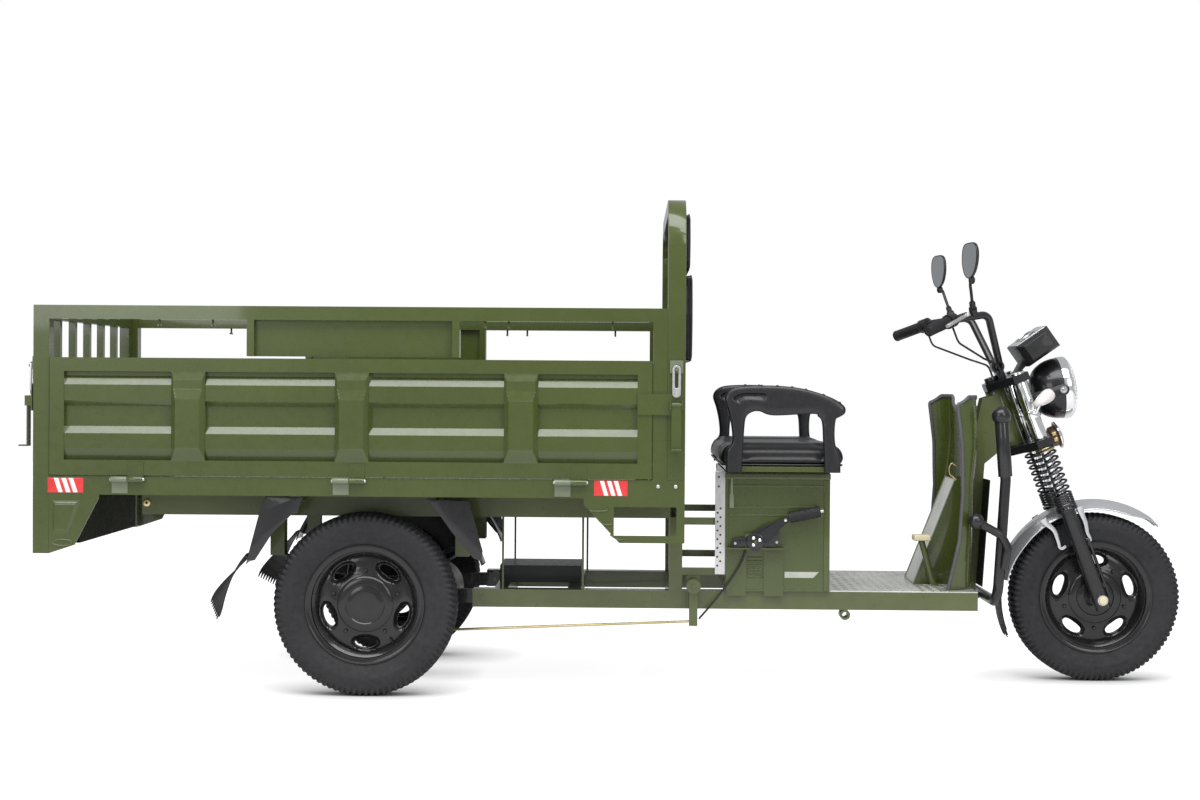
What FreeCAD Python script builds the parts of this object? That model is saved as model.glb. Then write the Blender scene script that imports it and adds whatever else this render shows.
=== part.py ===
import FreeCAD, Part
import math
import os

import Sketcher
from FreeCAD import Placement, Rotation, Vector

# Electric cargo tricycle with a drop-side bed, in millimetres.
# +X is forward, +Y is the rider's left, +Z is up, and the tyres stand on Z = 0.
# The origin lies on the ground below the middle of the part.

SIZES = {
    # Lay-out, running clearances and stock thicknesses
    "overall_length": 3325, "axle_share": 0.50640312, "floor_length": 423, "axle_lead": 396.5,
    "wheel_inset": 100, "wheel_room": 49, "latch_reach": 43.5,
    "clearance": 0.3, "pin_clearance": 0.1, "panel_gap": 2, "swing_gap": 6,
    "tube_wall": 2.5, "sheet": 2.5, "plate": 4,
    # Wheels and tyres
    "front_tyre_diameter": 498, "front_tyre_width": 95, "rear_tyre_width": 102,
    "tread_width": 66, "tyre_wall": 12, "flange_diameter": 332, "bead_diameter": 305, "well_diameter": 276,
    "rim_width": 84, "rim_sheet": 3.5, "shoulder": 26, "well_width": 24, "cap_diameter": 158,
    "cap_rise": 18,
    "disc_offset": 8, "window_circle": 214, "window_length": 62, "window_width": 34,
    "hub_diameter": 66, "front_hub_length": 130, "axle_diameter": 16, "drum_diameter": 170,
    "drum_width": 38,
    # Cargo bed
    "bed_base": 560, "bed_width": 1000, "bed_rail_height": 51, "bed_rail_width": 40,
    "deck_thickness": 3, "deck_recess": 2, "joist_width": 40, "corner_post": 44, "fence_height": 471,
    "fence_rail": 38, "front_post": 39.5, "rear_post_drop": 163, "gusset_length": 139, "gusset_lip": 8,
    "gusset_foot": 72, "step_length": 259, "step_drop": 122, "step_slope": 98, "step_post": 18,
    "step_window_length": 176, "step_window_height": 79, "step_window_rise": 20,
    "panel_start_share": 0.32795100, "panel_end_share": 0.65423163, "fence_stub": 20, "hook_drop": 16,
    "hook_rod": 6,
    # Drop sides, tailgate and latches
    "board_height": 324, "board_rise": 3, "board_depth": 30, "board_proud": 4, "board_top_rail": 38,
    "board_bottom_rail": 42, "board_stile": 40, "crease_depth": 14, "rib_width": 94, "rib_face": 66,
    "rib_first": 382, "rib_last": 400, "hinge_leaf": 2, "hinge_radius": 8, "hinge_pin": 8,
    "knuckle_length": 44, "hinge_drop": 8, "hinge_first": 219, "hinge_last": 313, "leaf_height": 36,
    "gate_bar": 20, "gate_bar_pitch": 150, "gate_rib": 200, "gate_hinge_pitch": 330,
    "latch_width": 36, "latch_pivot_height": 207, "latch_pivot_reach": 17,
    "latch_ear_rise": 30, "latch_ear_drop": 28, "latch_cheek": 28, "loop_lap": 12, "catch_drop": 10,
    "catch_rise": 25, "latch_peg_height": 304, "latch_peg": 8, "latch_peg_length": 14, "latch_handle": 126,
    "latch_pin": 6,
    # Bulkhead hoop and back pads
    "hoop_height": 779, "hoop_width": 49.5, "hoop_depth": 40, "hoop_radius": 130, "hoop_bar": 30,
    "bulkhead_height": 328, "back_pad_width": 580, "back_pad_height": 249, "back_pad_depth": 31,
    "head_pad_height": 164, "head_pad_depth": 23, "pad_split": 10,
    # Chassis
    "rail_height": 65, "rail_width": 38, "rail_span": 664, "rail_setback": 260, "cross_member": 38,
    "lower_rail_top": 287, "lower_rail_height": 51, "lower_rail_width": 50, "lower_frame_width": 600,
    "lower_rail_lead": 289.5, "tray_share": 0.48300537, "truss_rod": 6, "stay": 20,
    "truss_rear": 86, "truss_front": 245, "stay_rise": 45, "hanger_width": 40, "tail_tie": 60,
    "rear_tie": 60,
    "front_tie": 30, "neck_foot": 41, "neck_depth": 34,
    "lamp_board_height": 150, "lamp_board_width": 620, "lamp_board_depth": 35, "lamp_width": 90,
    "lamp_depth": 12,
    # Rear suspension and drive
    "spring_span": 525, "spring_camber": 95, "spring_rise": 44.5, "spring_leaf": 7, "spring_width": 33,
    "spring_eye": 26, "spring_pin": 12, "arm_pivot_lead": 29, "arm_pivot_rise": 26, "arm_height": 40,
    "arm_width": 24, "arm_eye": 44, "arm_pin": 14, "axle_tube": 64, "half_shaft": 30, "gear_case": 170,
    "gear_case_width": 84, "motor_diameter": 160, "motor_length": 200, "motor_lead": 150,
    "motor_flange": 80, "flange_lap": 14, "drum_gap": 15, "spring_seat": 90, "seat_lip": 8,
    "clamp_length": 80,
    "clamp_lip": 6, "spring_bolt": 4, "bolt_pitch": 68, "bolt_room": 4, "bolt_gap": 2.4, "hanger_strip": 28,
    "guard_gap": 94.5, "guard_width": 108, "guard_sheet": 3, "flap_thickness": 4, "flap_reach": 103,
    "flap_drop": 176,
    # Seat, batteries and floor
    "seat_gap": 123, "seat_box_length": 294, "seat_box_width": 620, "seat_box_height": 338,
    "lid_height": 17,
    "lid_width": 744, "cushion_length": 361, "cushion_width": 736, "cushion_height": 65, "cushion_lead": 41,
    "armrest_thickness": 26, "lid_hinge": 180, "battery_height": 170, "battery_gap": 4, "floor_sheet": 3,
    "controller_length": 240, "controller_width": 220, "controller_height": 50, "controller_lead": 65,
    "lid_gap": 3, "knuckle_trim": 2,
    # Front fork and steering head
    "rake": 20.7, "fork_offset": 62, "fork_spread": 184, "slider_diameter": 44, "slider_length": 287,
    "slider_foot": 30, "stanchion": 31, "fork_tube": 42, "coil_diameter": 62, "coil_wire": 6.5,
    "coil_turns": 9,
    "lower_yoke_base": 480, "yoke_height": 23, "upper_yoke_base": 683, "head_diameter": 60, "head_bore": 44,
    "stem_diameter": 30, "bearing_gap": 4, "fork_travel": 70, "fender_radius": 290, "fender_width": 118,
    "fender_sheet": 2.5, "fender_skirt": 26, "yoke_wall": 8, "yoke_lip": 6, "yoke_tail": 26, "stem_nut": 38,
    "stem_nut_height": 14, "tube_rise": 6, "collar_lip": 8, "oil_room": 10, "torque_rod": 10,
    "torque_length": 180,
    "torque_gap": 6, "torque_clip": 8, "clip_height": 12, "clip_low": 30, "clip_high": 160,
    "fender_strap": 18,
    "strap_drop": 22, "strap_rise": 10, "axle_end": 38, "axle_nut": 30, "axle_nut_height": 13,
    "front_drum": 136,
    "front_cap": 126.4,
    # Handlebar, lamps and guards
    "bar_diameter": 22, "bar_bend": 42, "grip_diameter": 33, "grip_length": 120, "housing_diameter": 42,
    "mirror_rod": 10, "boss_height": 29, "boss_diameter": 24, "lever_barrel": 18,
    "lever_cheek": 3.4, "lever_pin": 5, "lever_blade": 11, "mirror_width": 112, "mirror_height": 103,
    "mirror_depth": 24,
    "lamp_diameter": 184, "headlamp_depth": 131, "headlamp_tilt": 8, "signal_length": 63,
    "signal_height": 40,
    "signal_reach": 38, "signal_ahead": 39.5, "signal_rise": 138, "signal_stalk": 9, "stalk_ahead": 6,
    "signal_collar": 24, "collar_wall": 4, "collar_rise": 90, "headlamp_ahead": 163.5,
    "headlamp_rise": 129.6,
    "ear_reach": 130, "ear_rise": 120, "ear_height": 34, "horn_diameter": 84, "horn_depth": 40,
    "horn_ahead": 20,
    "horn_rise": 9, "dash_width": 190, "dash_foot": 60, "clamp_width": 40, "clamp_wall": 8,
    "clamp_post": 24,
    "cable_bend": 24,
    "shield_width": 520, "shield_front_width": 430, "shield_height": 553, "shield_dip": 55,
    "shield_foot": 77, "shield_waist": 32, "shield_bulge": 3, "shield_head": 59, "shield_tuck": 5,
    "toe_length": 150, "toe_height": 310, "toe_top": 29, "toe_width": 180, "splash_width": 260,
    "splash_height": 313, "neck_lean": 23, "neck_front": 357,
    "guard_bend": 60, "peg_bend": 26, "guard_lead": 66, "guard_rise": 17, "guard_knee": 21,
    "knee_rise": 353,
    "guard_tip": 7, "tip_rise": 537, "sleeve_start": 10, "sleeve_end": 20, "guard_clip": 20, "peg_knob": 44,
    "peg_ahead": 14, "peg_rise": 100, "peg_elbow": 24, "elbow_rise": 162, "peg_turn": 4, "turn_rise": 197,
    "peg_back": 67, "peg_top": 236,
    "guard_tube": 30, "guard_sleeve": 40, "guard_ball": 55, "guard_span": 480, "peg_tube": 24,
    # Brakes
    "brake_pin": 10, "lever_grip": 29, "lever_grip_length": 88, "button_diameter": 10,
    "crank_length": 101, "crank_boss": 41, "crank_pin": 12, "crank_rise": 17, "rod_diameter": 7,
    "rod_length": 690, "rod_drop": 30, "cable_diameter": 6, "pedal_tube": 18, "pedal_pin": 12,
    "bush_diameter": 29, "bush_bore": 16, "bush_lead": 47,
    "strap_length": 55, "strap_first": 2, "strap_second": 108, "strap_foot": 39, "table_drop": 211,
    "table_length": 161, "table_reach": 36, "brake_pivot": 82, "pivot_rise": 17.5, "cheek_length": 60,
    "cheek_height": 40, "cheek_line": 22, "pivot_pin": 18, "pivot_reach": 44, "blade_line": 27,
    "blade_width": 6,
    "grip_ahead": 95, "grip_rise": 69, "button_in": 20, "button_out": 10, "button_room": 30,
    "crank_lead": 31, "crank_gap": 8, "crank_reach": 50, "crank_shaft": 52, "crank_arm": 24,
    "crank_line": 30,
    "crank_plate": 36, "crank_foot": 9, "crank_head": 26, "crank_stub": 14, "rod_line": 19, "rod_eye": 24,
    "rod_width": 8, "cable_start": 55, "cable_line": 20, "cable_knee": 50, "cable_drop": 60,
    "cable_turn": 60,
    "cable_ahead": 16, "cable_rise": 8, "cable_end": 33,
    "pedal_line": 120, "pedal_boss": 30, "pedal_setback": 72, "pedal_rise": 26, "pedal_knee": 29,
    "pedal_knee_rise": 13, "pedal_lean": 63, "pedal_height": 135, "pedal_bend": 30, "pad_length": 48,
    "pad_width": 48, "pad_thickness": 14, "pedal_ear": 49, "ear_foot": 11, "ear_top": 9, "ear_gap": 9,
    "slot_rear": 55, "slot_front": 10, "slot_width": 32,
}

doc = FreeCAD.newDocument("cargo_tricycle")
sheet = doc.addObject("Spreadsheet::Sheet", "dims")
for row, (alias, number) in enumerate(SIZES.items(), start=1):
    cell = "A%d" % row
    sheet.set(cell, str(number))
    sheet.setAlias(cell, alias)
doc.recompute()


class Size:
    """A length made from sheet cells: the expression that binds it and its value in millimetres."""

    def __init__(self, text, value):
        self.text = text
        self.value = value

    def __float__(self):
        return float(self.value)

    def __add__(self, other):
        other = as_size(other)
        return Size("(%s + %s)" % (self.text, other.text), self.value + other.value)

    def __sub__(self, other):
        other = as_size(other)
        return Size("(%s - %s)" % (self.text, other.text), self.value - other.value)

    def __mul__(self, other):
        other = as_size(other)
        return Size("(%s * %s)" % (self.text, other.text), self.value * other.value)

    def __truediv__(self, other):
        other = as_size(other)
        return Size("(%s / %s)" % (self.text, other.text), self.value / other.value)

    def __radd__(self, other):
        return as_size(other) + self

    def __rsub__(self, other):
        return as_size(other) - self

    def __rmul__(self, other):
        return as_size(other) * self

    def __neg__(self):
        return as_size(0) - self


class Cells:
    """The sheet's cells by alias."""

    def __getattr__(self, alias):
        return Size("dims." + alias, SIZES[alias])


def as_size(amount):
    """Give a plain number the same form as a sheet length."""
    if isinstance(amount, Size):
        return amount
    return Size("%.6f" % amount, float(amount))


d = Cells()
zero = as_size(0)


# Helpers that make bound objects


def bind(item, prop, amount):
    """Bind one property of an object to a length."""
    item.setExpression(prop, as_size(amount).text)


def place(item, x, y, z):
    """Bind where an object stands."""
    bind(item, "Placement.Base.x", x)
    bind(item, "Placement.Base.y", y)
    bind(item, "Placement.Base.z", z)
    return item


def vector(x, y, z):
    """A plain vector from three lengths."""
    return Vector(float(x), float(y), float(z))


def box(name, x, y, z):
    """A block between two values on each axis."""
    item = doc.addObject("Part::Box", name)
    bind(item, "Length", x[1] - as_size(x[0]))
    bind(item, "Width", y[1] - as_size(y[0]))
    bind(item, "Height", z[1] - as_size(z[0]))
    return place(item, x[0], y[0], z[0])


def cut(name, base, tool):
    """One solid with another taken out of it."""
    item = doc.addObject("Part::Cut", name)
    item.Base = base
    item.Tool = tool
    return item


def fuse(name, parts):
    """Several solids welded into one."""
    item = doc.addObject("Part::MultiFuse", name)
    item.Shapes = parts
    return item


def inset(span, wall):
    """A span with one wall taken off each end."""
    return (span[0] + as_size(wall), span[1] - as_size(wall))


def bar(name, x, y, z, along):
    """A rectangular tube with open ends."""
    wall = d.tube_wall
    spans = {"x": x, "y": y, "z": z}
    bore = {axis: span if axis == along else inset(span, wall) for axis, span in spans.items()}
    outer = box(name + "_outer", x, y, z)
    inner = box(name + "_bore", bore["x"], bore["y"], bore["z"])
    return cut(name, outer, inner)


TURNS = {"x": Rotation(Vector(0, 1, 0), 90), "y": Rotation(Vector(1, 0, 0), -90), "z": Rotation()}


def rod(name, start, along, length, diameter, bore=None):
    """A round bar, or a tube where a bore is given, from a start point along one axis."""
    item = doc.addObject("Part::Cylinder", name if bore is None else name + "_outer")
    item.Placement = Placement(Vector(), TURNS[along])
    bind(item, "Radius", as_size(diameter) / 2)
    bind(item, "Height", length)
    place(item, *start)
    if bore is None:
        return item
    return cut(name, item, rod(name + "_bore", start, along, length, bore))


def strut(name, start, end, diameter, bore=None):
    """A round bar, or a tube where a bore is given, between two points."""
    axis = vector(*end) - vector(*start)
    item = doc.addObject("Part::Cylinder", name if bore is None else name + "_outer")
    item.Placement = Placement(Vector(), Rotation(Vector(0, 0, 1), axis))
    bind(item, "Radius", as_size(diameter) / 2)
    item.Height = axis.Length
    place(item, *start)
    if bore is None:
        return item
    return cut(name, item, strut(name + "_bore", start, end, bore))


def outline(body, plane, name, points):
    """A closed sketch of straight lines whose corners are bound to lengths."""
    sketch = body.newObject("Sketcher::SketchObject", name)
    support = [item for item in body.Origin.OriginFeatures if item.Role == plane][0]
    sketch.AttachmentSupport = [(support, "")]
    sketch.MapMode = "FlatFace"
    corners = [Vector(float(as_size(across)), float(as_size(up)), 0) for across, up in points]
    count = len(points)
    for index in range(count):
        sketch.addGeometry(Part.LineSegment(corners[index], corners[(index + 1) % count]), False)
    for index in range(count):
        sketch.addConstraint(Sketcher.Constraint("Coincident", index, 2, (index + 1) % count, 1))
    for index, (across, up) in enumerate(points):
        for kind, amount in (("DistanceX", as_size(across)), ("DistanceY", as_size(up))):
            rule = sketch.addConstraint(Sketcher.Constraint(kind, -1, 1, index, 1, amount.value))
            sketch.setExpression("Constraints[%d]" % rule, amount.text)
    return sketch


def prism(name, plane, points, start, length):
    """An outline padded along the axis square to its plane, from start."""
    body = doc.addObject("PartDesign::Body", name)
    sketch = outline(body, plane, name + "_outline", points)
    pad = body.newObject("PartDesign::Pad", name + "_pad")
    pad.Profile = sketch
    pad.Reversed = plane == "XZ_Plane"
    bind(pad, "Length", length)
    sketch.Visibility = False
    bind(body, {"XY_Plane": "Placement.Base.z", "XZ_Plane": "Placement.Base.y",
                "YZ_Plane": "Placement.Base.x"}[plane], start)
    return body


def turned(name, points):
    """A section of (radius, height) points turned about the Y axis."""
    body = doc.addObject("PartDesign::Body", name)
    sketch = outline(body, "XY_Plane", name + "_section", points)
    turn = body.newObject("PartDesign::Revolution", name + "_turn")
    turn.Profile = sketch
    turn.ReferenceAxis = (sketch, ["V_Axis"])
    turn.Angle = 360
    sketch.Visibility = False
    return body


def band(name, centre, radius, thickness, low, high, y):
    """A curved strip about a Y axis, between two angles counted from +X towards +Z."""
    solids = []
    for part, size in (("outer", radius), ("inner", radius - as_size(thickness))):
        item = doc.addObject("Part::Cylinder", "%s_%s" % (name, part))
        item.Placement = Placement(Vector(), Rotation(Vector(0, 1, 0), -high) * TURNS["y"])
        bind(item, "Radius", size)
        bind(item, "Height", y[1] - as_size(y[0]))
        item.Angle = high - low
        solids.append(place(item, centre[0], y[0], centre[1]))
    return cut(name, solids[0], solids[1])


def feature(name, shape):
    """A fixed shape kept as an object."""
    item = doc.addObject("Part::Feature", name)
    item.Shape = shape
    return item


def bent_wire(points, bend):
    """Straight runs joined by tangent arcs."""
    edges = []
    start = points[0]
    for before, corner, after in zip(points, points[1:], points[2:]):
        back = (before - corner).normalize()
        ahead = (after - corner).normalize()
        half = back.getAngle(ahead) / 2
        reach = bend / math.tan(half)
        middle = (back + ahead).normalize()
        arc_centre = corner + middle * (bend / math.sin(half))
        first = corner + back * reach
        last = corner + ahead * reach
        edges.append(Part.LineSegment(start, first).toShape())
        edges.append(Part.Arc(first, arc_centre - middle * bend, last).toShape())
        start = last
    edges.append(Part.LineSegment(start, points[-1]).toShape())
    return Part.Wire(edges)


def swept(points, diameter, bend):
    """The solid of a round bar that follows a bent route."""
    route = [vector(*point) for point in points]
    wire = bent_wire(route, float(bend))
    ring = Part.Circle(route[0], route[1] - route[0], float(diameter) / 2).toShape()
    return wire.makePipeShell([Part.Wire([ring])], True, True)


def pipe(name, points, diameter, bend, bore=None):
    """A bent round bar, or a bent tube where a bore is given."""
    shape = swept(points, diameter, bend)
    if bore is not None:
        shape = shape.cut(swept(points, bore, bend))
    return feature(name, shape)


def mirrored(item):
    """The same piece on the other side of the middle plane."""
    copy = doc.addObject("Part::Mirroring", item.Name + "_left")
    copy.Source = item
    copy.Normal = Vector(0, 1, 0)
    return copy


def pair(item):
    """A right-hand piece and its left-hand twin."""
    return [item, mirrored(item)]


def both(items):
    """Right-hand pieces with their left-hand twins."""
    return [piece for item in items for piece in pair(item)]


nodes = []


def node(label, parts):
    """One sub-part: its solids gathered under the name of its file."""
    group = doc.addObject("Part::Compound", label)
    group.Links = parts
    group.Label = label
    nodes.append(group)
    return group


def side(near, far):
    """The span on the rider's right between two distances from the middle plane."""
    return (-as_size(far), -as_size(near))


def middle(width):
    """A span of this width about the middle plane."""
    return (-width / 2, width / 2)


# Places that several pieces share

bed_length = (d.overall_length - d.latch_reach - d.seat_gap - d.seat_box_length - d.floor_length - d.axle_lead
              - d.front_tyre_diameter / 2)
bed_rear = d.latch_reach - d.overall_length / 2
bed_front = bed_rear + bed_length
rear_axle = bed_rear + d.axle_share * bed_length
seat_rear = bed_front + d.seat_gap
seat_front = seat_rear + d.seat_box_length
floor_front = seat_front + d.floor_length
front_axle = floor_front + d.axle_lead
front_axle_height = d.front_tyre_diameter / 2
rear_tyre_diameter = d.bed_base - d.wheel_room
rear_axle_height = rear_tyre_diameter / 2
rail_top = d.bed_base + d.bed_rail_height
fence_top = rail_top + d.fence_height
rail_base = d.bed_base - d.rail_height
lower_base = d.lower_rail_top - d.lower_rail_height
lower_tail = rear_axle + d.lower_rail_lead
seat_top = d.lower_rail_top + d.seat_box_height
bed_side = d.bed_width / 2
wheel_side = bed_side - d.wheel_inset
seat_side = d.seat_box_width / 2
rail_outer = d.rail_span / 2
rail_inner = rail_outer - d.rail_width
rail_centre = rail_outer - d.rail_width / 2
frame_outer = d.lower_frame_width / 2
frame_inner = frame_outer - d.lower_rail_width
post_front = bed_rear + d.corner_post
hoop_rear = bed_front - d.hoop_width
fence_front = hoop_rear - d.front_post
upright_rear = bed_front - d.cross_member
spring_base = rear_axle_height + d.spring_rise
spring_eye_height = spring_base + d.spring_camber
leaf_base = spring_base + d.clearance
arm_pivot = lower_tail + d.arm_pivot_lead
arm_pivot_height = lower_base + d.arm_pivot_rise
guard_radius = rear_axle_height + d.guard_gap
crank_height = d.lower_rail_top + d.crank_rise
board_base = rail_top + d.board_rise
board_top = board_base + d.board_height
board_face = bed_side + d.board_proud
hinge_reach = d.hinge_leaf + d.hinge_radius
hinge_height = rail_top - d.hinge_drop


# Chassis and cargo bed

# Waist, crown, head and chin of the neck's cheek, as (ahead of its rear foot, above the lower rail) points
NECK_CHEEK = ((6, 353), (51, 551), (94, 565), (144, 430))


def neck():
    """The pressed box that joins the steering head to the floor frame."""
    foot_front = floor_front + d.neck_foot
    half = d.head_diameter / 2
    foot = (foot_front - d.neck_depth, d.lower_rail_top)
    waist, crown, head, chin = [(foot[0] + ahead, d.lower_rail_top + up) for ahead, up in NECK_CHEEK]
    chest = (foot_front + d.neck_lean, d.lower_rail_top + d.neck_front)
    toe = (foot_front, d.lower_rail_top)
    cheek = prism("neck_cheek", "XZ_Plane", [foot, toe, chest, chin, head, crown, waist], -half - d.plate,
                  d.plate)
    fronts = [toe, chest, (chest[0] - d.plate, chest[1]), (toe[0] - d.plate, toe[1])]
    backs = [foot, (foot[0] + d.plate, foot[1]), (waist[0] + d.plate, waist[1]), waist]
    front = prism("neck_front", "XZ_Plane", fronts, -half, d.head_diameter)
    back = prism("neck_back", "XZ_Plane", backs, -half, d.head_diameter)
    step = bar("neck_foot_tube", (floor_front, foot_front), middle(d.head_diameter + 2 * d.plate),
               (lower_base, d.lower_rail_top), "x")
    return pair(cheek) + [front, back, step]


def chassis_frame():
    """Bed rails, lower rails, uprights and the tubes that tie them together."""
    rail = bar("bed_rail", (bed_rear + d.rail_setback, upright_rear), side(rail_inner, rail_outer),
               (rail_base, d.bed_base), "x")
    upright = bar("upright", (upright_rear, bed_front), side(frame_outer - d.cross_member, frame_outer),
                  (d.lower_rail_top, rail_base), "z")
    pin_start = (arm_pivot, -frame_outer, arm_pivot_height)
    rail_tube = bar("lower_rail_tube", (lower_tail, floor_front), side(frame_inner, frame_outer),
                    (lower_base, d.lower_rail_top), "x")
    pin_hole = rod("arm_pin_hole", pin_start, "y", d.lower_rail_width, d.arm_pin)
    lower = cut("lower_rail", rail_tube, pin_hole)
    pin = rod("arm_pin_bar", (arm_pivot, -frame_outer - d.plate, arm_pivot_height), "y",
              d.lower_rail_width + d.plate + d.arm_width + 2 * d.plate, d.arm_pin)
    truss_line = (rail_inner + frame_outer) / 2
    trusses = [rod("truss_%s" % place_name, (station, -truss_line, d.lower_rail_top), "z",
                   rail_base - d.lower_rail_top, d.truss_rod)
               for place_name, station in (("rear", lower_tail + d.truss_rear),
                                           ("front", upright_rear - d.truss_front))]
    stays = [bar("stay_%s" % level, (bed_front, seat_rear), side(frame_outer - d.stay, frame_outer),
                 (height, height + d.stay), "x")
             for level, height in (("low", d.lower_rail_top + d.stay_rise), ("high", rail_base - d.stay))]
    hangers = []
    for end, sign in (("rear", -1), ("front", 1)):
        eye = rear_axle + sign * d.spring_span / 2
        for face, near in (("inner", rail_inner - d.plate), ("outer", rail_outer)):
            hangers.append(box("hanger_%s_%s" % (end, face),
                               (eye - d.hanger_width / 2, eye + d.hanger_width / 2),
                               side(near, near + d.plate),
                               (spring_eye_height - d.spring_eye / 2, d.bed_base - d.rail_height / 3)))
        hangers.append(rod("spring_pin_%s" % end, (eye, -rail_outer, spring_eye_height), "y",
                           d.rail_width, d.spring_pin))
    crank_at = bed_front + d.crank_lead
    crank_plate = box("crank_plate_sheet", (crank_at - d.crank_plate / 2, crank_at + d.crank_plate / 2),
                      side(frame_outer, frame_outer + d.plate),
                      (lower_base + d.crank_foot, crank_height + d.crank_head))
    crank_shaft = rod("crank_shaft_bar", (crank_at, -frame_outer - d.crank_shaft, crank_height), "y",
                      d.crank_shaft - d.plate, d.crank_pin)
    bush = rod("free_bush", (seat_front + d.bush_lead, -frame_outer, lower_base - d.bush_diameter / 2), "y",
               d.lower_rail_width, d.bush_diameter, d.bush_bore)
    ear_half = d.pedal_boss / 2 + d.ear_gap
    ears = [box("pedal_ear_%s" % part, (floor_front - d.cross_member - d.pedal_ear,
                                        floor_front - d.cross_member),
                side(near, near + d.plate), (lower_base + d.ear_foot, d.lower_rail_top - d.ear_top))
            for part, near in (("inner", d.pedal_line - ear_half - d.plate),
                               ("outer", d.pedal_line + ear_half))]
    pedal_pin = rod("pedal_pin_bar", (floor_front - d.pedal_setback, -d.pedal_line - ear_half,
                                      lower_base + d.pedal_rise),
                    "y", 2 * ear_half, d.pedal_pin)
    uppers = [bar("rail_tie_%s" % part, (low, low + d.cross_member), middle(2 * rail_inner),
                  (rail_base, d.bed_base), "y")
              for part, low in (("tail", bed_rear + d.rail_setback),
                                ("rear", rear_axle - d.spring_span / 2 - d.rear_tie),
                                ("front", rear_axle + d.spring_span / 2 + d.front_tie))]
    tray_station = lower_tail + d.tray_share * (upright_rear - lower_tail)
    lowers = [bar("floor_tie_%s" % part, (low, low + d.cross_member), middle(2 * frame_inner),
                  (lower_base, d.lower_rail_top), "y")
              for part, low in (("tail", lower_tail + d.tail_tie), ("tray", tray_station),
                                ("bed", upright_rear),
                                ("seat", seat_front - d.cross_member),
                                ("front", floor_front - d.cross_member))]
    front_tie = bar("front_tie_tube", (upright_rear, bed_front), middle(d.rail_span),
                    (rail_base, d.bed_base), "y")
    sides = both([rail, upright, lower, pin] + trusses + stays + hangers)
    singles = [crank_plate, crank_shaft, bush, pedal_pin] + ears
    return node("chassis_frame", sides + singles + uppers + lowers + [front_tie, head_tube()] + neck())


def bed_frame():
    """Deck rails, joists, corner posts and the pressed gussets under them."""
    deck_base = rail_top - d.deck_recess - d.deck_thickness
    rail_in = bed_side - d.bed_rail_width
    rail = bar("deck_rail", (bed_rear, bed_front), side(rail_in, bed_side), (d.bed_base, rail_top), "x")
    post_span = side(bed_side - d.corner_post, bed_side)
    post = bar("corner_post", (bed_rear, post_front), post_span, (rail_top, fence_top), "z")
    foot = bar("corner_foot", (bed_rear, post_front), post_span,
               (d.bed_base - d.rear_post_drop, d.bed_base), "z")
    gusset_foot = d.bed_base - d.rear_post_drop
    gusset = prism("rear_gusset", "XZ_Plane",
                   [(post_front, d.bed_base), (post_front, gusset_foot),
                    (post_front + d.gusset_foot, gusset_foot + d.plate * 6),
                    (post_front + d.gusset_length, d.bed_base - d.gusset_lip),
                    (post_front + d.gusset_length, d.bed_base)], -bed_side, d.plate)
    step_front = bed_front - d.step_post
    step_base = d.bed_base - d.step_drop
    step_rear = step_front - d.step_length
    web = prism("step_web", "XZ_Plane",
                [(step_front, d.bed_base), (step_rear, d.bed_base), (step_rear, d.bed_base - d.step_post),
                 (step_rear + d.step_slope, step_base), (step_front, step_base)], -bed_side, d.plate)
    window_low = step_base + d.step_window_rise
    window = box("step_window", (step_front - d.step_window_length, step_front - 2 * d.panel_gap),
                 side(bed_side - d.plate, bed_side), (window_low, window_low + d.step_window_height))
    step = cut("step_gusset", web, window)
    step_post = bar("step_post_tube", (step_front, bed_front), side(bed_side - d.hoop_depth, bed_side),
                    (step_base, d.bed_base), "z")
    ends = [bar("deck_end_%s" % part, (low, low + d.bed_rail_width), middle(2 * rail_in),
                (d.bed_base, rail_top), "y")
            for part, low in (("rear", bed_rear), ("front", bed_front - d.bed_rail_width))]
    first = bed_rear + d.bed_rail_width + d.panel_gap
    pitch = (bed_length - 4 * d.bed_rail_width) / 4
    joists = [bar("joist_%d" % index, (first + index * pitch, first + index * pitch + d.joist_width),
                  middle(2 * rail_in), (d.bed_base, deck_base), "y") for index in range(5)]
    node("bed_frame", both([rail, post, foot, gusset, step, step_post]) + ends + joists)
    deck = box("deck_sheet", (post_front, bed_front - d.bed_rail_width), middle(2 * rail_in),
               (deck_base, deck_base + d.deck_thickness))
    node("bed_floor", [deck])


def hoop_shape(shrink):
    """The hoop's bar, or its bore where it is shrunk by a wall."""
    wide = float(bed_side) - shrink
    narrow = float(bed_side - d.hoop_depth) + shrink
    base = float(rail_top)
    top = float(rail_top + d.hoop_height) - shrink
    under = top - float(d.hoop_depth) + 2 * shrink
    outer_bend = float(d.hoop_radius) - shrink
    inner_bend = float(d.hoop_radius - d.hoop_depth) + shrink
    depth = float(hoop_rear) + shrink
    faces = []
    for reach, height, bend in ((wide, top, outer_bend), (narrow, under, inner_bend)):
        corners = [Vector(depth, -reach, base), Vector(depth, -reach, height), Vector(depth, reach, height),
                   Vector(depth, reach, base)]
        wire = bent_wire(corners, bend)
        closing = Part.LineSegment(corners[3], corners[0]).toShape()
        face = Part.Face(Part.Wire(wire.Edges + [closing]))
        faces.append(face.extrude(Vector(float(d.hoop_width) - 2 * shrink, 0, 0)))
    return faces[0].cut(faces[1])


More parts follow.
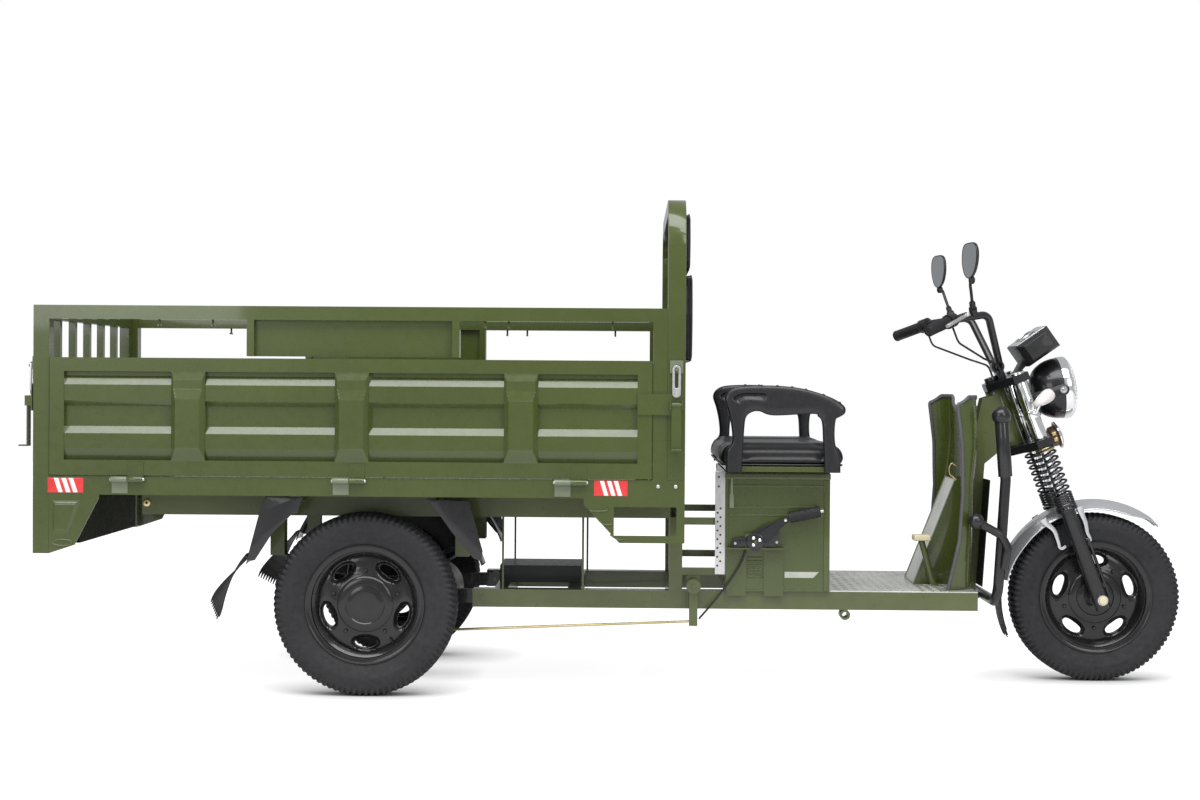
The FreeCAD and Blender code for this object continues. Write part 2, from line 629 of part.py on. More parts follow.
def bulkhead_hoop():
    """The tall hoop in front of the bed, its wall and the bars that carry the pads."""
    hoop = feature("hoop_tube", hoop_shape(0).cut(hoop_shape(float(d.tube_wall))))
    inner = bed_side - d.hoop_depth
    wall_rear = bed_front - d.hoop_bar
    wall = box("bulkhead_wall", (wall_rear, wall_rear + d.sheet), middle(2 * inner),
               (rail_top, rail_top + d.bulkhead_height))
    low = rail_top + d.bulkhead_height
    split = low + d.back_pad_height
    bars = [bar("pad_bar_%s" % part, (wall_rear, bed_front), middle(2 * inner), (base, base + height), "y")
            for part, base, height in (("low", low, d.hoop_bar),
                                       ("split", split - d.hoop_bar, 2 * d.hoop_bar + d.pad_split))]
    node("bulkhead_hoop", [hoop, wall] + bars)
    back = box("back_pad", (bed_front, bed_front + d.back_pad_depth), middle(d.back_pad_width),
               (low, split))
    head_low = split + d.pad_split
    head = box("head_pad", (bed_front, bed_front + d.head_pad_depth), middle(d.back_pad_width),
               (head_low, head_low + d.head_pad_height))
    node("backrest_pads", [back, head])


# Rope hooks, as shares of the bed's length
HOOK_SHARES = (0.1915, 0.2739, 0.6927, 0.7288, 0.8881)


def side_fences():
    """Fixed rails and panels above the drop sides, and the rope hooks under the rails."""
    inner = bed_side - d.fence_rail
    base = fence_top - d.fence_rail
    rail = bar("fence_rail_tube", (post_front, hoop_rear), side(inner, bed_side), (base, fence_top), "x")
    post = bar("fence_post", (fence_front, hoop_rear), side(inner, bed_side), (rail_top, base), "z")
    panel_rear = bed_rear + d.panel_start_share * bed_length
    panel_front = bed_rear + d.panel_end_share * bed_length
    low = board_top + d.swing_gap
    stubs = [bar("fence_stub_%s" % part, (start, start + d.fence_stub), side(inner, bed_side), (low, base),
                 "z")
             for part, start in (("rear", panel_rear), ("front", panel_front - d.fence_stub))]
    panel = box("fence_panel", (panel_rear + d.fence_stub, panel_front - d.fence_stub),
                side(bed_side - d.fence_rail / 2 - d.sheet, bed_side - d.fence_rail / 2), (low, base))
    hooks = []
    line = bed_side - d.fence_rail / 2
    for index, share in enumerate(HOOK_SHARES):
        station = bed_rear + share * bed_length
        shank = rod("hook_shank_%d" % index, (station, -line, base - d.hook_drop), "z", d.hook_drop,
                    d.hook_rod)
        tip = rod("hook_tip_%d" % index, (station, -line - d.hook_drop, base - d.hook_drop), "y",
                  2 * d.hook_drop, d.hook_rod)
        hooks.append(fuse("hook_%d" % index, [shank, tip]))
    node("side_fences", both([rail, post, panel] + stubs + hooks))


# Height as a share of the panel, and whether the pressing stands proud there
CREASES = ((0, 0), (0.13, 1), (0.3, 1), (0.38, 0), (0.61, 0), (0.67, 1), (0.85, 1), (0.95, 0), (1, 0))


def pressed_section(low, high):
    """The pressed sheet's section as (distance inside the outer face, height) points."""
    height = high - as_size(low)
    front = [(d.panel_gap + (1 - proud) * d.crease_depth, low + share * height) for share, proud in CREASES]
    back = [(depth + d.sheet, level) for depth, level in reversed(front)]
    return front + back


def rib_section(centre):
    """A pressed upright rib's section as (station, distance inside the outer face) points."""
    foot = d.panel_gap + d.crease_depth
    half = d.rib_width / 2
    face = d.rib_face / 2
    return [(centre - half, foot), (centre - face, zero), (centre + face, zero), (centre + half, foot),
            (centre + half, foot + d.sheet), (centre + face - d.sheet, d.sheet),
            (centre - face + d.sheet, d.sheet),
            (centre - half, foot + d.sheet)]


def hinge_half(name, station, wall, moving):
    """One hinge half on a wall: a leaf on the face and a knuckle round the pin."""
    if moving:
        start = station
        near = wall + d.board_proud
        levels = (hinge_height, board_base + d.leaf_height)
        bore = d.hinge_pin + 2 * d.pin_clearance
    else:
        start = station - d.knuckle_length - d.clearance
        near = wall
        levels = (d.bed_base + d.plate, hinge_height)
        bore = d.hinge_pin
    leaf = box(name + "_leaf", (start, start + d.knuckle_length), side(near, near + d.hinge_leaf), levels)
    origin = (start, -(wall + hinge_reach), hinge_height)
    knuckle = rod(name + "_knuckle", origin, "x", d.knuckle_length, 2 * d.hinge_radius)
    hole = rod(name + "_hole", origin, "x", d.knuckle_length, bore)
    return cut(name, fuse(name + "_weld", [leaf, knuckle]), hole)


def hinge_pin(name, station, wall):
    """The pin through both knuckles of one hinge."""
    start = station - d.knuckle_length - d.clearance
    return rod(name, (start, -(wall + hinge_reach), hinge_height), "x", 2 * d.knuckle_length + d.clearance,
               d.hinge_pin)


def latch_catch(name):
    """The fixed plate and headless peg that a latch loop hooks over."""
    half = d.latch_width / 2
    height = rail_top + d.latch_peg_height
    plate = box(name + "_plate", (-half, half), side(0, d.plate),
                (height - d.catch_drop, height + d.catch_rise))
    peg = rod(name + "_peg", (zero, -d.plate - d.latch_peg_length, height), "y", d.latch_peg_length,
              d.latch_peg)
    return [plate, peg]


def latch_base(name, reach):
    """The board's half of a latch: an ear over the post, the loop and two pivot cheeks."""
    half = d.latch_width / 2
    pivot = rail_top + d.latch_pivot_height
    ear_top = pivot + d.latch_ear_rise
    peg = rail_top + d.latch_peg_height
    ear = box(name + "_ear", (-half - reach, half), side(d.board_proud, d.board_proud + d.plate),
              (pivot - d.latch_ear_drop, ear_top))
    loop_face = d.board_proud + d.plate
    loop_top = peg + d.latch_peg / 2 + d.clearance
    loop_half = d.latch_peg / 2 + d.panel_gap + d.plate
    plate = box(name + "_loop_plate", (-loop_half, loop_half), side(loop_face, loop_face + d.plate),
                (ear_top - d.loop_lap, loop_top + d.plate))
    slot = box(name + "_loop_slot", inset((-loop_half, loop_half), d.plate),
               side(loop_face, loop_face + d.plate),
               (ear_top + d.panel_gap, loop_top))
    cheek_low = half - d.plate
    cheeks = [box("%s_cheek_%s" % (name, part), span, side(loop_face, loop_face + d.latch_pivot_reach),
                  (pivot - d.latch_cheek / 2, pivot + d.latch_cheek / 2))
              for part, span in (("low", (-half, -cheek_low)), ("high", (cheek_low, half)))]
    pin_line = loop_face + d.latch_pivot_reach - d.latch_pin
    pin = rod(name + "_pin", (-cheek_low, -pin_line, pivot), "x", 2 * cheek_low, d.latch_pin)
    return [ear, cut(name + "_loop", plate, slot), pin] + cheeks


def latch_lever(name):
    """The swinging handle of a latch."""
    pivot = rail_top + d.latch_pivot_height
    half = d.latch_width / 2 - d.plate - d.clearance
    line = d.board_proud + d.plate + d.latch_pivot_reach - d.latch_pin
    boss = rod(name + "_boss", (-half, -line, pivot), "x", 2 * half, 2 * d.latch_pin)
    blade = box(name + "_blade", (-half, half), side(line - d.plate / 2, line + d.plate / 2),
                (pivot - d.latch_handle, pivot))
    lip = box(name + "_lip", (-half, half), side(line - d.plate / 2, d.latch_reach),
              (pivot - d.latch_handle, pivot - d.latch_handle + d.plate))
    hole = rod(name + "_hole", (-half, -line, pivot), "x", 2 * half, d.latch_pin + 2 * d.pin_clearance)
    return [cut(name, fuse(name + "_weld", [boss, blade, lip]), hole)]


def stationed(name, parts, x, y, turn=0):
    """A latch part set on its post, turned about the vertical."""
    group = doc.addObject("Part::Compound", name)
    group.Links = parts
    group.Placement = Placement(Vector(), Rotation(Vector(0, 0, 1), turn))
    return place(group, x, y, zero)


first_hinge = bed_rear + d.hinge_first + d.knuckle_length
last_hinge = bed_front - d.hinge_last
SIDE_HINGES = [first_hinge, (first_hinge + last_hinge) / 2, last_hinge]
GATE_HINGES = [index * d.gate_hinge_pitch for index in (-1, 0, 1)]
side_post = bed_front - d.hoop_width / 2
gate_post = d.corner_post / 2 - bed_side


def hardware():
    """Fixed hinge halves, hinge pins and latch catches, and the four latch handles."""
    pieces = []
    for index, station in enumerate(SIDE_HINGES):
        pieces.append(hinge_half("side_hinge_%d" % index, station, bed_side, False))
        pieces.append(hinge_pin("side_pin_%d" % index, station, bed_side))
    pieces.append(stationed("side_catch", latch_catch("side_catch_part"), side_post, -bed_side))
    pieces.append(stationed("gate_catch", latch_catch("gate_catch_part"), bed_rear, gate_post, -90))
    gate = []
    for index, station in enumerate(GATE_HINGES):
        gate.append(hinge_half("gate_hinge_%d" % index, station, zero, False))
        gate.append(hinge_pin("gate_pin_%d" % index, station, zero))
    gate_hinges = stationed("gate_fixed_hinges", gate, bed_rear, zero, -90)
    node("hinges_and_catches", both(pieces) + [gate_hinges])
    side_lever = stationed("side_lever", latch_lever("side_lever_part"), side_post, -bed_side)
    gate_lever = stationed("gate_lever", latch_lever("gate_lever_part"), bed_rear, gate_post, -90)
    node("latch_lever_side_right", [side_lever])
    node("latch_lever_side_left", [mirrored(side_lever)])
    node("latch_lever_gate_right", [gate_lever])
    node("latch_lever_gate_left", [mirrored(gate_lever)])


def board_frame(name, along, top):
    """The tube frame and pressed sheet of one board, its outer face on local Y = 0 and facing -Y."""
    low, high = along
    depth = (zero, d.board_depth)
    base = board_base
    stile_low = bar(name + "_stile_low", (low, low + d.board_stile), depth, (base, top), "z")
    stile_high = bar(name + "_stile_high", (high - d.board_stile, high), depth, (base, top), "z")
    span = (low + d.board_stile, high - d.board_stile)
    sheet_low = base + d.board_bottom_rail
    sheet_high = board_top - d.board_top_rail
    rails = [bar(name + "_rail_base", span, depth, (base, sheet_low), "x"),
             bar(name + "_rail_top", span, depth, (sheet_high, board_top), "x")]
    pressing = prism(name + "_sheet", "YZ_Plane", pressed_section(sheet_low, sheet_high), span[0],
                     span[1] - as_size(span[0]))
    return [stile_low, stile_high] + rails, pressing, sheet_low, sheet_high


def ribbed(name, pressing, stations, low, high):
    """The pressed sheet with its upright ribs."""
    ribs = [prism("%s_rib_%d" % (name, index), "XY_Plane", rib_section(station), low, high - as_size(low))
            for index, station in enumerate(stations)]
    return fuse(name + "_pressing", [pressing] + ribs)


def side_boards():
    """The hinged board on each side of the bed, with its half of the latch."""
    along = (post_front + d.panel_gap, fence_front - d.panel_gap)
    frame, pressing, low, high = board_frame("side", along, board_top)
    first_rib = bed_rear + d.rib_first + d.rib_width / 2
    last_rib = bed_front - d.rib_last - d.rib_width / 2
    stations = [first_rib, (first_rib + last_rib) / 2, last_rib]
    panel = stationed("side_panel", frame + [ribbed("side", pressing, stations, low, high)], zero,
                      -board_face)
    hinges = [hinge_half("side_moving_hinge_%d" % index, station, bed_side, True)
              for index, station in enumerate(SIDE_HINGES)]
    reach = side_post - d.latch_width / 2 - fence_front + d.panel_gap + d.board_stile
    base = stationed("side_latch", latch_base("side_latch_part", reach), side_post, -bed_side)
    right = [panel, base] + hinges
    node("side_board_right", right)
    node("side_board_left", [mirrored(item) for item in right])


def tailgate():
    """The full-height rear gate: pressed panel below, bars above."""
    half = bed_side - d.corner_post - d.panel_gap
    frame, pressing, low, high = board_frame("gate", (-half, half), fence_top)
    inner = half - d.board_stile
    rail = bar("gate_head_rail", (-inner, inner), (zero, d.board_depth),
               (fence_top - d.fence_rail, fence_top),
               "x")
    bars = [bar("gate_bar_%d" % index,
                (index * d.gate_bar_pitch - d.gate_bar / 2, index * d.gate_bar_pitch + d.gate_bar / 2),
                (d.panel_gap, d.panel_gap + d.gate_bar), (board_top, fence_top - d.fence_rail), "z")
            for index in (-2, -1, 0, 1, 2)]
    panel = ribbed("gate", pressing, [-d.gate_rib, d.gate_rib], low, high)
    face = stationed("gate_panel", frame + [rail, panel] + bars, bed_rear - d.board_proud, zero, -90)
    hinges = [hinge_half("gate_moving_hinge_%d" % index, station, zero, True)
              for index, station in enumerate(GATE_HINGES)]
    hung = stationed("gate_hinges", hinges, bed_rear, zero, -90)
    reach = d.corner_post / 2 + d.panel_gap + d.board_stile - d.latch_width / 2
    latch = stationed("gate_latch", latch_base("gate_latch_part", reach), bed_rear, gate_post, -90)
    node("tailgate", [face, hung] + pair(latch))


# Rear suspension, drive and wheels


def leaf_spring():
    """Three curved leaves that hang the axle from the bed rails, and the eyes at the ends."""
    half = float(d.spring_span) / 2
    rise = float(spring_eye_height - leaf_base) - 2.5 * float(d.spring_leaf)
    radius = (half * half + rise * rise) / (2 * rise)
    centre = (rear_axle, leaf_base + 2.5 * d.spring_leaf + radius)
    swing = math.degrees(math.asin(half / radius))
    line = side(rail_centre - d.spring_width / 2, rail_centre + d.spring_width / 2)
    leaves = []
    for index, share in enumerate((1, 0.7, 0.42)):
        outer = radius + (index + 0.5) * d.spring_leaf
        leaf = band("leaf_%d" % index, centre, outer, d.spring_leaf, 270 - swing * share,
                    270 + swing * share, line)
        if index == 0:
            leaf = eyed_leaf(leaf, line)
        leaves.append(leaf)
    node("leaf_springs", both(leaves))


def eyed_leaf(leaf, line):
    """The main leaf with an eye at each end, bored for its hanger pin."""
    eyes = []
    holes = []
    for end, sign in (("rear", -1), ("front", 1)):
        start = (rear_axle + sign * d.spring_span / 2, line[0], spring_eye_height)
        eyes.append(rod("leaf_eye_%s" % end, start, "y", d.spring_width, d.spring_eye))
        holes.append(rod("leaf_hole_%s" % end, start, "y", d.spring_width, d.spring_pin))
    return cut("main_leaf", fuse("main_leaf_weld", [leaf] + eyes), fuse("main_leaf_holes", holes))


def rear_axle_housing():
    """The axle tube with its trailing arms, spring seats, brake plates and gear case."""
    end = wheel_side - d.rear_tyre_width / 2 - d.drum_gap
    tube = rod("axle_tube_bar", (rear_axle, -end, rear_axle_height), "y", 2 * end, d.axle_tube)
    arm_out = frame_inner - d.plate
    arm_span = side(arm_out - d.arm_width, arm_out)
    half_arm = d.arm_height / 2
    arm = prism("trailing_arm", "XZ_Plane",
                [(rear_axle, rear_axle_height - half_arm), (arm_pivot, arm_pivot_height - half_arm),
                 (arm_pivot, arm_pivot_height + half_arm), (rear_axle, rear_axle_height + half_arm)],
                arm_span[0], d.arm_width)
    eye = rod("arm_eye_boss", (arm_pivot, arm_span[0], arm_pivot_height), "y", d.arm_width, d.arm_eye)
    eye_hole = rod("arm_eye_hole", (arm_pivot, arm_span[0], arm_pivot_height), "y", d.arm_width,
                   d.arm_pin + 2 * d.pin_clearance)
    seat = box("spring_seat_block", (rear_axle - d.spring_seat / 2, rear_axle + d.spring_seat / 2),
               side(rail_inner - d.seat_lip, rail_outer + d.panel_gap), (rear_axle_height, spring_base))
    disc = rod("brake_plate", (rear_axle, -end, rear_axle_height), "y", d.plate, d.drum_diameter)
    case = rod("gear_case_drum", (rear_axle, -d.gear_case_width / 2, rear_axle_height), "y",
               d.gear_case_width,
               d.gear_case)
    shaft = rod("shaft_hole", (rear_axle, -end, rear_axle_height), "y", end - d.gear_case_width,
                d.half_shaft + 2 * d.clearance)
    sides = both([arm, eye, seat, disc])
    holes = both([eye_hole, shaft])
    solid = cut("axle_casting", fuse("axle_weld", [tube, case] + sides), fuse("axle_holes", holes))
    top = leaf_base + 3 * d.spring_leaf
    clamp = box("spring_clamp", (rear_axle - d.clamp_length / 2, rear_axle + d.clamp_length / 2),
                side(rail_inner - d.clamp_lip, rail_outer),
                (top + d.panel_gap, top + d.panel_gap + 2 * d.plate))
    bolts = [rod("spring_bolt_%s_%s" % (end_name, face), (rear_axle + step, -line, spring_base), "z",
                 top + d.panel_gap - spring_base, d.spring_bolt)
             for end_name, step in (("rear", -d.bolt_pitch / 2), ("front", d.bolt_pitch / 2))
             for face, line in (("inner", rail_centre - d.spring_width / 2 - d.bolt_room),
                                ("outer", rail_centre + d.spring_width / 2 + d.bolt_gap))]
    node("rear_axle_housing", [solid] + both([clamp] + bolts))
    motor = rod("motor_drum", (rear_axle + d.motor_lead, -d.motor_length / 2, rear_axle_height), "y",
                d.motor_length, d.motor_diameter)
    link = box("motor_flange_block", (rear_axle + d.gear_case / 2 - d.flange_lap, rear_axle + d.motor_lead),
               middle(d.gear_case_width),
               (rear_axle_height - d.motor_flange / 2, rear_axle_height + d.motor_flange / 2))
    weld = fuse("motor_weld", [motor, link])
    pocket = rod("motor_seat", (rear_axle, -d.gear_case_width / 2, rear_axle_height), "y",
                 d.gear_case_width,
                 d.gear_case)
    node("drive_motor", [cut("motor_body", weld, pocket)])


def rim(name, disc_side, front):
    """A pressed wheel about the Y axis: barrel, dished disc with five oval windows, and hub."""
    lip = d.flange_diameter / 2
    bead = d.bead_diameter / 2
    well = d.well_diameter / 2
    edge = d.rim_width / 2
    skin = d.rim_sheet
    floor = d.well_width / 2
    upper = [(lip, edge - skin), (bead, edge - skin), (bead, d.shoulder), (well, floor)]
    lower = [(radius, -level) for radius, level in reversed(upper)]
    under = [(lip, -edge), (bead - skin, -edge), (bead - skin, -d.shoulder), (well - skin, -floor)]
    over = [(radius, -level) for radius, level in reversed(under)]
    barrel = turned(name + "_barrel", upper + lower + under + over)
    cap = d.cap_diameter / 2
    base = d.disc_offset * disc_side
    rise = base + d.cap_rise * disc_side
    thick = skin * disc_side
    hub = d.hub_diameter / 2
    disc = turned(name + "_disc", [(hub, rise), (cap, rise), (cap + d.cap_rise, base), (well - skin, base),
                                   (well - skin, base - thick), (cap + d.cap_rise, base - thick),
                                   (cap, rise - thick), (hub, rise - thick)])
    windows = oval_windows(name + "_windows", front)
    return [barrel, cut(name + "_pierced", disc, windows)]


def oval_windows(name, up):
    """Five oval plugs round the wheel, the first straight up or straight down."""
    first = math.pi / 2 if up else -math.pi / 2
    ring = float(d.window_circle) / 2
    long_half = float(d.window_length) / 2
    short_half = float(d.window_width) / 2
    plugs = []
    for index in range(5):
        angle = first + index * 2 * math.pi / 5
        out = Vector(math.cos(angle), 0, math.sin(angle))
        along = Vector(-math.sin(angle), 0, math.cos(angle))
        centre = out * ring
        ellipse = Part.Ellipse(centre + along * long_half, centre + out * short_half, centre)
        face = Part.Face(Part.Wire([ellipse.toShape()]))
        face.translate(Vector(0, -float(d.rim_width), 0))
        plugs.append(face.extrude(Vector(0, 2 * float(d.rim_width), 0)))
    return feature(name, Part.makeCompound(plugs))


def tyre(name, diameter, width):
    """A tyre about the Y axis, with a rounded carcass and a flat tread."""
    crown = diameter / 2
    bead = d.bead_diameter / 2 + d.clearance
    seat = d.rim_width / 2 - d.rim_sheet - d.clearance
    half = width / 2
    tread = d.tread_width / 2
    wall = (crown + bead) / 2
    thick = d.tyre_wall
    right = [(bead, seat), (bead + 4 * d.rim_sheet, seat), (wall - 6 * d.sheet, half - d.sheet),
             (wall + 4 * d.sheet, half), (crown - 6 * d.sheet, half - 2 * d.sheet),
             (crown - 2 * d.sheet, tread + 3 * d.sheet), (crown, tread)]
    inside = [(crown - thick, tread), (wall, half - thick), (bead, seat - thick)]
    left = [(radius, -level) for radius, level in reversed(right)]
    far_inside = [(radius, -level) for radius, level in reversed(inside)]
    return turned(name, right + left + far_inside + inside)


def rear_wheels():
    """The driven wheels, each with a brake drum and the half shaft that carries it."""
    wheel = rim("rear", -1, False)
    drum_low = d.rear_tyre_width / 2 + d.drum_gap - d.plate - d.swing_gap
    shaft_end = wheel_side - d.gear_case_width - d.swing_gap
    hub_face = d.disc_offset + d.cap_rise
    shaft = rod("half_shaft_bar", (zero, -hub_face, zero), "y", hub_face + shaft_end, d.half_shaft)
    hub = rod("rear_hub", (zero, -hub_face, zero), "y", hub_face + drum_low, d.hub_diameter)
    drum = rod("rear_drum", (zero, drum_low - d.drum_width, zero), "y", d.drum_width, d.drum_diameter)
    axle = fuse("rear_hub_weld", [shaft, hub, drum])
    cover = rod("rear_cap", (zero, -hub_face - d.plate, zero), "y", d.plate,
                d.cap_diameter - d.hub_diameter / 2)
    parts = wheel + [axle, cover]
    right_rim = placed_wheel("rear_wheel_right", parts, rear_axle, -wheel_side, rear_axle_height)
    rubber = placed_wheel("rear_rubber_right", [tyre("rear_carcass", rear_tyre_diameter,
                                                     d.rear_tyre_width)],
                          rear_axle, -wheel_side, rear_axle_height)
    node("rear_rim_right", [right_rim])
    node("rear_rim_left", [mirrored(right_rim)])
    node("rear_tyre_right", [rubber])
    node("rear_tyre_left", [mirrored(rubber)])


def placed_wheel(name, parts, x, y, z):
    """Wheel parts moved to their axle."""
    group = doc.addObject("Part::Compound", name)
    group.Links = parts
    return place(group, x, y, z)


# Angles over the rear axle, in degrees: both ends of a guard, its hanger and the top of its flap
GUARD_FOOT = 19
GUARD_HEAD = 58
GUARD_HANGER = 56
GUARD_FLAP = 21


def rear_mudguards():
    """Curved guards before and behind each rear wheel, hung from the deck rail, with a rubber flap."""
    centre = (rear_axle, rear_axle_height)
    span = side(wheel_side - d.guard_width / 2, wheel_side + d.guard_width / 2)
    reach = guard_radius * math.cos(math.radians(GUARD_HEAD))
    hang_height = rear_axle_height + guard_radius * math.sin(math.radians(GUARD_HANGER))
    pieces = []
    for part, low, high, tab in (("front", GUARD_FOOT, GUARD_HEAD, 1),
                                 ("rear", 180 - GUARD_HEAD, 180 - GUARD_FOOT, -1)):
        strip = band("guard_%s" % part, centre, guard_radius, d.guard_sheet, low, high, span)
        station = rear_axle + tab * reach
        length = (station - d.hanger_strip / 2, station + d.hanger_strip / 2)
        hanger = box("guard_hanger_%s" % part, length, span, (hang_height, d.bed_base))
        tie = box("guard_tie_%s" % part, length, side(wheel_side, bed_side - d.bed_rail_width / 2),
                  (d.bed_base - d.plate, d.bed_base))
        pieces.append(fuse("guard_weld_%s" % part, [strip, hanger, tie]))
    hang = (rear_axle - guard_radius * math.cos(math.radians(GUARD_FLAP)),
            rear_axle_height + guard_radius * math.sin(math.radians(GUARD_FLAP)))
    tip = (hang[0] - d.flap_reach, hang[1] - d.flap_drop)
    flap = prism("guard_flap", "XZ_Plane", [hang, tip, (tip[0] - d.flap_thickness, tip[1] + d.panel_gap),
                                            (hang[0] - d.flap_thickness, hang[1] + d.panel_gap)],
                 span[0], d.guard_width)
    node("rear_mudguards", both(pieces + [flap]))


def tail_lamps():
    """The lamp board under the tail with its two lamps."""
    rear = bed_rear + d.bed_rail_width + d.panel_gap
    half = d.lamp_board_width / 2
    base = d.bed_base - d.lamp_board_height
    board = bar("lamp_board", (rear, rear + d.lamp_board_depth), middle(d.lamp_board_width),
                (base, d.bed_base), "y")
    lamp = box("tail_lamp", (rear - d.lamp_depth, rear), side(half - d.lamp_width, half),
               (base + d.lamp_width / 2, base + d.lamp_width * 1.4))
    node("tail_lamps", [board] + pair(lamp))


# Seat, batteries and floor

# The armrest's outer edge and the inside of its arch, as (behind the box front, above the box top) points
ARMREST_OUTER = ((-300, 5), (-298, 63), (-283, 89), (-285, 132), (-294, 175), (-304, 209), (-294, 231),
                 (-266, 244), (-201, 248), (-133, 246), (-73, 237), (-8, 216), (28, 194), (34, 177),
                 (26, 166),
                 (9, 158), (4, 128), (6, 85), (19, 51), (21, 5))
ARMREST_INNER = ((-24, 5), (-28, 85), (-32, 145), (-43, 162), (-58, 169), (-167, 164), (-206, 175),
                 (-227, 173),
                 (-244, 158), (-249, 119), (-251, 76), (-255, 5))


def seat():
    """The battery box under the seat, and the lid that carries the cushion and the armrests."""
    outer = box("seat_box_outer", (seat_rear, seat_front), middle(d.seat_box_width),
                (d.lower_rail_top, seat_top))
    inner = box("seat_box_inner", inset((seat_rear, seat_front), d.sheet),
                inset(middle(d.seat_box_width), d.sheet),
                (d.lower_rail_top + d.sheet, seat_top))
    shell = cut("seat_box_shell", outer, inner)
    axis = seat_front + d.hinge_radius
    height = seat_top + d.lid_gap
    fixed = []
    moving = []
    for index, station in enumerate((-d.lid_hinge, d.lid_hinge)):
        start = (axis, station, height)
        leaf = box("lid_hinge_leaf_%d" % index, (seat_front, seat_front + d.hinge_leaf),
                   (station, station + d.knuckle_length), (seat_top - d.leaf_height, height))
        knuckle = rod("lid_hinge_knuckle_%d" % index, start, "y", d.knuckle_length,
                      2 * d.hinge_radius - d.knuckle_trim)
        hole = rod("lid_hinge_hole_%d" % index, start, "y", d.knuckle_length, d.hinge_pin)
        fixed.append(cut("lid_hinge_%d" % index, fuse("lid_hinge_weld_%d" % index, [leaf, knuckle]), hole))
        pin_length = 2 * d.knuckle_length + d.clearance
        fixed.append(rod("lid_pin_%d" % index, start, "y", pin_length, d.hinge_pin))
        swing = (axis, station + d.knuckle_length + d.clearance, height)
        tab = box("lid_tab_%d" % index, (seat_front - 4 * d.plate, axis),
                  (swing[1], swing[1] + d.knuckle_length), (height, height + d.hinge_leaf))
        ring = rod("lid_ring_%d" % index, swing, "y", d.knuckle_length, 2 * d.hinge_radius - d.knuckle_trim)
        bore = rod("lid_bore_%d" % index, swing, "y", d.knuckle_length, d.hinge_pin + 2 * d.pin_clearance)
        moving.append(cut("lid_swing_%d" % index, fuse("lid_swing_weld_%d" % index, [tab, ring]), bore))
    node("seat_box", [shell] + fixed)
    lid_base = height + d.hinge_leaf
    lid_top = height + d.lid_height
    lid_block = box("lid_block", (seat_rear, seat_front), middle(d.lid_width), (lid_base, lid_top))
    lid_hollow = box("lid_hollow", inset((seat_rear, seat_front), d.sheet),
                     inset(middle(d.lid_width), d.sheet),
                     (lid_base, lid_top - d.sheet))
    node("seat_lid", [cut("lid_pan", lid_block, lid_hollow)] + moving)
    front = seat_front + d.cushion_lead
    cushion = box("cushion_block", (front - d.cushion_length, front), middle(d.cushion_width),
                  (lid_top, lid_top + d.cushion_height))
    node("seat_cushion", [cushion])
    points = [(seat_front + along, seat_top + up) for along, up in ARMREST_OUTER + ARMREST_INNER]
    arch = prism("armrest_arch", "XZ_Plane", points, -d.lid_width / 2 - d.armrest_thickness,
                 d.armrest_thickness)
    node("armrests", pair(arch))
    cell_floor = d.lower_rail_top + d.sheet
    cell_x = (d.seat_box_length - 2 * d.sheet - 3 * d.battery_gap) / 2
    cell_y = (d.seat_box_width - 2 * d.sheet - 4 * d.battery_gap) / 3
    cells = []
    for row in range(2):
        for column in range(3):
            low_x = seat_rear + d.sheet + d.battery_gap + row * (cell_x + d.battery_gap)
            low_y = -seat_side + d.sheet + d.battery_gap + column * (cell_y + d.battery_gap)
            cells.append(box("battery_%d_%d" % (row, column), (low_x, low_x + cell_x),
                             (low_y, low_y + cell_y),
                             (cell_floor, cell_floor + d.battery_height)))
    node("battery_pack", cells)
    tray = lower_tail + d.controller_lead
    case = box("controller_case", (tray, tray + d.controller_length), middle(d.controller_width),
               (d.lower_rail_top, d.lower_rail_top + d.controller_height))
    node("motor_controller", [case])


def footboard():
    """The chequer plate floor with a slot for the brake pedal's arm."""
    plate = box("floor_plate", (seat_front + d.panel_gap, floor_front), middle(d.lower_frame_width),
                (d.lower_rail_top, d.lower_rail_top + d.floor_sheet))
    pedal_at = floor_front - d.pedal_setback
    slot = box("pedal_slot", (pedal_at - d.slot_rear, pedal_at + d.slot_front),
               side(d.pedal_line - d.slot_width / 2, d.pedal_line + d.slot_width / 2),
               (d.lower_rail_top, d.lower_rail_top + d.floor_sheet))
    node("footboard", [cut("floor_slotted", plate, slot)])


# Leg shield and guards


def shield_section(height, rear, front):
    """The shield's plan at one height, open to the rear."""
    wide = float(d.shield_width) / 2
    narrow = float(d.shield_front_width) / 2
    skin = float(d.sheet)
    outer = [(rear, wide), (front, narrow), (front, -narrow), (rear, -wide)]
    inner = [(rear, skin - wide), (front - skin, skin - narrow), (front - skin, narrow - skin),
             (rear, wide - skin)]
    points = [Vector(x, y, height) for x, y in outer + inner]
    return Part.makePolygon(points + [points[0]])


# Share of the shield's width that the dip in its top edge takes
DIP_SHARE = 0.85


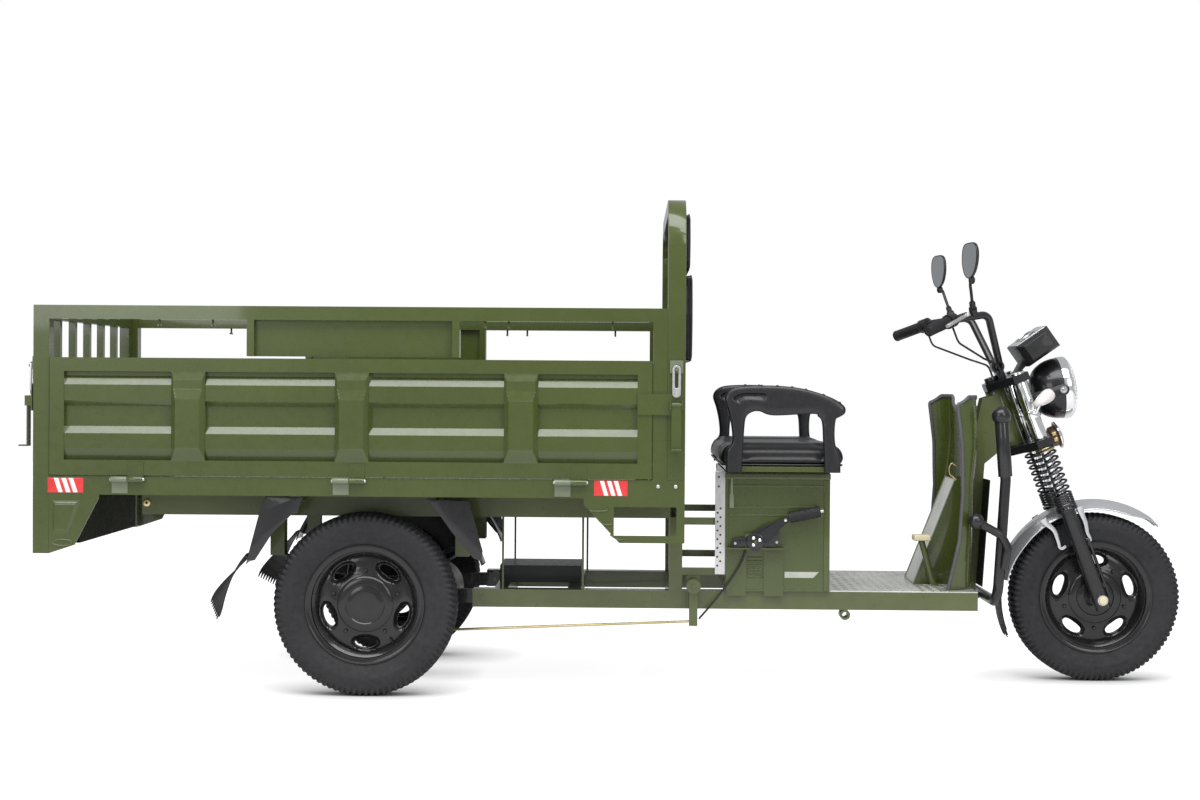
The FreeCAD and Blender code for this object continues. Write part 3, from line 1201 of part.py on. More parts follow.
def leg_shield():
    """The bent shield before the rider's legs and the toe box behind it."""
    base = float(d.lower_rail_top + d.floor_sheet)
    front = float(floor_front)
    top = base + float(d.shield_height)
    levels = ((base, front - float(d.shield_foot), front),
              (base + float(d.shield_height) / 2, front - float(d.shield_waist),
               front + float(d.shield_bulge)),
              (top, front - float(d.shield_head), front - float(d.shield_tuck)))
    shell = Part.makeLoft([shield_section(*level) for level in levels], True, True)
    dip_half = float(d.shield_width) / 2 * DIP_SHARE
    back = front - float(d.shield_width)
    notch = [Vector(back, -dip_half, top), Vector(back, 0, top - float(d.shield_dip)),
             Vector(back, dip_half, top)]
    wedge = Part.Face(Part.makePolygon(notch + [notch[0]])).extrude(Vector(2 * float(d.shield_width), 0, 0))
    skin = feature("shield_skin", shell.cut(wedge))
    floor = d.lower_rail_top + d.floor_sheet
    toe_front = floor_front - 2 * d.sheet
    toe_head = floor + d.toe_height
    corners = [(toe_front - d.toe_length, floor), (toe_front, floor), (toe_front, toe_head),
               (toe_front - d.toe_top, toe_head)]
    cheek = prism("toe_cheek", "XZ_Plane", corners, -d.toe_width / 2, d.sheet)
    slope = [corners[0], (corners[0][0] + d.plate, floor), (corners[3][0] + d.plate, corners[3][1]),
             corners[3]]
    ramp = prism("toe_ramp", "XZ_Plane", slope, d.sheet - d.toe_width / 2, d.toe_width - 2 * d.sheet)
    node("leg_shield", [skin, ramp] + pair(cheek))
    toe = floor_front + d.neck_foot
    low = d.lower_rail_top
    lean = d.neck_lean * d.splash_height / d.neck_front
    guard = prism("splash_sheet", "XZ_Plane",
                  [(toe, low), (toe + lean, low + d.splash_height),
                   (toe + lean + d.guard_sheet, low + d.splash_height), (toe + d.guard_sheet, low)],
                  -d.splash_width / 2, d.splash_width)
    node("splash_guard", [guard])


def crash_guard():
    """The bent tube guard beside the front wheel, with its balls, sleeves and pegs."""
    half = d.guard_span / 2
    foot = floor_front + d.guard_lead
    low = lower_base + d.guard_rise
    knee = (foot + d.guard_knee, low + d.knee_rise)
    tip = (foot + d.guard_tip, low + d.tip_rise)
    route = [(tip[0], -half, tip[1]), (knee[0], -half, knee[1]), (foot, -half, low), (foot, half, low),
             (knee[0], half, knee[1]), (tip[0], half, tip[1])]
    hoop = pipe("guard_hoop", route, d.guard_tube, d.guard_bend)
    lean = (d.guard_knee - d.guard_tip) / (d.tip_rise - d.knee_rise)
    sleeve = strut("guard_sleeve_tube", (knee[0] - lean * d.sleeve_start, -half, knee[1] + d.sleeve_start),
                   (tip[0] + lean * d.sleeve_end, -half, tip[1] - d.sleeve_end), d.guard_sleeve)
    ball = doc.addObject("Part::Sphere", "guard_ball_end")
    bind(ball, "Radius", d.guard_ball / 2)
    place(ball, tip[0], -half, tip[1])
    frame = fuse("guard_weld", [hoop] + both([sleeve, ball]))
    line = -half - d.guard_tube / 2 - d.peg_tube / 2
    end = (foot - d.peg_back, line, low + d.peg_top)
    peg = pipe("guard_peg", [(foot + d.peg_ahead, line, low + d.peg_rise),
                             (foot + d.peg_elbow, line, low + d.elbow_rise),
                             (foot + d.peg_turn, line, low + d.turn_rise), end], d.peg_tube, d.peg_bend)
    knob = doc.addObject("Part::Sphere", "peg_ball")
    knob.Placement = Placement(Vector(), Rotation(Vector(0, 0, 1), 180))
    bind(knob, "Radius", d.peg_knob / 2)
    place(knob, *end)
    peg_weld = fuse("peg_weld", [peg, knob])
    clip = box("guard_clip_block", (floor_front + d.neck_foot, foot - d.guard_tube / 2),
               middle(d.head_diameter + 2 * d.plate), (low - d.guard_clip / 2, low + d.guard_clip / 2))
    node("crash_guard", [frame, clip] + pair(peg_weld))


# Steering, in a frame whose origin is the front axle and whose Z runs up the fork

fork_line = d.fork_spread / 2
upper_yoke_top = d.upper_yoke_base + d.yoke_height
lower_yoke_top = d.lower_yoke_base + d.yoke_height


def raked(group):
    """Lean a group with the steering head and stand it on the front axle."""
    group.Placement = Placement(Vector(), Rotation(Vector(0, 1, 0), -SIZES["rake"]))
    bind(group, "Placement.Rotation.Angle", -d.rake)
    return place(group, front_axle, zero, front_axle_height)


def steered(label, parts):
    """A sub-part that leans with the steering head."""
    return raked(node(label, parts))


def yoke(name, base):
    """One triangular fork yoke, bored for both fork tubes and the stem."""
    wing = fork_line + d.fork_tube / 2 + d.yoke_wall
    tail = -d.fork_offset - d.yoke_tail
    lip = d.fork_tube / 2 + d.yoke_lip
    points = [(lip, -wing), (lip, wing), (-d.fork_tube / 2, wing), (tail, d.stem_diameter),
              (tail, -d.stem_diameter),
              (-d.fork_tube / 2, -wing)]
    slab = prism(name + "_slab", "XY_Plane", points, base, d.yoke_height)
    bores = [rod("%s_bore_%d" % (name, index), (zero, sign * fork_line, base), "z", d.yoke_height,
                 d.fork_tube)
             for index, sign in enumerate((-1, 1))]
    bores.append(rod(name + "_stem_bore", (-d.fork_offset, zero, base), "z", d.yoke_height,
                     d.stem_diameter))
    return cut(name, slab, fuse(name + "_bores", bores))


def head_tube():
    """The steering head that the yokes turn in, with the cheeks of the neck beside it."""
    low = lower_yoke_top + d.bearing_gap
    length = d.upper_yoke_base - d.bearing_gap - low
    tube = rod("head_tube_bar", (-d.fork_offset, zero, low), "z", length, d.head_diameter, d.head_bore)
    group = doc.addObject("Part::Compound", "head_tube")
    group.Links = [tube]
    return raked(group)


def fork():
    """Yokes, stem, fork tubes, coil springs and the sliders that carry the front axle."""
    stem = rod("stem", (-d.fork_offset, zero, d.lower_yoke_base), "z", upper_yoke_top - d.lower_yoke_base,
               d.stem_diameter)
    races = [rod("race_%s" % part, (-d.fork_offset, zero, base), "z", d.bearing_gap - d.clearance,
                 d.head_diameter, d.stem_diameter)
             for part, base in (("low", lower_yoke_top), ("high",
                                                          d.upper_yoke_base - d.bearing_gap + d.clearance))]
    nut = rod("stem_nut_block", (-d.fork_offset, zero, upper_yoke_top), "z", d.stem_nut_height, d.stem_nut)
    steered("fork_yokes", [yoke("lower_yoke", d.lower_yoke_base), yoke("upper_yoke", d.upper_yoke_base),
                           stem, nut]
            + races)
    foot = 2 * d.fork_travel
    head = upper_yoke_top + d.tube_rise
    sleeve = rod("fork_sleeve", (zero, -fork_line, d.lower_yoke_base), "z", head - d.lower_yoke_base,
                 d.fork_tube,
                 d.stanchion)
    inner = rod("stanchion_bar", (zero, -fork_line, foot), "z", head - foot, d.stanchion)
    steered("fork_tubes", both([sleeve, inner]))
    slider = rod("slider_bar", (zero, -fork_line, -d.slider_foot), "z", d.slider_length + d.slider_foot,
                 d.slider_diameter)
    collar = rod("slider_collar", (zero, -fork_line, d.slider_length - d.collar_lip), "z", d.collar_lip,
                 d.coil_diameter + d.panel_gap)
    bore_low = foot - d.fork_travel - d.oil_room
    bore = rod("slider_bore", (zero, -fork_line, bore_low), "z", d.slider_length - bore_low,
               d.stanchion + 2 * d.clearance)
    axle_hole = rod("axle_hole", (zero, -fork_line - d.slider_diameter, zero), "y", 2 * d.slider_diameter,
                    d.axle_diameter)
    leg = cut("slider_leg", fuse("slider_weld", [slider, collar]), fuse("slider_holes", [bore, axle_hole]))
    torque_line = d.slider_diameter / 2 + d.torque_gap
    torque = strut("brake_arm", (torque_line, -fork_line, zero), (torque_line, -fork_line, d.torque_length),
                   d.torque_rod)
    clips = [box("brake_clip_%s" % part, (zero, torque_line),
                 side(fork_line - d.torque_clip / 2, fork_line + d.torque_clip / 2),
                 (level, level + d.clip_height))
             for part, level in (("low", d.clip_low), ("high", d.clip_high))]
    arm = cut("brake_stay", fuse("brake_stay_weld", [torque] + clips),
              rod("brake_stay_seat", (zero, -fork_line, zero), "z", d.slider_length, d.slider_diameter))
    skirt_base = d.fender_radius - d.fender_skirt
    strap = box("fender_strap_plate", middle(d.fender_strap), side(d.fender_width / 2, fork_line),
                (skirt_base - d.strap_drop, skirt_base + d.strap_rise))
    strap_cut = cut("fender_strap_seated", strap,
                    rod("strap_seat", (zero, -fork_line, zero), "z", d.slider_length, d.slider_diameter))
    steered("fork_sliders", both([leg, strap_cut]) + [arm])
    axle_half = fork_line + d.axle_end
    axle = rod("axle_bar", (zero, -axle_half, zero), "y", 2 * axle_half, d.axle_diameter)
    nut_line = fork_line + d.slider_diameter / 2
    axle_nut = rod("axle_nut_ring", (zero, -nut_line - d.axle_nut_height, zero), "y", d.axle_nut_height,
                   d.axle_nut,
                   d.axle_diameter)
    steered("front_axle", [axle] + pair(axle_nut))
    coil_low = d.slider_length
    coil_length = d.lower_yoke_base - d.slider_length
    coil = feature("coil", coil_shape(float(coil_low), float(coil_length)))
    steered("fork_springs", pair(coil))


def coil_shape(low, length):
    """One coil spring about a fork leg."""
    wire = float(d.coil_wire)
    radius = (float(d.coil_diameter) - wire) / 2
    height = length - wire - 2 * float(d.clearance)
    start = low + wire / 2 + float(d.clearance)
    helix = Part.makeHelix(height / SIZES["coil_turns"], height, radius)
    ring = Part.Circle(Vector(radius, 0, 0), Vector(0, 1, 0), wire / 2).toShape()
    shape = Part.Wire(helix.Edges).makePipeShell([Part.Wire([ring])], True, True)
    shape.translate(Vector(0, -float(fork_line), start))
    return shape


# World angles over the front axle, in degrees: both ends of the fender, then both ends of its flap
FENDER_ANGLES = (48, 170, 164, 206)


def front_wheel():
    """The front wheel and its tyre, and the fender that follows the fork sliders."""
    hub_half = d.front_hub_length / 2
    hub = rod("front_hub", (zero, -hub_half, zero), "y", d.front_hub_length, d.hub_diameter,
              d.axle_diameter + 2 * d.pin_clearance)
    face = d.disc_offset + d.cap_rise
    drum = rod("front_drum_shell", (zero, d.disc_offset, zero), "y", d.drum_width, d.front_drum,
               d.hub_diameter)
    cap = rod("front_cap_ring", (zero, -face - d.plate, zero), "y", d.plate, d.front_cap, d.hub_diameter)
    parts = rim("front", -1, True) + [hub, drum, cap]
    wheel = placed_wheel("front_wheel", parts, front_axle, zero, front_axle_height)
    node("front_rim", [wheel])
    rubber = placed_wheel("front_rubber", [tyre("front_carcass", d.front_tyre_diameter,
                                                d.front_tyre_width)],
                          front_axle, zero, front_axle_height)
    node("front_tyre", [rubber])
    half = d.fender_width / 2
    front_end, rear_end, flap_start, flap_end = [angle - SIZES["rake"] for angle in FENDER_ANGLES]
    centre = (zero, zero)
    crown = band("fender_crown", centre, d.fender_radius, d.fender_sheet, front_end, rear_end,
                 middle(d.fender_width))
    skirt = band("fender_skirt_band", centre, d.fender_radius - d.fender_sheet, d.fender_skirt, front_end,
                 rear_end,
                 side(half - d.fender_sheet, half))
    steered("front_fender", [crown] + pair(skirt))
    flap = band("fender_flap_band", centre, d.fender_radius - d.fender_sheet, d.flap_thickness, flap_start,
                flap_end, middle(d.fender_width - 4 * d.flap_thickness))
    steered("front_mudflap", [flap])


# The handlebar's right half in the steering frame, from its clamp to the end of the grip
BAR_CLAMP = (-31, -45, 743)
BAR_BEND = (-30, -150, 904)
GRIP_START = (-138, -220, 927)
GRIP_END = (-236, -330, 924)
# Shares of the grip's straight run: the grip's inner end, the switch housing and the lever's perch
GRIP_IN = 0.28
HOUSING_IN = 0.055
HOUSING_OUT = 0.265
PERCH_AT = 0.12
# Share of the bar's rising run where the mirror's boss stands
BOSS_AT = 0.43
# The control cable's route from under the switch housing to the top of the upper yoke
CABLE = ((-153.5, -237, 905.2), (-153.5, -237, 860), (-80, -120, 785), (-40, -80, 750), (-40, -80, 706.2))
# The top of the mirror's stem, and the step from there to the middle of its dish
MIRROR_NECK = (-60, -268, 1042)
MIRROR_SET = (4, -14, 32)
# The front brake lever's pivot and the tip of its blade
LEVER_PIVOT = (-108, -268, 927)
LEVER_TIP = (-184, -338, 918)


def along_bar(start, end, share):
    """A point part of the way from one point to another."""
    return tuple(low + (high - low) * share for low, high in zip(start, end))


def toward(start, end, reach):
    """The point that far from the start on the way to the end."""
    line = Vector(*end) - Vector(*start)
    point = Vector(*start) + line * (float(reach) / line.Length)
    return (point.x, point.y, point.z)


def raised(point, step):
    """The same point moved along the fork's own upward axis."""
    return (point[0], point[1], point[2] + float(step))


def on_left(point):
    """The same point on the rider's left."""
    return (point[0], -point[1], point[2])


def handlebar():
    """The bar with its clamps, grips, switch housings, brake lever and mirrors."""
    right = [GRIP_END, GRIP_START, BAR_BEND, BAR_CLAMP]
    route = right + [on_left(point) for point in reversed(right)]
    tube = pipe("bar_tube", route, d.bar_diameter, d.bar_bend, d.bar_diameter - 2 * d.tube_wall)
    clamp_start = (as_size(BAR_CLAMP[0]), -d.clamp_width / 2, as_size(BAR_CLAMP[2]))
    ring = rod("clamp_ring", clamp_start, "y", d.clamp_width, d.bar_diameter + 2 * d.clamp_wall)
    post = box("clamp_post_block", (BAR_CLAMP[0] - d.clamp_post / 2, BAR_CLAMP[0] + d.clamp_post / 2),
               middle(d.clamp_width), (upper_yoke_top, clamp_start[2]))
    seat_bore = rod("clamp_bore", clamp_start, "y", d.clamp_width, d.bar_diameter)
    clamp = cut("bar_clamp", fuse("bar_clamp_weld", [ring, post]), seat_bore)
    steered("handlebar", [tube, clamp])
    grip_in = along_bar(GRIP_START, GRIP_END, GRIP_IN)
    housing_in = along_bar(GRIP_START, GRIP_END, HOUSING_IN)
    housing_out = along_bar(GRIP_START, GRIP_END, HOUSING_OUT)
    housing = strut("switch_housing", housing_in, housing_out, d.housing_diameter, d.bar_diameter)
    left_grip = strut("left_grip", on_left(grip_in), on_left(GRIP_END), d.grip_diameter, d.bar_diameter)
    boss_at = along_bar(BAR_BEND, GRIP_START, BOSS_AT)
    boss_top = toward(boss_at, MIRROR_NECK, d.boss_height)
    boss = strut("mirror_boss", boss_at, boss_top, d.boss_diameter)
    boss_seat = cut("mirror_boss_seated", boss, strut("mirror_boss_bore", BAR_BEND, GRIP_START,
                                                      d.bar_diameter))
    perch_start = along_bar(GRIP_START, GRIP_END, PERCH_AT)
    barrel = d.lever_barrel / 2
    perch_end = toward(LEVER_PIVOT, perch_start, barrel + d.swing_gap / 3)
    perch = strut("lever_post", perch_start, perch_end, d.lever_barrel)
    perch_seat = cut("lever_post_seated", perch, strut("perch_bore", housing_in, housing_out,
                                                       d.housing_diameter))
    cheek = barrel - 0.6 * d.lever_cheek
    cheeks = [strut("lever_cheek_%s" % part, raised(toward(LEVER_PIVOT, perch_start, 2 * barrel), step),
                    raised(LEVER_PIVOT, step), d.lever_cheek)
              for part, step in (("low", -cheek), ("high", cheek))]
    pin = strut("lever_pin_bar", raised(LEVER_PIVOT, -cheek), raised(LEVER_PIVOT, cheek), d.lever_pin)
    lever_perch = fuse("lever_perch", [perch_seat, pin] + cheeks)
    cable = pipe("control_cable", CABLE, d.cable_diameter, d.cable_bend)
    steered("handlebar_controls", [left_grip, lever_perch] + both([housing, boss_seat, cable]))
    sleeve = strut("throttle_sleeve", grip_in, GRIP_END, d.grip_diameter, d.bar_diameter + 2 * d.clearance)
    steered("throttle_grip", [sleeve])
    half = cheek - d.lever_cheek / 2 - d.clearance
    drum = strut("lever_drum", raised(LEVER_PIVOT, -half), raised(LEVER_PIVOT, half), d.lever_barrel)
    neck_rod = strut("lever_neck", LEVER_PIVOT, toward(LEVER_PIVOT, LEVER_TIP, 2 * barrel), 1.5 * half)
    blade = strut("lever_blade", toward(LEVER_PIVOT, LEVER_TIP, barrel + d.lever_pin / 4), LEVER_TIP,
                  d.lever_blade)
    pin_hole = strut("lever_hole", raised(LEVER_PIVOT, -barrel), raised(LEVER_PIVOT, barrel),
                     d.lever_pin + 2 * d.pin_clearance)
    steered("front_brake_lever", [cut("brake_lever_body", fuse("lever_weld", [drum, neck_rod, blade]),
                                      pin_hole)])
    mirror(boss_top)


def mirror_shell():
    """The mirror's oval dish about its own centre, rounded at the front and flat where the glass lies."""
    wide = float(d.mirror_width) / 2
    tall = float(d.mirror_height) / 2
    rear = -float(d.mirror_depth) / 8
    rim_edge = Part.Ellipse(Vector(rear, wide, 0), Vector(rear, 0, tall), Vector(rear, 0, 0)).toShape()
    dish = Part.Face(Part.Wire([rim_edge])).extrude(Vector(float(d.mirror_depth) * 0.6, 0, 0))
    front = [edge for edge in dish.Edges if edge.BoundBox.XMin > 0]
    return dish.makeFillet(float(d.mirror_depth) * 0.4, front)


def mirror(foot):
    """A mirror on its stem, hinged in the boss on each side of the bar."""
    stem = strut("mirror_stem", toward(foot, MIRROR_NECK, d.clearance), MIRROR_NECK, d.mirror_rod)
    head = feature("mirror_head", mirror_shell())
    centre = [low + step for low, step in zip(MIRROR_NECK, MIRROR_SET)]
    head.Placement = Placement(Vector(*centre), Rotation(Vector(0, 1, 0), SIZES["rake"]))
    right = fuse("mirror_body", [stem, head])
    steered("mirror_right", [right])
    steered("mirror_left", [mirrored(right)])


# Headlamp sections as shares of its radius and depth: the bucket outside and inside, and the lens
BUCKET_OUTSIDE = ((0, 0), (0.42, 0.02), (0.78, 0.2), (0.96, 0.48), (1, 0.72), (1, 0.82))
BUCKET_INSIDE = ((0.873, 0.5), (0.72, 0.24), (0.38, 0.07), (0, 0.05))
LENS_DOME = ((0.7, 0.94), (0.36, 0.985), (0, 1))
# The dash box and its foot as (ahead of the fork, above the upper yoke) points
DASH_BOX = ((46.3, 8.2), (152.7, 36), (135.1, 103.8), (28.7, 76))
DASH_FOOT = ((8, 0), (26, 0), (45.4, 11.6), (41, 28.5))


def front_lamps():
    """Headlamp, turn signals, horn and dash on the steering head."""
    half = d.lamp_diameter / 2
    deep = d.headlamp_depth
    skin = d.sheet
    rim_in = half - 4 * skin
    outside = [(half * wide, deep * far) for wide, far in BUCKET_OUTSIDE]
    inside = [(half * wide, deep * far) for wide, far in BUCKET_INSIDE]
    front_edge = outside[-1][1]
    shell = turned("headlamp_bucket", outside + [(rim_in, front_edge), (rim_in, outside[-2][1])] + inside)
    glass = [(half * wide, deep * far) for wide, far in LENS_DOME]
    lens = turned("headlamp_glass", [(zero, front_edge), (half - 2 * skin, front_edge),
                                     (half - 2 * skin, front_edge + 2 * skin)] + glass)
    tilt = math.radians(SIZES["headlamp_tilt"] - SIZES["rake"])
    aim = Vector(math.cos(tilt), 0, math.sin(tilt))
    front = Vector(float(d.headlamp_ahead), 0, float(d.lower_yoke_base + d.headlamp_rise))
    start = front - aim * float(deep)
    for item in (shell, lens):
        item.Placement = Placement(start, Rotation(Vector(0, 1, 0), aim))
    ear_base = d.lower_yoke_base + d.ear_rise
    ear = box("headlamp_ear", (d.fork_tube / 2, d.ear_reach), side(fork_line, fork_line + d.plate),
              (ear_base, ear_base + d.ear_height))
    steered("headlamp_shell", [shell] + pair(ear))
    steered("headlamp_lens", [lens])
    bulb = doc.addObject("Part::Ellipsoid", "signal_body")
    bind(bulb, "Radius1", d.signal_height / 2)
    bind(bulb, "Radius2", d.signal_length / 2)
    bind(bulb, "Radius3", d.signal_height / 2)
    line = fork_line + d.fork_tube / 2 + d.signal_reach
    bulb_at = (d.signal_ahead, -line, d.lower_yoke_base + d.signal_rise)
    place(bulb, *bulb_at)
    collar_base = d.lower_yoke_base + d.collar_rise
    stalk = strut("signal_stalk_bar", (d.stalk_ahead, -fork_line - d.fork_tube / 2,
                                       collar_base + d.signal_collar / 2),
                  bulb_at, d.signal_stalk)
    collar = rod("signal_ring", (zero, -fork_line, collar_base), "z", d.signal_collar,
                 d.fork_tube + 2 * d.collar_wall, d.fork_tube)
    room = rod("signal_clear", (zero, -fork_line, collar_base - d.signal_collar), "z", 4 * d.signal_collar,
               d.fork_tube)
    signal = cut("signal_seated", fuse("signal_weld", [bulb, stalk, collar]), room)
    steered("turn_signals", pair(signal))
    horn_at = d.fork_tube / 2 + d.horn_ahead
    horn = rod("horn_drum", (horn_at, zero, d.lower_yoke_base + d.horn_rise), "x", d.horn_depth,
               d.horn_diameter)
    tongue = box("horn_tongue", (d.fork_tube / 2 + d.yoke_lip, horn_at), middle(2 * d.bar_diameter),
                 (d.lower_yoke_base, lower_yoke_top))
    steered("horn", [horn, tongue])
    dash_points = [(ahead, upper_yoke_top + up) for ahead, up in DASH_BOX]
    dash = prism("dash_box", "XZ_Plane", dash_points, -d.dash_width / 2, d.dash_width)
    foot_points = [(ahead, upper_yoke_top + up) for ahead, up in DASH_FOOT]
    foot = prism("dash_foot_block", "XZ_Plane", foot_points, -d.dash_foot / 2, d.dash_foot)
    steered("dash_housing", [dash, foot])


# Brakes


# The hand brake's blade as (ahead of its pivot, above it) points, and the slope of its grip
BRAKE_BLADE = ((-14, -8), (8, -14), (100, 62), (98, 76), (60, 58), (-6, 14))
GRIP_RUN = 0.98
GRIP_CLIMB = 0.2


def hand_brake():
    """The hand brake lever and its bracket on the seat box."""
    face = seat_side
    table_top = seat_top - d.table_drop
    straps = [box("brake_strap_%s" % part, (seat_rear + low, seat_rear + low + d.strap_length),
                  side(face, face + d.plate),
                  (lower_base + d.strap_foot, table_top))
              for part, low in (("rear", d.strap_first), ("front", d.strap_second))]
    table = box("brake_table", (seat_rear + d.strap_first, seat_rear + d.strap_first + d.table_length),
                side(face + d.plate, face + d.table_reach), (table_top - d.plate, table_top))
    pivot = (seat_rear + d.brake_pivot, table_top + d.pivot_rise)
    cheek = box("brake_cheek", (pivot[0] - d.cheek_length / 2, pivot[0] + d.cheek_length / 2),
                side(face + d.cheek_line, face + d.cheek_line + d.plate),
                (table_top, table_top + d.cheek_height))
    pin = rod("brake_pin_bar", (pivot[0], -face - d.pivot_reach, pivot[1]), "y", d.pivot_pin, d.brake_pin)
    node("hand_brake_bracket", straps + [table, cheek, pin])
    far = face + d.blade_line + d.blade_width
    blade = prism("brake_lever_blade", "XZ_Plane", [(pivot[0] + ahead, pivot[1] + up) for ahead,
                                                    up in BRAKE_BLADE],
                  -far, d.blade_width)
    hole = rod("brake_lever_hole", (pivot[0], -far, pivot[1]), "y", d.blade_width,
               d.brake_pin + 2 * d.pin_clearance)
    line = d.blade_width / 2 - far
    start = (pivot[0] + d.grip_ahead, line, pivot[1] + d.grip_rise)
    end = on_grip(start, d.lever_grip_length)
    grip = strut("brake_grip", start, end, d.lever_grip)
    button_end = on_grip(end, d.button_out)
    recess = strut("button_recess", on_grip(end, -d.button_room), button_end,
                   d.button_diameter + 2 * d.clearance)
    lever = cut("brake_lever_bar", fuse("brake_lever_weld", [blade, grip]),
                fuse("brake_lever_holes", [hole, recess]))
    node("hand_brake_lever", [lever])
    node("hand_brake_button", [strut("button_bar", on_grip(end, -d.button_in), button_end,
                                     d.button_diameter)])
    brake_linkage(table_top)


def on_grip(start, reach):
    """A point on the line of the hand brake's grip."""
    return (start[0] + GRIP_RUN * reach, start[1], start[2] + GRIP_CLIMB * reach)


def brake_linkage(table_top):
    """The crank that the hand brake turns, its pull rod and the cable between them."""
    station = bed_front + d.crank_lead
    low = crank_height - d.crank_length
    boss_start = (station, -frame_outer - d.crank_reach, crank_height)
    boss_length = d.crank_reach - d.plate - d.crank_gap
    boss = rod("crank_boss_bar", boss_start, "y", boss_length, d.crank_boss)
    half = d.crank_arm / 2
    arm_line = frame_outer + d.crank_line
    arm = box("crank_arm_plate", (station - half, station + half), side(arm_line, arm_line + d.blade_width),
              (low - half, crank_height))
    bore = rod("crank_bore", boss_start, "y", boss_length, d.crank_pin + 2 * d.pin_clearance)
    crank = cut("crank_body", fuse("crank_weld", [boss, arm]), bore)
    crank_pin = rod("crank_pin_bar", (station, -arm_line, low), "y", d.crank_stub, d.brake_pin)
    node("brake_crank", [crank, crank_pin])
    rod_far = frame_outer + d.rod_line + d.rod_width
    eye = rod("rod_eye_ring", (station, -rod_far, low), "y", d.rod_width, d.rod_eye)
    shank_line = d.rod_width / 2 - rod_far
    shank = strut("rod_shank", (station, shank_line, low),
                  (station - d.rod_length, shank_line, low - d.rod_drop),
                  d.rod_diameter)
    eye_hole = rod("rod_eye_hole", (station, -rod_far, low), "y", d.rod_width,
                   d.brake_pin + 2 * d.pin_clearance)
    node("brake_rod", [cut("rod_body", fuse("rod_weld", [eye, shank]), eye_hole)])
    side_line = -seat_side - d.cable_line
    cable = pipe("cable_run", [(seat_rear + d.cable_start, side_line, table_top - d.plate),
                               (seat_rear + d.cable_knee, side_line, table_top - d.cable_drop),
                               (station + d.cable_ahead, -frame_outer - d.cable_end, low + d.cable_rise)],
                 d.cable_diameter, d.cable_turn)
    node("hand_brake_cable", [cable])


def brake_pedal():
    """The foot brake: a pad on a bent arm that swings under the floor."""
    line = -d.pedal_line
    hub = (floor_front - d.pedal_setback, lower_base + d.pedal_rise)
    knee = (hub[0] - d.pedal_knee, d.lower_rail_top + d.pedal_knee_rise)
    pad_at = (hub[0] - d.pedal_lean, d.lower_rail_top + d.pedal_height)
    arm = pipe("pedal_arm", [(hub[0], line, hub[1]), (knee[0], line, knee[1]),
                             (pad_at[0], line, pad_at[1])],
               d.pedal_tube, d.pedal_bend)
    boss_start = (hub[0], line - d.pedal_boss / 2, hub[1])
    boss = rod("pedal_boss_bar", boss_start, "y", d.pedal_boss, d.pedal_tube + 2 * d.plate)
    hole = rod("pedal_hole", boss_start, "y", d.pedal_boss, d.pedal_pin + 2 * d.pin_clearance)
    pad = box("pedal_pad", (pad_at[0] - d.pad_length / 2, pad_at[0] + d.pad_length / 2),
              (line - d.pad_width / 2, line + d.pad_width / 2), (pad_at[1], pad_at[1] + d.pad_thickness))
    node("brake_pedal", [cut("pedal_body", fuse("pedal_weld", [arm, boss, pad]), hole)])


# Build, check and write every sub-part

chassis_frame()
bed_frame()
bulkhead_hoop()
side_fences()
hardware()
side_boards()
tailgate()
leaf_spring()
rear_axle_housing()
rear_wheels()
rear_mudguards()
tail_lamps()
seat()
footboard()
leg_shield()
crash_guard()
fork()
front_wheel()
handlebar()
front_lamps()
hand_brake()
brake_pedal()
doc.recompute()

for item in doc.Objects:
    troubles = [word for word in item.State if word in ("Invalid", "Error")]
    if troubles:
        raise RuntimeError("%s did not build: %s" % (item.Name, troubles))
for group in nodes:
    if group.Shape.isNull() or not group.Shape.isValid():
        raise RuntimeError("%s has no valid shape" % group.Label)

os.makedirs("parts", exist_ok=True)
for group in nodes:
    group.Shape.exportStep("parts/%s.step" % group.Label)
print("%d sub-parts written" % len(nodes))
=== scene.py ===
# %% [markdown]
# # An electric cargo tricycle
# The solids that come in here already have the right sizes and places, in metres, with +X forward,
# +Y to the rider's left and +Z up. This lesson dresses them. Rigid tubes and sheets keep their own
# shape and get paint, and everything that is soft, moulded, pressed or turned is made again as a
# surface: a grid of points worked out with numpy, put into a mesh in one go.

# %% Load the solids
import bmesh
import bpy
import math
import numpy as np
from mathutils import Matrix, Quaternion, Vector


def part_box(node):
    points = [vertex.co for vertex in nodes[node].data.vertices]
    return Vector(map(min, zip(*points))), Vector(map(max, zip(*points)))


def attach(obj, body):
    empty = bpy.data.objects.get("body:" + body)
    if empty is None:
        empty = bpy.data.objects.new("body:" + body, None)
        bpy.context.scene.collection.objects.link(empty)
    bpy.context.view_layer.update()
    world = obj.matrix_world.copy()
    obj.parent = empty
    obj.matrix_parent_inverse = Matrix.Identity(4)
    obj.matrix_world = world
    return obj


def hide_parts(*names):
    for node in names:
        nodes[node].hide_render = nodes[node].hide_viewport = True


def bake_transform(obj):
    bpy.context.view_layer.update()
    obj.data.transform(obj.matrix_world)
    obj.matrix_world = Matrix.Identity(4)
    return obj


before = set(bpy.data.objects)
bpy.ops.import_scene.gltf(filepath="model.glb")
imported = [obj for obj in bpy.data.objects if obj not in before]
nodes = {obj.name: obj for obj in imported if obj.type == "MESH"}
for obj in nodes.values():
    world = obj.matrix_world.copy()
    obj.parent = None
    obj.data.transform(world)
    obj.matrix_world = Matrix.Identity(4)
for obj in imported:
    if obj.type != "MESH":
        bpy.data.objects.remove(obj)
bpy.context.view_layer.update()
scene = bpy.context.scene
RIGHT, LEFT = -1, 1
BOTH = (RIGHT, LEFT)
SIDE_WORDS = ((RIGHT, "right"), (LEFT, "left"))

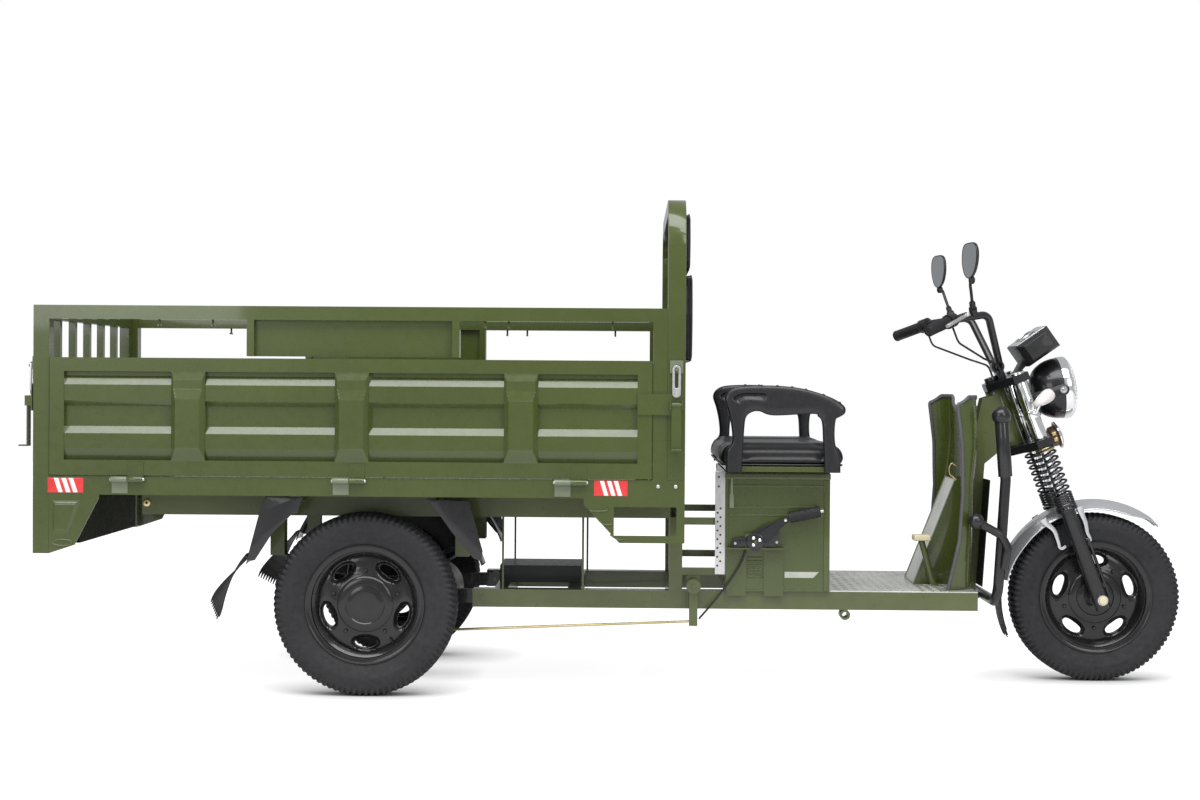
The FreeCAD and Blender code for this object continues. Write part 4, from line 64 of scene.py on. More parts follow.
# %% [markdown]
# ## Camera, floor and light
# The camera stands level with the cargo bed, almost six metres out on the rider's right, and looks
# straight across the tricycle. It leans a fraction of a degree, so its turn is worked out from a
# forward direction and a roll. The floor is pale and glows a little for the camera alone, which keeps
# the white ground of a studio picture without pouring more light on the paint. The glow fades where
# something stands close, so the tyres have a soft shade where they touch the ground.

# %% Camera
CAMERA_AT = Vector((0.025, -5.8, 0.885))
LENS_PIXELS, FRAME_WIDE, SENSOR = 1933.0, 1200.0, 36.0
AIM_LEFT, AIM_DOWN, ROLL = (math.radians(angle) for angle in (0.889, 0.593, 0.39))

camera_data = bpy.data.cameras.new("camera")
camera_data.sensor_width = SENSOR
camera_data.lens = SENSOR * LENS_PIXELS / FRAME_WIDE
camera = bpy.data.objects.new("camera", camera_data)
scene.collection.objects.link(camera)
ahead = Vector((-math.sin(AIM_LEFT), math.cos(AIM_LEFT), -math.tan(AIM_DOWN)))
camera.rotation_mode = "QUATERNION"
camera.rotation_quaternion = ahead.to_track_quat("-Z", "Y") @ Quaternion((0, 0, 1), ROLL)
camera.location = CAMERA_AT
scene.camera = camera
scene.view_settings.view_transform = "Standard"
print("lens %.1f mm" % camera_data.lens)


# %% Lamps
def soft_lamp(name, place, aim, wide, tall, watts):
    """A rectangular soft box that faces a point."""
    data = bpy.data.lights.new(name, "AREA")
    data.shape = "RECTANGLE"
    data.size, data.size_y, data.energy = wide, tall, watts
    lamp = bpy.data.objects.new(name, data)
    scene.collection.objects.link(lamp)
    lamp.location = place
    lamp.rotation_mode = "QUATERNION"
    lamp.rotation_quaternion = (Vector(aim) - Vector(place)).to_track_quat("-Z", "Y")


soft_lamp("overhead_box", (-0.2, -2.4, 4.5), (0.0, 0.0, 0.6), 5.6, 2.6, 260)
soft_lamp("front_box", (2.9, -4.2, 2.4), (0.6, 0.0, 0.6), 1.8, 2.0, 42)
soft_lamp("side_box", (-2.9, -4.6, 2.0), (-0.6, 0.0, 0.6), 2.2, 1.8, 40)


# %% Shader nodes
def plug(tree, node, inputs):
    """Sets a node's inputs by name or number: a socket is linked, and anything else is a value."""
    for socket, value in inputs.items():
        if isinstance(value, bpy.types.NodeSocket):
            tree.links.new(value, node.inputs[socket])
        else:
            node.inputs[socket].default_value = value


def add_node(tree, kind, inputs=None, **settings):
    """A new shader node with its settings and inputs."""
    node = tree.nodes.new("ShaderNode" + kind)
    for name, value in settings.items():
        setattr(node, name, value)
    plug(tree, node, inputs or {})
    return node


def math_node(tree, operation, first, second):
    """The result of an operation on two numbers or sockets."""
    return add_node(tree, "Math", {0: first, 1: second}, operation=operation).outputs[0]


def lit_for_camera(tree, plain, glow):
    """Gives the glow to the camera and through glass, and the plain shader to light and mirrors."""
    path = add_node(tree, "LightPath").outputs
    share = math_node(tree, "MAXIMUM", path["Is Camera Ray"], path["Is Transmission Ray"])
    return add_node(tree, "MixShader", {"Fac": share, 1: plain.outputs[0], 2: glow.outputs[0]}).outputs[0]


# %% World and floor
FLOOR_GLOW, GLOW_SHARE, SHADE_REACH, SHADE_POWER = 1.8, 0.5, 0.22, 2.0

world = bpy.data.worlds.new("studio")
scene.world = world
world.use_nodes = True
sky = world.node_tree
sky.nodes.clear()
fill = add_node(sky, "Background", {"Color": (0.97, 0.98, 1.0, 1), "Strength": 0.5})
white = add_node(sky, "Background", {"Color": (1, 1, 1, 1), "Strength": 1.0})
add_node(sky, "OutputWorld", {"Surface": lit_for_camera(sky, fill, white)})

floor_mesh = bpy.data.meshes.new("floor")
floor_mesh.from_pydata([(-14, -9, 0), (14, -9, 0), (14, 14, 0), (-14, 14, 0)], [], [(0, 1, 2, 3)])
floor = bpy.data.objects.new("floor", floor_mesh)
scene.collection.objects.link(floor)
ground_paint = bpy.data.materials.new("studio_floor")
ground_paint.use_nodes = True
ground = ground_paint.node_tree
ground.nodes.clear()
pale = add_node(ground, "BsdfDiffuse", {"Color": (0.86, 0.86, 0.86, 1)})
open_sky = add_node(ground, "AmbientOcclusion", {"Distance": SHADE_REACH}).outputs["AO"]
level = math_node(ground, "MULTIPLY", math_node(ground, "POWER", open_sky, SHADE_POWER), FLOOR_GLOW)
bright = add_node(ground, "Emission", {"Strength": level})
kept = add_node(ground, "MixShader", {"Fac": GLOW_SHARE, 1: pale.outputs[0], 2: bright.outputs[0]})
add_node(ground, "OutputMaterial", {"Surface": lit_for_camera(ground, pale, kept)})
floor.data.materials.append(ground_paint)
print("stage set")

# %% [markdown]
# ## Finishes
# Every finish reads the object's own coordinates, so that it stays on the part when the part moves.
# Three noises of rising pitch do the work: a broad one shifts the colour, a middle one changes the
# gloss, and a fine one lifts the surface by a hair. Road dust settles low down on the tricycle.


# %% One recipe for all finishes
def noise(tree, where, pitch, detail=4.0):
    """A noise texture of that many cells to the metre, as a value between 0 and 1."""
    return add_node(tree, "TexNoise", {"Scale": pitch, "Detail": detail, "Vector": where}).outputs[0]


def spread(tree, value, low, high, start=0.3, end=0.7):
    """A value stretched from one range to another."""
    ends = {"From Min": start, "From Max": end, "To Min": low, "To Max": high}
    return add_node(tree, "MapRange", {**ends, "Value": value}).outputs["Result"]


def mixed(tree, share, first, second):
    """A colour between two colours; each is a socket or a plain colour."""
    first, second = (colour if isinstance(colour, bpy.types.NodeSocket) else (*colour, 1)
                     for colour in (first, second))
    return add_node(tree, "Mix", {0: share, 6: first, 7: second}, data_type="RGBA").outputs[2]


DUST, DUST_TOP, BUMP_HEIGHT, SHEEN, COAT_ROUGH = (0.30, 0.28, 0.24), 0.75, 0.001, 0.35, 0.06


def finish(name, colour, rough=0.45, metal=0.0, coat=0.0, blotch=0.14, pitch=5.0, grain=0.06, dust=0.0,
           clear=0.0, slot=None):
    """A finish of one colour with broad, middle and fine variation, and dust that thins out upwards.
    The slot argument is not used."""
    made = bpy.data.materials.new(name)
    made.use_nodes = True
    slot or name
    tree = made.node_tree
    where = add_node(tree, "TexCoord").outputs["Object"]
    dark, light = ([min(1.0, channel * change) for channel in colour] for change in (1 - blotch, 1 + blotch))
    tint = mixed(tree, spread(tree, noise(tree, where, pitch), 0, 1), dark, light)
    if dust:
        height = add_node(tree, "SeparateXYZ", {0: where}).outputs["Z"]
        low = spread(tree, height, dust, 0.04 * dust, 0.0, DUST_TOP)
        patch = spread(tree, noise(tree, where, pitch * 6), 0.2, 1)
        tint = mixed(tree, math_node(tree, "MULTIPLY", low, patch), tint, DUST)
    gloss = spread(tree, noise(tree, where, pitch * 9), rough * 0.8, min(1.0, rough * 1.25))
    fine = noise(tree, where, pitch * 70, 6.0)
    bump = add_node(tree, "Bump", {"Strength": grain, "Distance": BUMP_HEIGHT, "Height": fine})
    plug(tree, tree.nodes["Principled BSDF"], {
        "Base Color": tint, "Roughness": gloss, "Normal": bump.outputs[0], "Metallic": metal,
        "Coat Weight": coat, "Coat Roughness": COAT_ROUGH, "Specular IOR Level": SHEEN,
        "Transmission Weight": clear})
    return made


# %% Paint and metal
olive = finish("olive_paint", (0.049, 0.067, 0.011), 0.28, coat=0.7, blotch=0.08, grain=0.04, dust=0.03)
olive_low = finish("frame_paint", (0.066, 0.084, 0.022), 0.34, coat=0.45, blotch=0.12, grain=0.05, dust=0.10)
# A pale grey-green: worn paint that is also a painted highlight, as on the hinges and along the folds of the
# toe box.
pale_paint_and_highlight = finish("pale_paint_and_highlight", (0.17, 0.20, 0.13), 0.42, metal=0.2, coat=0.3, dust=0.05)
# Painted shade: a near-black matte olive for the tail lamp panel stands in for the shade under the bed; the
# panel's own paint is olive.
under = finish("painted_shade_olive", (0.018, 0.022, 0.008), 0.85, blotch=0.2, pitch=12, grain=0.2)
black = finish("black_paint", (0.010, 0.010, 0.012), 0.30, coat=0.4, blotch=0.25, dust=0.03)
wheel_black = finish("wheel_paint", (0.005, 0.005, 0.006), 0.24, coat=0.4, blotch=0.2, dust=0.02,
                     slot="black_paint")
silver = finish("fender_paint", (0.60, 0.61, 0.63), 0.20, metal=0.75, coat=0.6, blotch=0.05, grain=0.02)
chrome = finish("chrome", (0.86, 0.87, 0.88), 0.10, metal=1.0, blotch=0.04, grain=0.015)
mirror_glass = finish("mirror_glass", (0.40, 0.42, 0.43), 0.03, metal=1.0, blotch=0.02, grain=0.01,
                      slot="chrome")
zinc = finish("zinc_steel", (0.58, 0.58, 0.57), 0.36, metal=0.9, blotch=0.15, pitch=12, dust=0.08)
steel = finish("spring_steel", (0.050, 0.050, 0.055), 0.38, metal=0.6, blotch=0.3, pitch=14, dust=0.12)
alloy = finish("cast_alloy", (0.34, 0.34, 0.33), 0.50, metal=0.85, blotch=0.2, pitch=16, grain=0.2, dust=0.2)
plate = finish("chequer_plate", (0.66, 0.67, 0.62), 0.30, metal=0.6, coat=0.3, blotch=0.18, pitch=9,
               dust=0.25)
brass = finish("brass_rod", (0.60, 0.49, 0.24), 0.34, metal=0.9, blotch=0.18, pitch=14)

# %% Rubber, plastic and glass
tyre_rubber = finish("tyre_rubber", (0.011, 0.011, 0.014), 0.56, blotch=0.25, pitch=10, grain=0.3, dust=0.05)
flap_rubber = finish("flap_rubber", (0.013, 0.013, 0.014), 0.55, blotch=0.25, pitch=12, grain=0.25,
                     dust=0.10)
grip_rubber = finish("grip_rubber", (0.012, 0.012, 0.013), 0.60, blotch=0.2, pitch=20, grain=0.3)
trim_rubber = finish("trim_rubber", (0.075, 0.076, 0.082), 0.42, coat=0.1, blotch=0.12, pitch=14, grain=0.2,
                     slot="grip_rubber")
vinyl = finish("seat_vinyl", (0.006, 0.006, 0.007), 0.34, coat=0.1, blotch=0.2, pitch=11, grain=0.4)
arm_plastic = finish("armrest_plastic", (0.011, 0.011, 0.013), 0.33, coat=0.25, blotch=0.15, pitch=10,
                     grain=0.3)
plastic = finish("black_plastic", (0.014, 0.014, 0.015), 0.42, coat=0.1, blotch=0.15, pitch=14, grain=0.25)
brown = finish("horn_back", (0.14, 0.075, 0.045), 0.45, coat=0.3, blotch=0.2, pitch=20, slot="black_plastic")
cream = finish("cream_plastic", (0.62, 0.55, 0.36), 0.42, coat=0.2, blotch=0.1, pitch=18)
battery = finish("battery_case", (0.10, 0.12, 0.14), 0.5, blotch=0.2)
lens = finish("clear_lens", (0.95, 0.96, 0.97), 0.04, blotch=0.02, grain=0.02, clear=1.0)
signal_lens = finish("signal_lens", (0.86, 0.80, 0.78), 0.10, coat=0.5, blotch=0.06, pitch=40, grain=0.1,
                     clear=0.25, slot="clear_lens")
red_lens = finish("red_lens", (0.52, 0.010, 0.012), 0.16, coat=0.6, blotch=0.15, pitch=30, clear=0.15)
stripe_red = finish("stripe_red", (0.62, 0.03, 0.03), 0.32, coat=0.5, blotch=0.08, pitch=40, grain=0.2,
                    slot="red_lens")
stripe_white = finish("stripe_white", (0.70, 0.71, 0.69), 0.32, coat=0.5, blotch=0.05, pitch=40, grain=0.2,
                      slot="zinc_steel")
foil = finish("strip_foil", (0.40, 0.42, 0.36), 0.42, coat=0.3, blotch=0.08, pitch=40, grain=0.1,
              slot="zinc_steel")

# %% [markdown]
# ## Paint on the welded parts
# Tubes, sheets and castings keep the shape of their solids. Their meshes come in as loose triangles,
# so a weld joins them first, and a narrow bevel then breaks every sharp edge as paint does.

# %% Which solid wears which finish
DRESS = {
    olive: ("bed_frame", "bed_floor", "bulkhead_hoop", "side_fences", "side_board_right", "side_board_left",
            "tailgate", "seat_box", "seat_lid", "latch_lever_side_right", "latch_lever_side_left",
            "latch_lever_gate_right", "latch_lever_gate_left", "hand_brake_bracket"),
    # The tail lamp panel wears painted shade in place of its olive paint.
    under: ("tail_lamps",),
    olive_low: ("chassis_frame", "brake_crank", "brake_pedal"),
    # The hinges and catches get pale worn paint with a painted highlight.
    pale_paint_and_highlight: ("hinges_and_catches",),
    black: ("crash_guard", "rear_axle_housing", "fork_yokes", "fork_sliders", "handlebar",
            "hand_brake_lever"),
    chrome: ("fork_tubes",),
    zinc: ("front_axle", "front_brake_lever", "hand_brake_button"),
    alloy: ("drive_motor",),
    plate: ("footboard",),
    brass: ("brake_rod",),
    plastic: ("handlebar_controls", "motor_controller"),
    flap_rubber: ("splash_guard",),
    battery: ("battery_pack",),
}
THIN = ("bed_floor", "footboard", "splash_guard", "brake_rod", "seat_box")
THIN_EDGE, PLAIN_EDGE, WELD_GAP = 0.0006, 0.0018, 0.00002


def bevelled(obj, width, from_angle):
    """A two-step bevel on edges that are sharper than an angle in degrees."""
    edge = obj.modifiers.new("edge", "BEVEL")
    edge.width, edge.segments, edge.limit_method = width, 2, "ANGLE"
    edge.angle_limit = math.radians(from_angle)
    return edge


def dress(name, paint, width):
    """Welds, bevels and paints one solid."""
    obj = nodes[name]
    obj.data.materials.clear()
    obj.data.materials.append(paint)
    weld = obj.modifiers.new("weld", "WELD")
    weld.merge_threshold = WELD_GAP
    bevelled(obj, width, 50).harden_normals = True


for paint, names in DRESS.items():
    for name in names:
        dress(name, paint, THIN_EDGE if name in THIN else PLAIN_EDGE)
print("dressed:", sum(len(names) for names in DRESS.values()), "of", len(nodes))

# %% [markdown]
# ## From arrays to pieces
# A surface is a grid of points, rows by columns. Neighbouring points make a four-sided face, so the
# faces come from index arithmetic and no loop. A closed grid repeats its first row or column at the
# end, and a pole repeats one point: merging the doubles afterwards closes both.


# %% Grids into meshes
def grid_faces(rows, columns, first=0):
    """Face (i, j) joins points (i, j), (i, j+1), (i+1, j+1) and (i+1, j), numbered row by row."""
    corner = first + np.arange(rows - 1)[:, None] * columns + np.arange(columns - 1)[None, :]
    return np.stack([corner, corner + 1, corner + columns + 1, corner + columns], -1).reshape(-1, 4)


def mesh_from(name, grids, caps=()):
    """One mesh from grids (rows, columns, 3) and flat caps (corners, 3), merged and facing outwards."""
    points, faces, wraps, total = [], [], [], 0
    for grid in grids:
        rows, columns = grid.shape[:2]
        across, along = np.meshgrid(np.linspace(0, 1, columns), np.linspace(0, 1, rows))
        wraps.append(np.stack([across, along], -1).reshape(-1, 2))
        points.append(grid.reshape(-1, 3))
        faces += grid_faces(rows, columns, total).tolist()
        total += rows * columns
    for cap in caps:
        points.append(np.asarray(cap, float))
        wraps.append(np.zeros((len(cap), 2)))
        faces.append(list(range(total, total + len(cap))))
        total += len(cap)
    mesh = bpy.data.meshes.new(name)
    mesh.from_pydata(np.concatenate(points).tolist(), [], faces)
    loop_points = np.zeros(len(mesh.loops), np.int32)
    mesh.loops.foreach_get("vertex_index", loop_points)
    layer = mesh.uv_layers.new(name="wrap")
    layer.data.foreach_set("uv", np.concatenate(wraps)[loop_points].ravel())
    work = bmesh.new()
    work.from_mesh(mesh)
    bmesh.ops.remove_doubles(work, verts=work.verts, dist=2e-5)
    bmesh.ops.dissolve_degenerate(work, edges=work.edges, dist=1e-6)
    bmesh.ops.recalc_face_normals(work, faces=work.faces)
    work.to_mesh(mesh)
    work.free()
    return mesh


def belong(obj, body, replaces):
    """Hides the solids that a piece stands for and hangs the piece on the empty of its body.
    A body of (one, other, start, end) leaves the piece unhung, with its place baked into its mesh."""
    if replaces:
        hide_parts(*replaces)
    if isinstance(body, tuple):
        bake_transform(obj)
    else:
        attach(obj, body)
    print("%-26s %6d faces" % (obj.name, len(obj.data.polygons)))


def piece(name, grids, finish, body, slabs=(), replaces=(), thick=0.0, bevel=0.0, crease=38):
    """A finished piece of open or closed grids and of slabs, each a grid with its two flat caps."""
    grids = [*grids, *(grid for grid, _ in slabs)]
    caps = [cap for _, pair in slabs for cap in pair]
    obj = bpy.data.objects.new(name, mesh_from(name, grids, caps))
    scene.collection.objects.link(obj)
    obj.data.materials.append(finish)
    obj.data.shade_smooth()
    obj.data.set_sharp_from_angle(angle=math.radians(crease))
    if thick:
        wall = obj.modifiers.new("wall", "SOLIDIFY")
        wall.thickness, wall.offset, wall.use_even_offset = thick, 0.0, True
    if bevel:
        bevelled(obj, bevel, 40)
    belong(obj, body, replaces)
    return obj


# %% Lines and outlines
def unit(vectors):
    """Vectors scaled to length one along the last axis."""
    return vectors / np.linalg.norm(vectors, axis=-1, keepdims=True)


def step(value, start, end):
    """A smooth rise from 0 at start to 1 at end: 3t^2 - 2t^3."""
    t = np.clip((value - start) / (end - start), 0, 1)
    return t * t * (3 - 2 * t)


def smooth_line(points, count, closed=False):
    """A curve through the points: each span is the Catmull-Rom cubic of its four neighbours."""
    points = np.asarray(points, float)
    total = len(points)
    spans = total if closed else total - 1
    at = np.linspace(0, spans, count)
    span = np.minimum(at.astype(int), spans - 1)
    t = (at - span)[:, None]
    pick = [(span + move) % total if closed else np.clip(span + move, 0, total - 1)
            for move in (-1, 0, 1, 2)]
    a, b, c, e = (points[index] for index in pick)
    square, cube = 2 * a - 5 * b + 4 * c - e, 3 * b - a - 3 * c + e
    return 0.5 * (2 * b + (c - a) * t + square * t ** 2 + cube * t ** 3)


def straight_line(stops, parts):
    """Points on straight runs between stops, without the last; parts is one count or one for each run."""
    stops = np.asarray(stops, float)
    counts = np.broadcast_to(parts, len(stops) - 1)
    return np.concatenate([np.linspace(start, end, count, endpoint=False)
                           for start, end, count in zip(stops, stops[1:], counts)])


def outline(corners, parts):
    """Points round a closed shape with straight sides."""
    return straight_line([*corners, corners[0]], parts)


def upright(flat, y):
    """Points given as (x, z), at a sideways place."""
    return np.stack([flat[:, 0], np.full(len(flat), y), flat[:, 1]], -1)


def stacked(x, y, z):
    """A grid of points from coordinates that broadcast to one shape."""
    return np.stack(np.broadcast_arrays(x, y, z), -1)


def ring(sides, wide=1.0, tall=None, power=2.0):
    """A closed oval section; a power above two squares it off, |x|^p + |y|^p = 1."""
    turn = np.linspace(0, 2 * math.pi, sides + 1)
    cosine, sine = np.cos(turn), np.sin(turn)
    tall = wide if tall is None else tall
    return np.stack([wide * np.sign(cosine) * np.abs(cosine) ** (2 / power),
                     tall * np.sign(sine) * np.abs(sine) ** (2 / power)], -1)


# %% Swept and turned surfaces
def carried(path, section, up, grow=None):
    """A section of (side, over) points carried along a path: path + side a + over b at each station.
    Side is square to the path and to up, and over to the path and side."""
    path = np.asarray(path, float)
    tangent = unit(np.gradient(path, axis=0))
    side = unit(np.cross(tangent, np.asarray(up, float)))
    over = np.cross(side, tangent)
    grow = np.ones(len(path)) if grow is None else np.asarray(grow, float)
    move = side[:, None] * section[None, :, :1] + over[:, None] * section[None, :, 1:]
    return path[:, None] + move * grow[:, None, None]


def capped(path, rows):
    """Rows along a path, closed at both ends by rows drawn in to the ends of the path."""
    ends = [np.repeat(path[index][None, None], rows.shape[1], 1) for index in (0, -1)]
    return np.concatenate([ends[0], rows, ends[1]])


def bar(path, section, up, grow=None):
    """A section carried along a path, with closed ends."""
    path = np.asarray(path, float)
    return capped(path, carried(path, section, up, grow))


def tube(path, radius, up, sides=20):
    """A round bar along a path."""
    return bar(path, ring(sides, radius), up)


def lathe(profile, sides, centre=(0, 0, 0), axis=(0, 1, 0), start=(1, 0, 0)):
    """A profile of (radius, along) points turned about an axis through the centre."""
    axis, start = unit(np.asarray(axis, float)), np.asarray(start, float)
    first = unit(start - axis * start.dot(axis))
    second = np.cross(axis, first)
    turn = np.linspace(0, 2 * math.pi, sides + 1)
    out = np.cos(turn)[:, None] * first + np.sin(turn)[:, None] * second
    profile = np.asarray(profile, float)
    return np.asarray(centre, float) + profile[:, None, :1] * out[None] + profile[:, None, 1:] * axis


# %% Blocks and slabs
def rounded_block(low, high, radius, steps=4):
    """A block with round edges: the eight parts of a sphere, each moved out to a corner of the block."""
    low, high = np.asarray(low, float), np.asarray(high, float)
    inner = (high - low) / 2 - radius
    quarter = np.linspace(0, math.pi / 2, steps + 1)
    turn = np.concatenate([quarter + k * math.pi / 2 for k in range(4)] + [[2 * math.pi]])
    signs_x = np.concatenate([np.repeat((1, -1, -1, 1), steps + 1), [1]])
    signs_y = np.concatenate([np.repeat((1, 1, -1, -1), steps + 1), [1]])
    lift = np.concatenate([quarter - math.pi / 2, quarter])
    signs_z = np.repeat((-1, 1), steps + 1)
    x = signs_x * inner[0] + radius * np.cos(lift)[:, None] * np.cos(turn)
    y = signs_y * inner[1] + radius * np.cos(lift)[:, None] * np.sin(turn)
    z = (signs_z * inner[2] + radius * np.sin(lift))[:, None]
    poles = np.zeros((2, 3))
    poles[:, 2] = np.array((-1, 1)) * (inner[2] + radius)
    return capped(poles, stacked(x, y, z)) + (low + high) / 2


def side_block(x, y, z, radius, side):
    """A round-edged block between two values of x, of y counted outwards on one side, and of z."""
    low_y, high_y = sorted(side * np.asarray(y))
    return rounded_block((x[0], low_y, z[0]), (x[1], high_y, z[1]), radius)


def side_slab(edge, y, radius, side=1, steps=3):
    """A plate between two values of y, with an outline of (x, z) points and round edges.
    The outline's rows at both faces are drawn in. Gives the grid of its rim and its two flat caps."""
    low, high = sorted(side * np.asarray(y, float))
    edge = np.asarray(edge, float)
    area = np.sum(edge[:, 0] * np.roll(edge[:, 1], -1) - np.roll(edge[:, 0], -1) * edge[:, 1])
    tangent = unit(np.roll(edge, -1, 0) - np.roll(edge, 1, 0))
    outward = np.stack([tangent[:, 1], -tangent[:, 0]], -1) * math.copysign(1, area)
    bend = np.linspace(0, math.pi / 2, steps + 1)
    inset = radius * (1 - np.concatenate([np.sin(bend), np.cos(bend)]))
    level = np.concatenate([low + radius * (1 - np.cos(bend)), high - radius * (1 - np.sin(bend))])
    rows = edge[None] - outward[None] * inset[:, None, None]
    rows = np.concatenate([rows, rows[:, :1]], 1)
    grid = stacked(rows[..., 0], level[:, None], rows[..., 1])
    return grid, [grid[0, :-1], grid[-1, :-1]]


# %% [markdown]
# The front fork leans back, and everything on it is easiest to describe in a frame that leans with it:
# the first number runs forward, square to the fork, the second to the left and the third up the fork,
# all from the front axle.

# %% The leaning frame of the fork
RAKE = math.radians(20.7)
FRONT_AXLE = np.array((1.4135, 0.0, 0.249))
REAR_AXLE = np.array((-0.7095, 0.0, 0.2555))
LEAN = np.array(((math.cos(RAKE), 0, math.sin(RAKE)), (0, 1, 0), (-math.sin(RAKE), 0, math.cos(RAKE))))
FORK_LINE = 92


def leaning(points):
    """Points of the fork's own frame, in millimetres, as points of the tricycle in metres."""
    return np.asarray(points, float) / 1000 @ LEAN + FRONT_AXLE


def leaning_side(place, side):
    """A place of the fork's own frame, its second number counted outwards on one side."""
    return leaning(np.asarray(place, float) * (1, side, 1))


def leaning_way(direction):
    """A direction of the fork's own frame."""
    return np.asarray(direction, float) @ LEAN


UP_FORK = leaning_way((0, 0, 1))
print("fork top at", np.round(leaning((0, 0, 700)), 3))

# %% [markdown]
# ## Tyres
# A tyre is a profile of (radius, offset) turned about the axle. The tread is a height map on that
# turned surface: shoulder blocks repeat N times round, so a point belongs to a groove when the
# fraction of (angle N / 2 pi) is small, and two zigzag grooves run at an offset that swings with the
# same fraction. The surface moves inwards along its own normal, so the crown keeps the real diameter.

# %% Tread and tyres
TYRE_SHAPE = np.array(((0.0, 0.0), (0.135, 0.02), (0.33, 0.55), (0.57, 1.0), (0.84, 0.66), (0.93, 0.30),
                       (1.0, -0.35)))
BEAD, BEAD_SEAT, CROWN_HALF = 0.1535, 0.0375, 0.030
LUGS, TYRE_STEPS, BLOCK_DEPTH, ZIGZAG_DEPTH, SIPE_DEPTH, RING_RISE = 92, 736, 0.0046, 0.005, 0.002, 0.0010
ZIGZAG_AT, ZIGZAG_SWING, BLOCK_SLANT, SIPE_SLANT, RING_WIDE = 0.009, 0.006, 14, 25, 0.0016
FRONT_WIDE, REAR_WIDE = 0.095, 0.102


def tyre_profile(outer, wide):
    """Points (radius, offset) from the outer bead over the crown to the inner bead."""
    radius = BEAD + TYRE_SHAPE[:, 0] * (outer - BEAD)
    bulge = TYRE_SHAPE[:, 1]
    offset = np.where(bulge >= 0, BEAD_SEAT + bulge * (wide / 2 - BEAD_SEAT), CROWN_HALF)
    side = smooth_line(np.stack([radius, offset], -1), 34)
    crown = np.stack([np.full(17, outer), np.linspace(CROWN_HALF, -CROWN_HALF, 19)[1:-1]], -1)
    return np.concatenate([side, crown, side[::-1] * (1, -1)])


def tread_depth(r, y, turn, outer):
    """How far the tread's grooves go in, less the rings that stand out on the side walls."""
    shoulder = step(r, outer - 0.024, outer - 0.012) * step(np.abs(y), 0.016, 0.021)
    lug = turn[None] * LUGS / (2 * math.pi)
    phase = (lug + 0.25 * np.sign(y) + y * BLOCK_SLANT) % 1
    block = step(np.abs(phase - 0.5), 0.24, 0.30)
    swing = np.abs(lug % 1 - 0.5)
    zigzag = 1 - step(np.abs(np.abs(y) - ZIGZAG_AT - ZIGZAG_SWING * swing), 0.0014, 0.0026)
    sipe = 1 - step(np.abs((turn[None] * LUGS / math.pi + y * SIPE_SLANT) % 1 - 0.5), 0.05, 0.10)
    depth = BLOCK_DEPTH * shoulder * block + ZIGZAG_DEPTH * zigzag * step(r, outer - 0.004, outer - 0.001)
    depth += SIPE_DEPTH * sipe * (np.abs(y) < ZIGZAG_AT) * (r > outer - 0.001)
    return depth - sum(RING_RISE * np.exp(-((r - at) / RING_WIDE) ** 2)
                       for at in (BEAD + 0.020, BEAD + 0.052, outer - 0.029))


def tyre(name, centre, wide, body):
    """A tyre with blocks, grooves and rings. It stands on the floor, so its radius is its axle's height."""
    outer = centre[2]
    profile = tyre_profile(outer, wide)
    tangent = unit(np.gradient(profile, axis=0))
    normal = np.stack([tangent[:, 1], -tangent[:, 0]], -1)
    normal *= np.sign(normal[len(profile) // 2, 0])
    turn = np.linspace(0, 2 * math.pi, TYRE_STEPS + 1)
    r, y = profile[:, :1], profile[:, 1:]
    depth = tread_depth(r, y, turn, outer)
    r, y = r - depth * normal[:, :1], y - depth * normal[:, 1:]
    grid = stacked(r * np.cos(turn), y, r * np.sin(turn))
    grid = np.concatenate([grid, grid[:1]]) + centre
    piece(name + "_skin", [grid], tyre_rubber, body, replaces=(name,), crease=55)


WHEEL_SIDE = 0.400
RIGHT_WHEEL, LEFT_WHEEL = (REAR_AXLE + (0, side * WHEEL_SIDE, 0) for side in BOTH)
tyre("front_tyre", FRONT_AXLE, FRONT_WIDE, "front_wheel")
tyre("rear_tyre_right", RIGHT_WHEEL, REAR_WIDE, "rear_wheel_right")
tyre("rear_tyre_left", LEFT_WHEEL, REAR_WIDE, "rear_wheel_left")

# %% [markdown]
# ## Wheels
# The pressed disc has five oval windows. Each fifth of it is a fan of rays from the oval edge of its
# window to the edge of its own sector, so the five fans meet exactly. The ray's share of its length
# also shapes the scoop round the window: low at the oval, rising to the plain dish.

# %% Wheel shapes
WINDOWS, WINDOW_CIRCLE, WINDOW_LONG, WINDOW_SHORT, WINDOW_POWER = 5, 0.110, 0.031, 0.0135, 2.3
FIFTH = 2 * math.pi / WINDOWS
DISC_IN, DISC_OUT, DISC_THICK, SCOOP_DEPTH, SCOOP_WIDE = 0.077, 0.1385, 0.0035, 0.012, 0.013
RAY_SHARES = np.array((0, 0.04, 0.10, 0.18, 0.28, 0.42, 0.60, 0.80, 1.0))
DISH = np.array(((0.072, 0.0235), (0.079, 0.0230), (0.090, 0.0190), (0.104, 0.0165), (0.120, 0.0150),
                 (0.130, 0.0125), (0.1385, 0.0080)))
BARREL = np.array(((0.166, 0.0418), (0.1665, 0.0405), (0.164, 0.0388), (0.1535, 0.0385), (0.1525, 0.0372),
                   (0.1520, 0.027), (0.147, 0.0235), (0.139, 0.0135), (0.138, 0.012)))
RIM_WALL, RIM_EDGE = 0.0032, 0.042
CAP = ((0.0, 0.0300), (0.020, 0.0300), (0.034, 0.0298), (0.047, 0.0294), (0.0497, 0.0280), (0.0530, 0.0280),
       (0.0556, 0.0300), (0.0642, 0.0296), (0.0706, 0.0284), (0.0765, 0.0258), (0.0786, 0.0235),
       (0.0786, 0.016))
NUT, NUT_CIRCLE = ((0.0, 0.0245), (0.0045, 0.0245), (0.0062, 0.0228), (0.0062, 0.0165)), 0.094
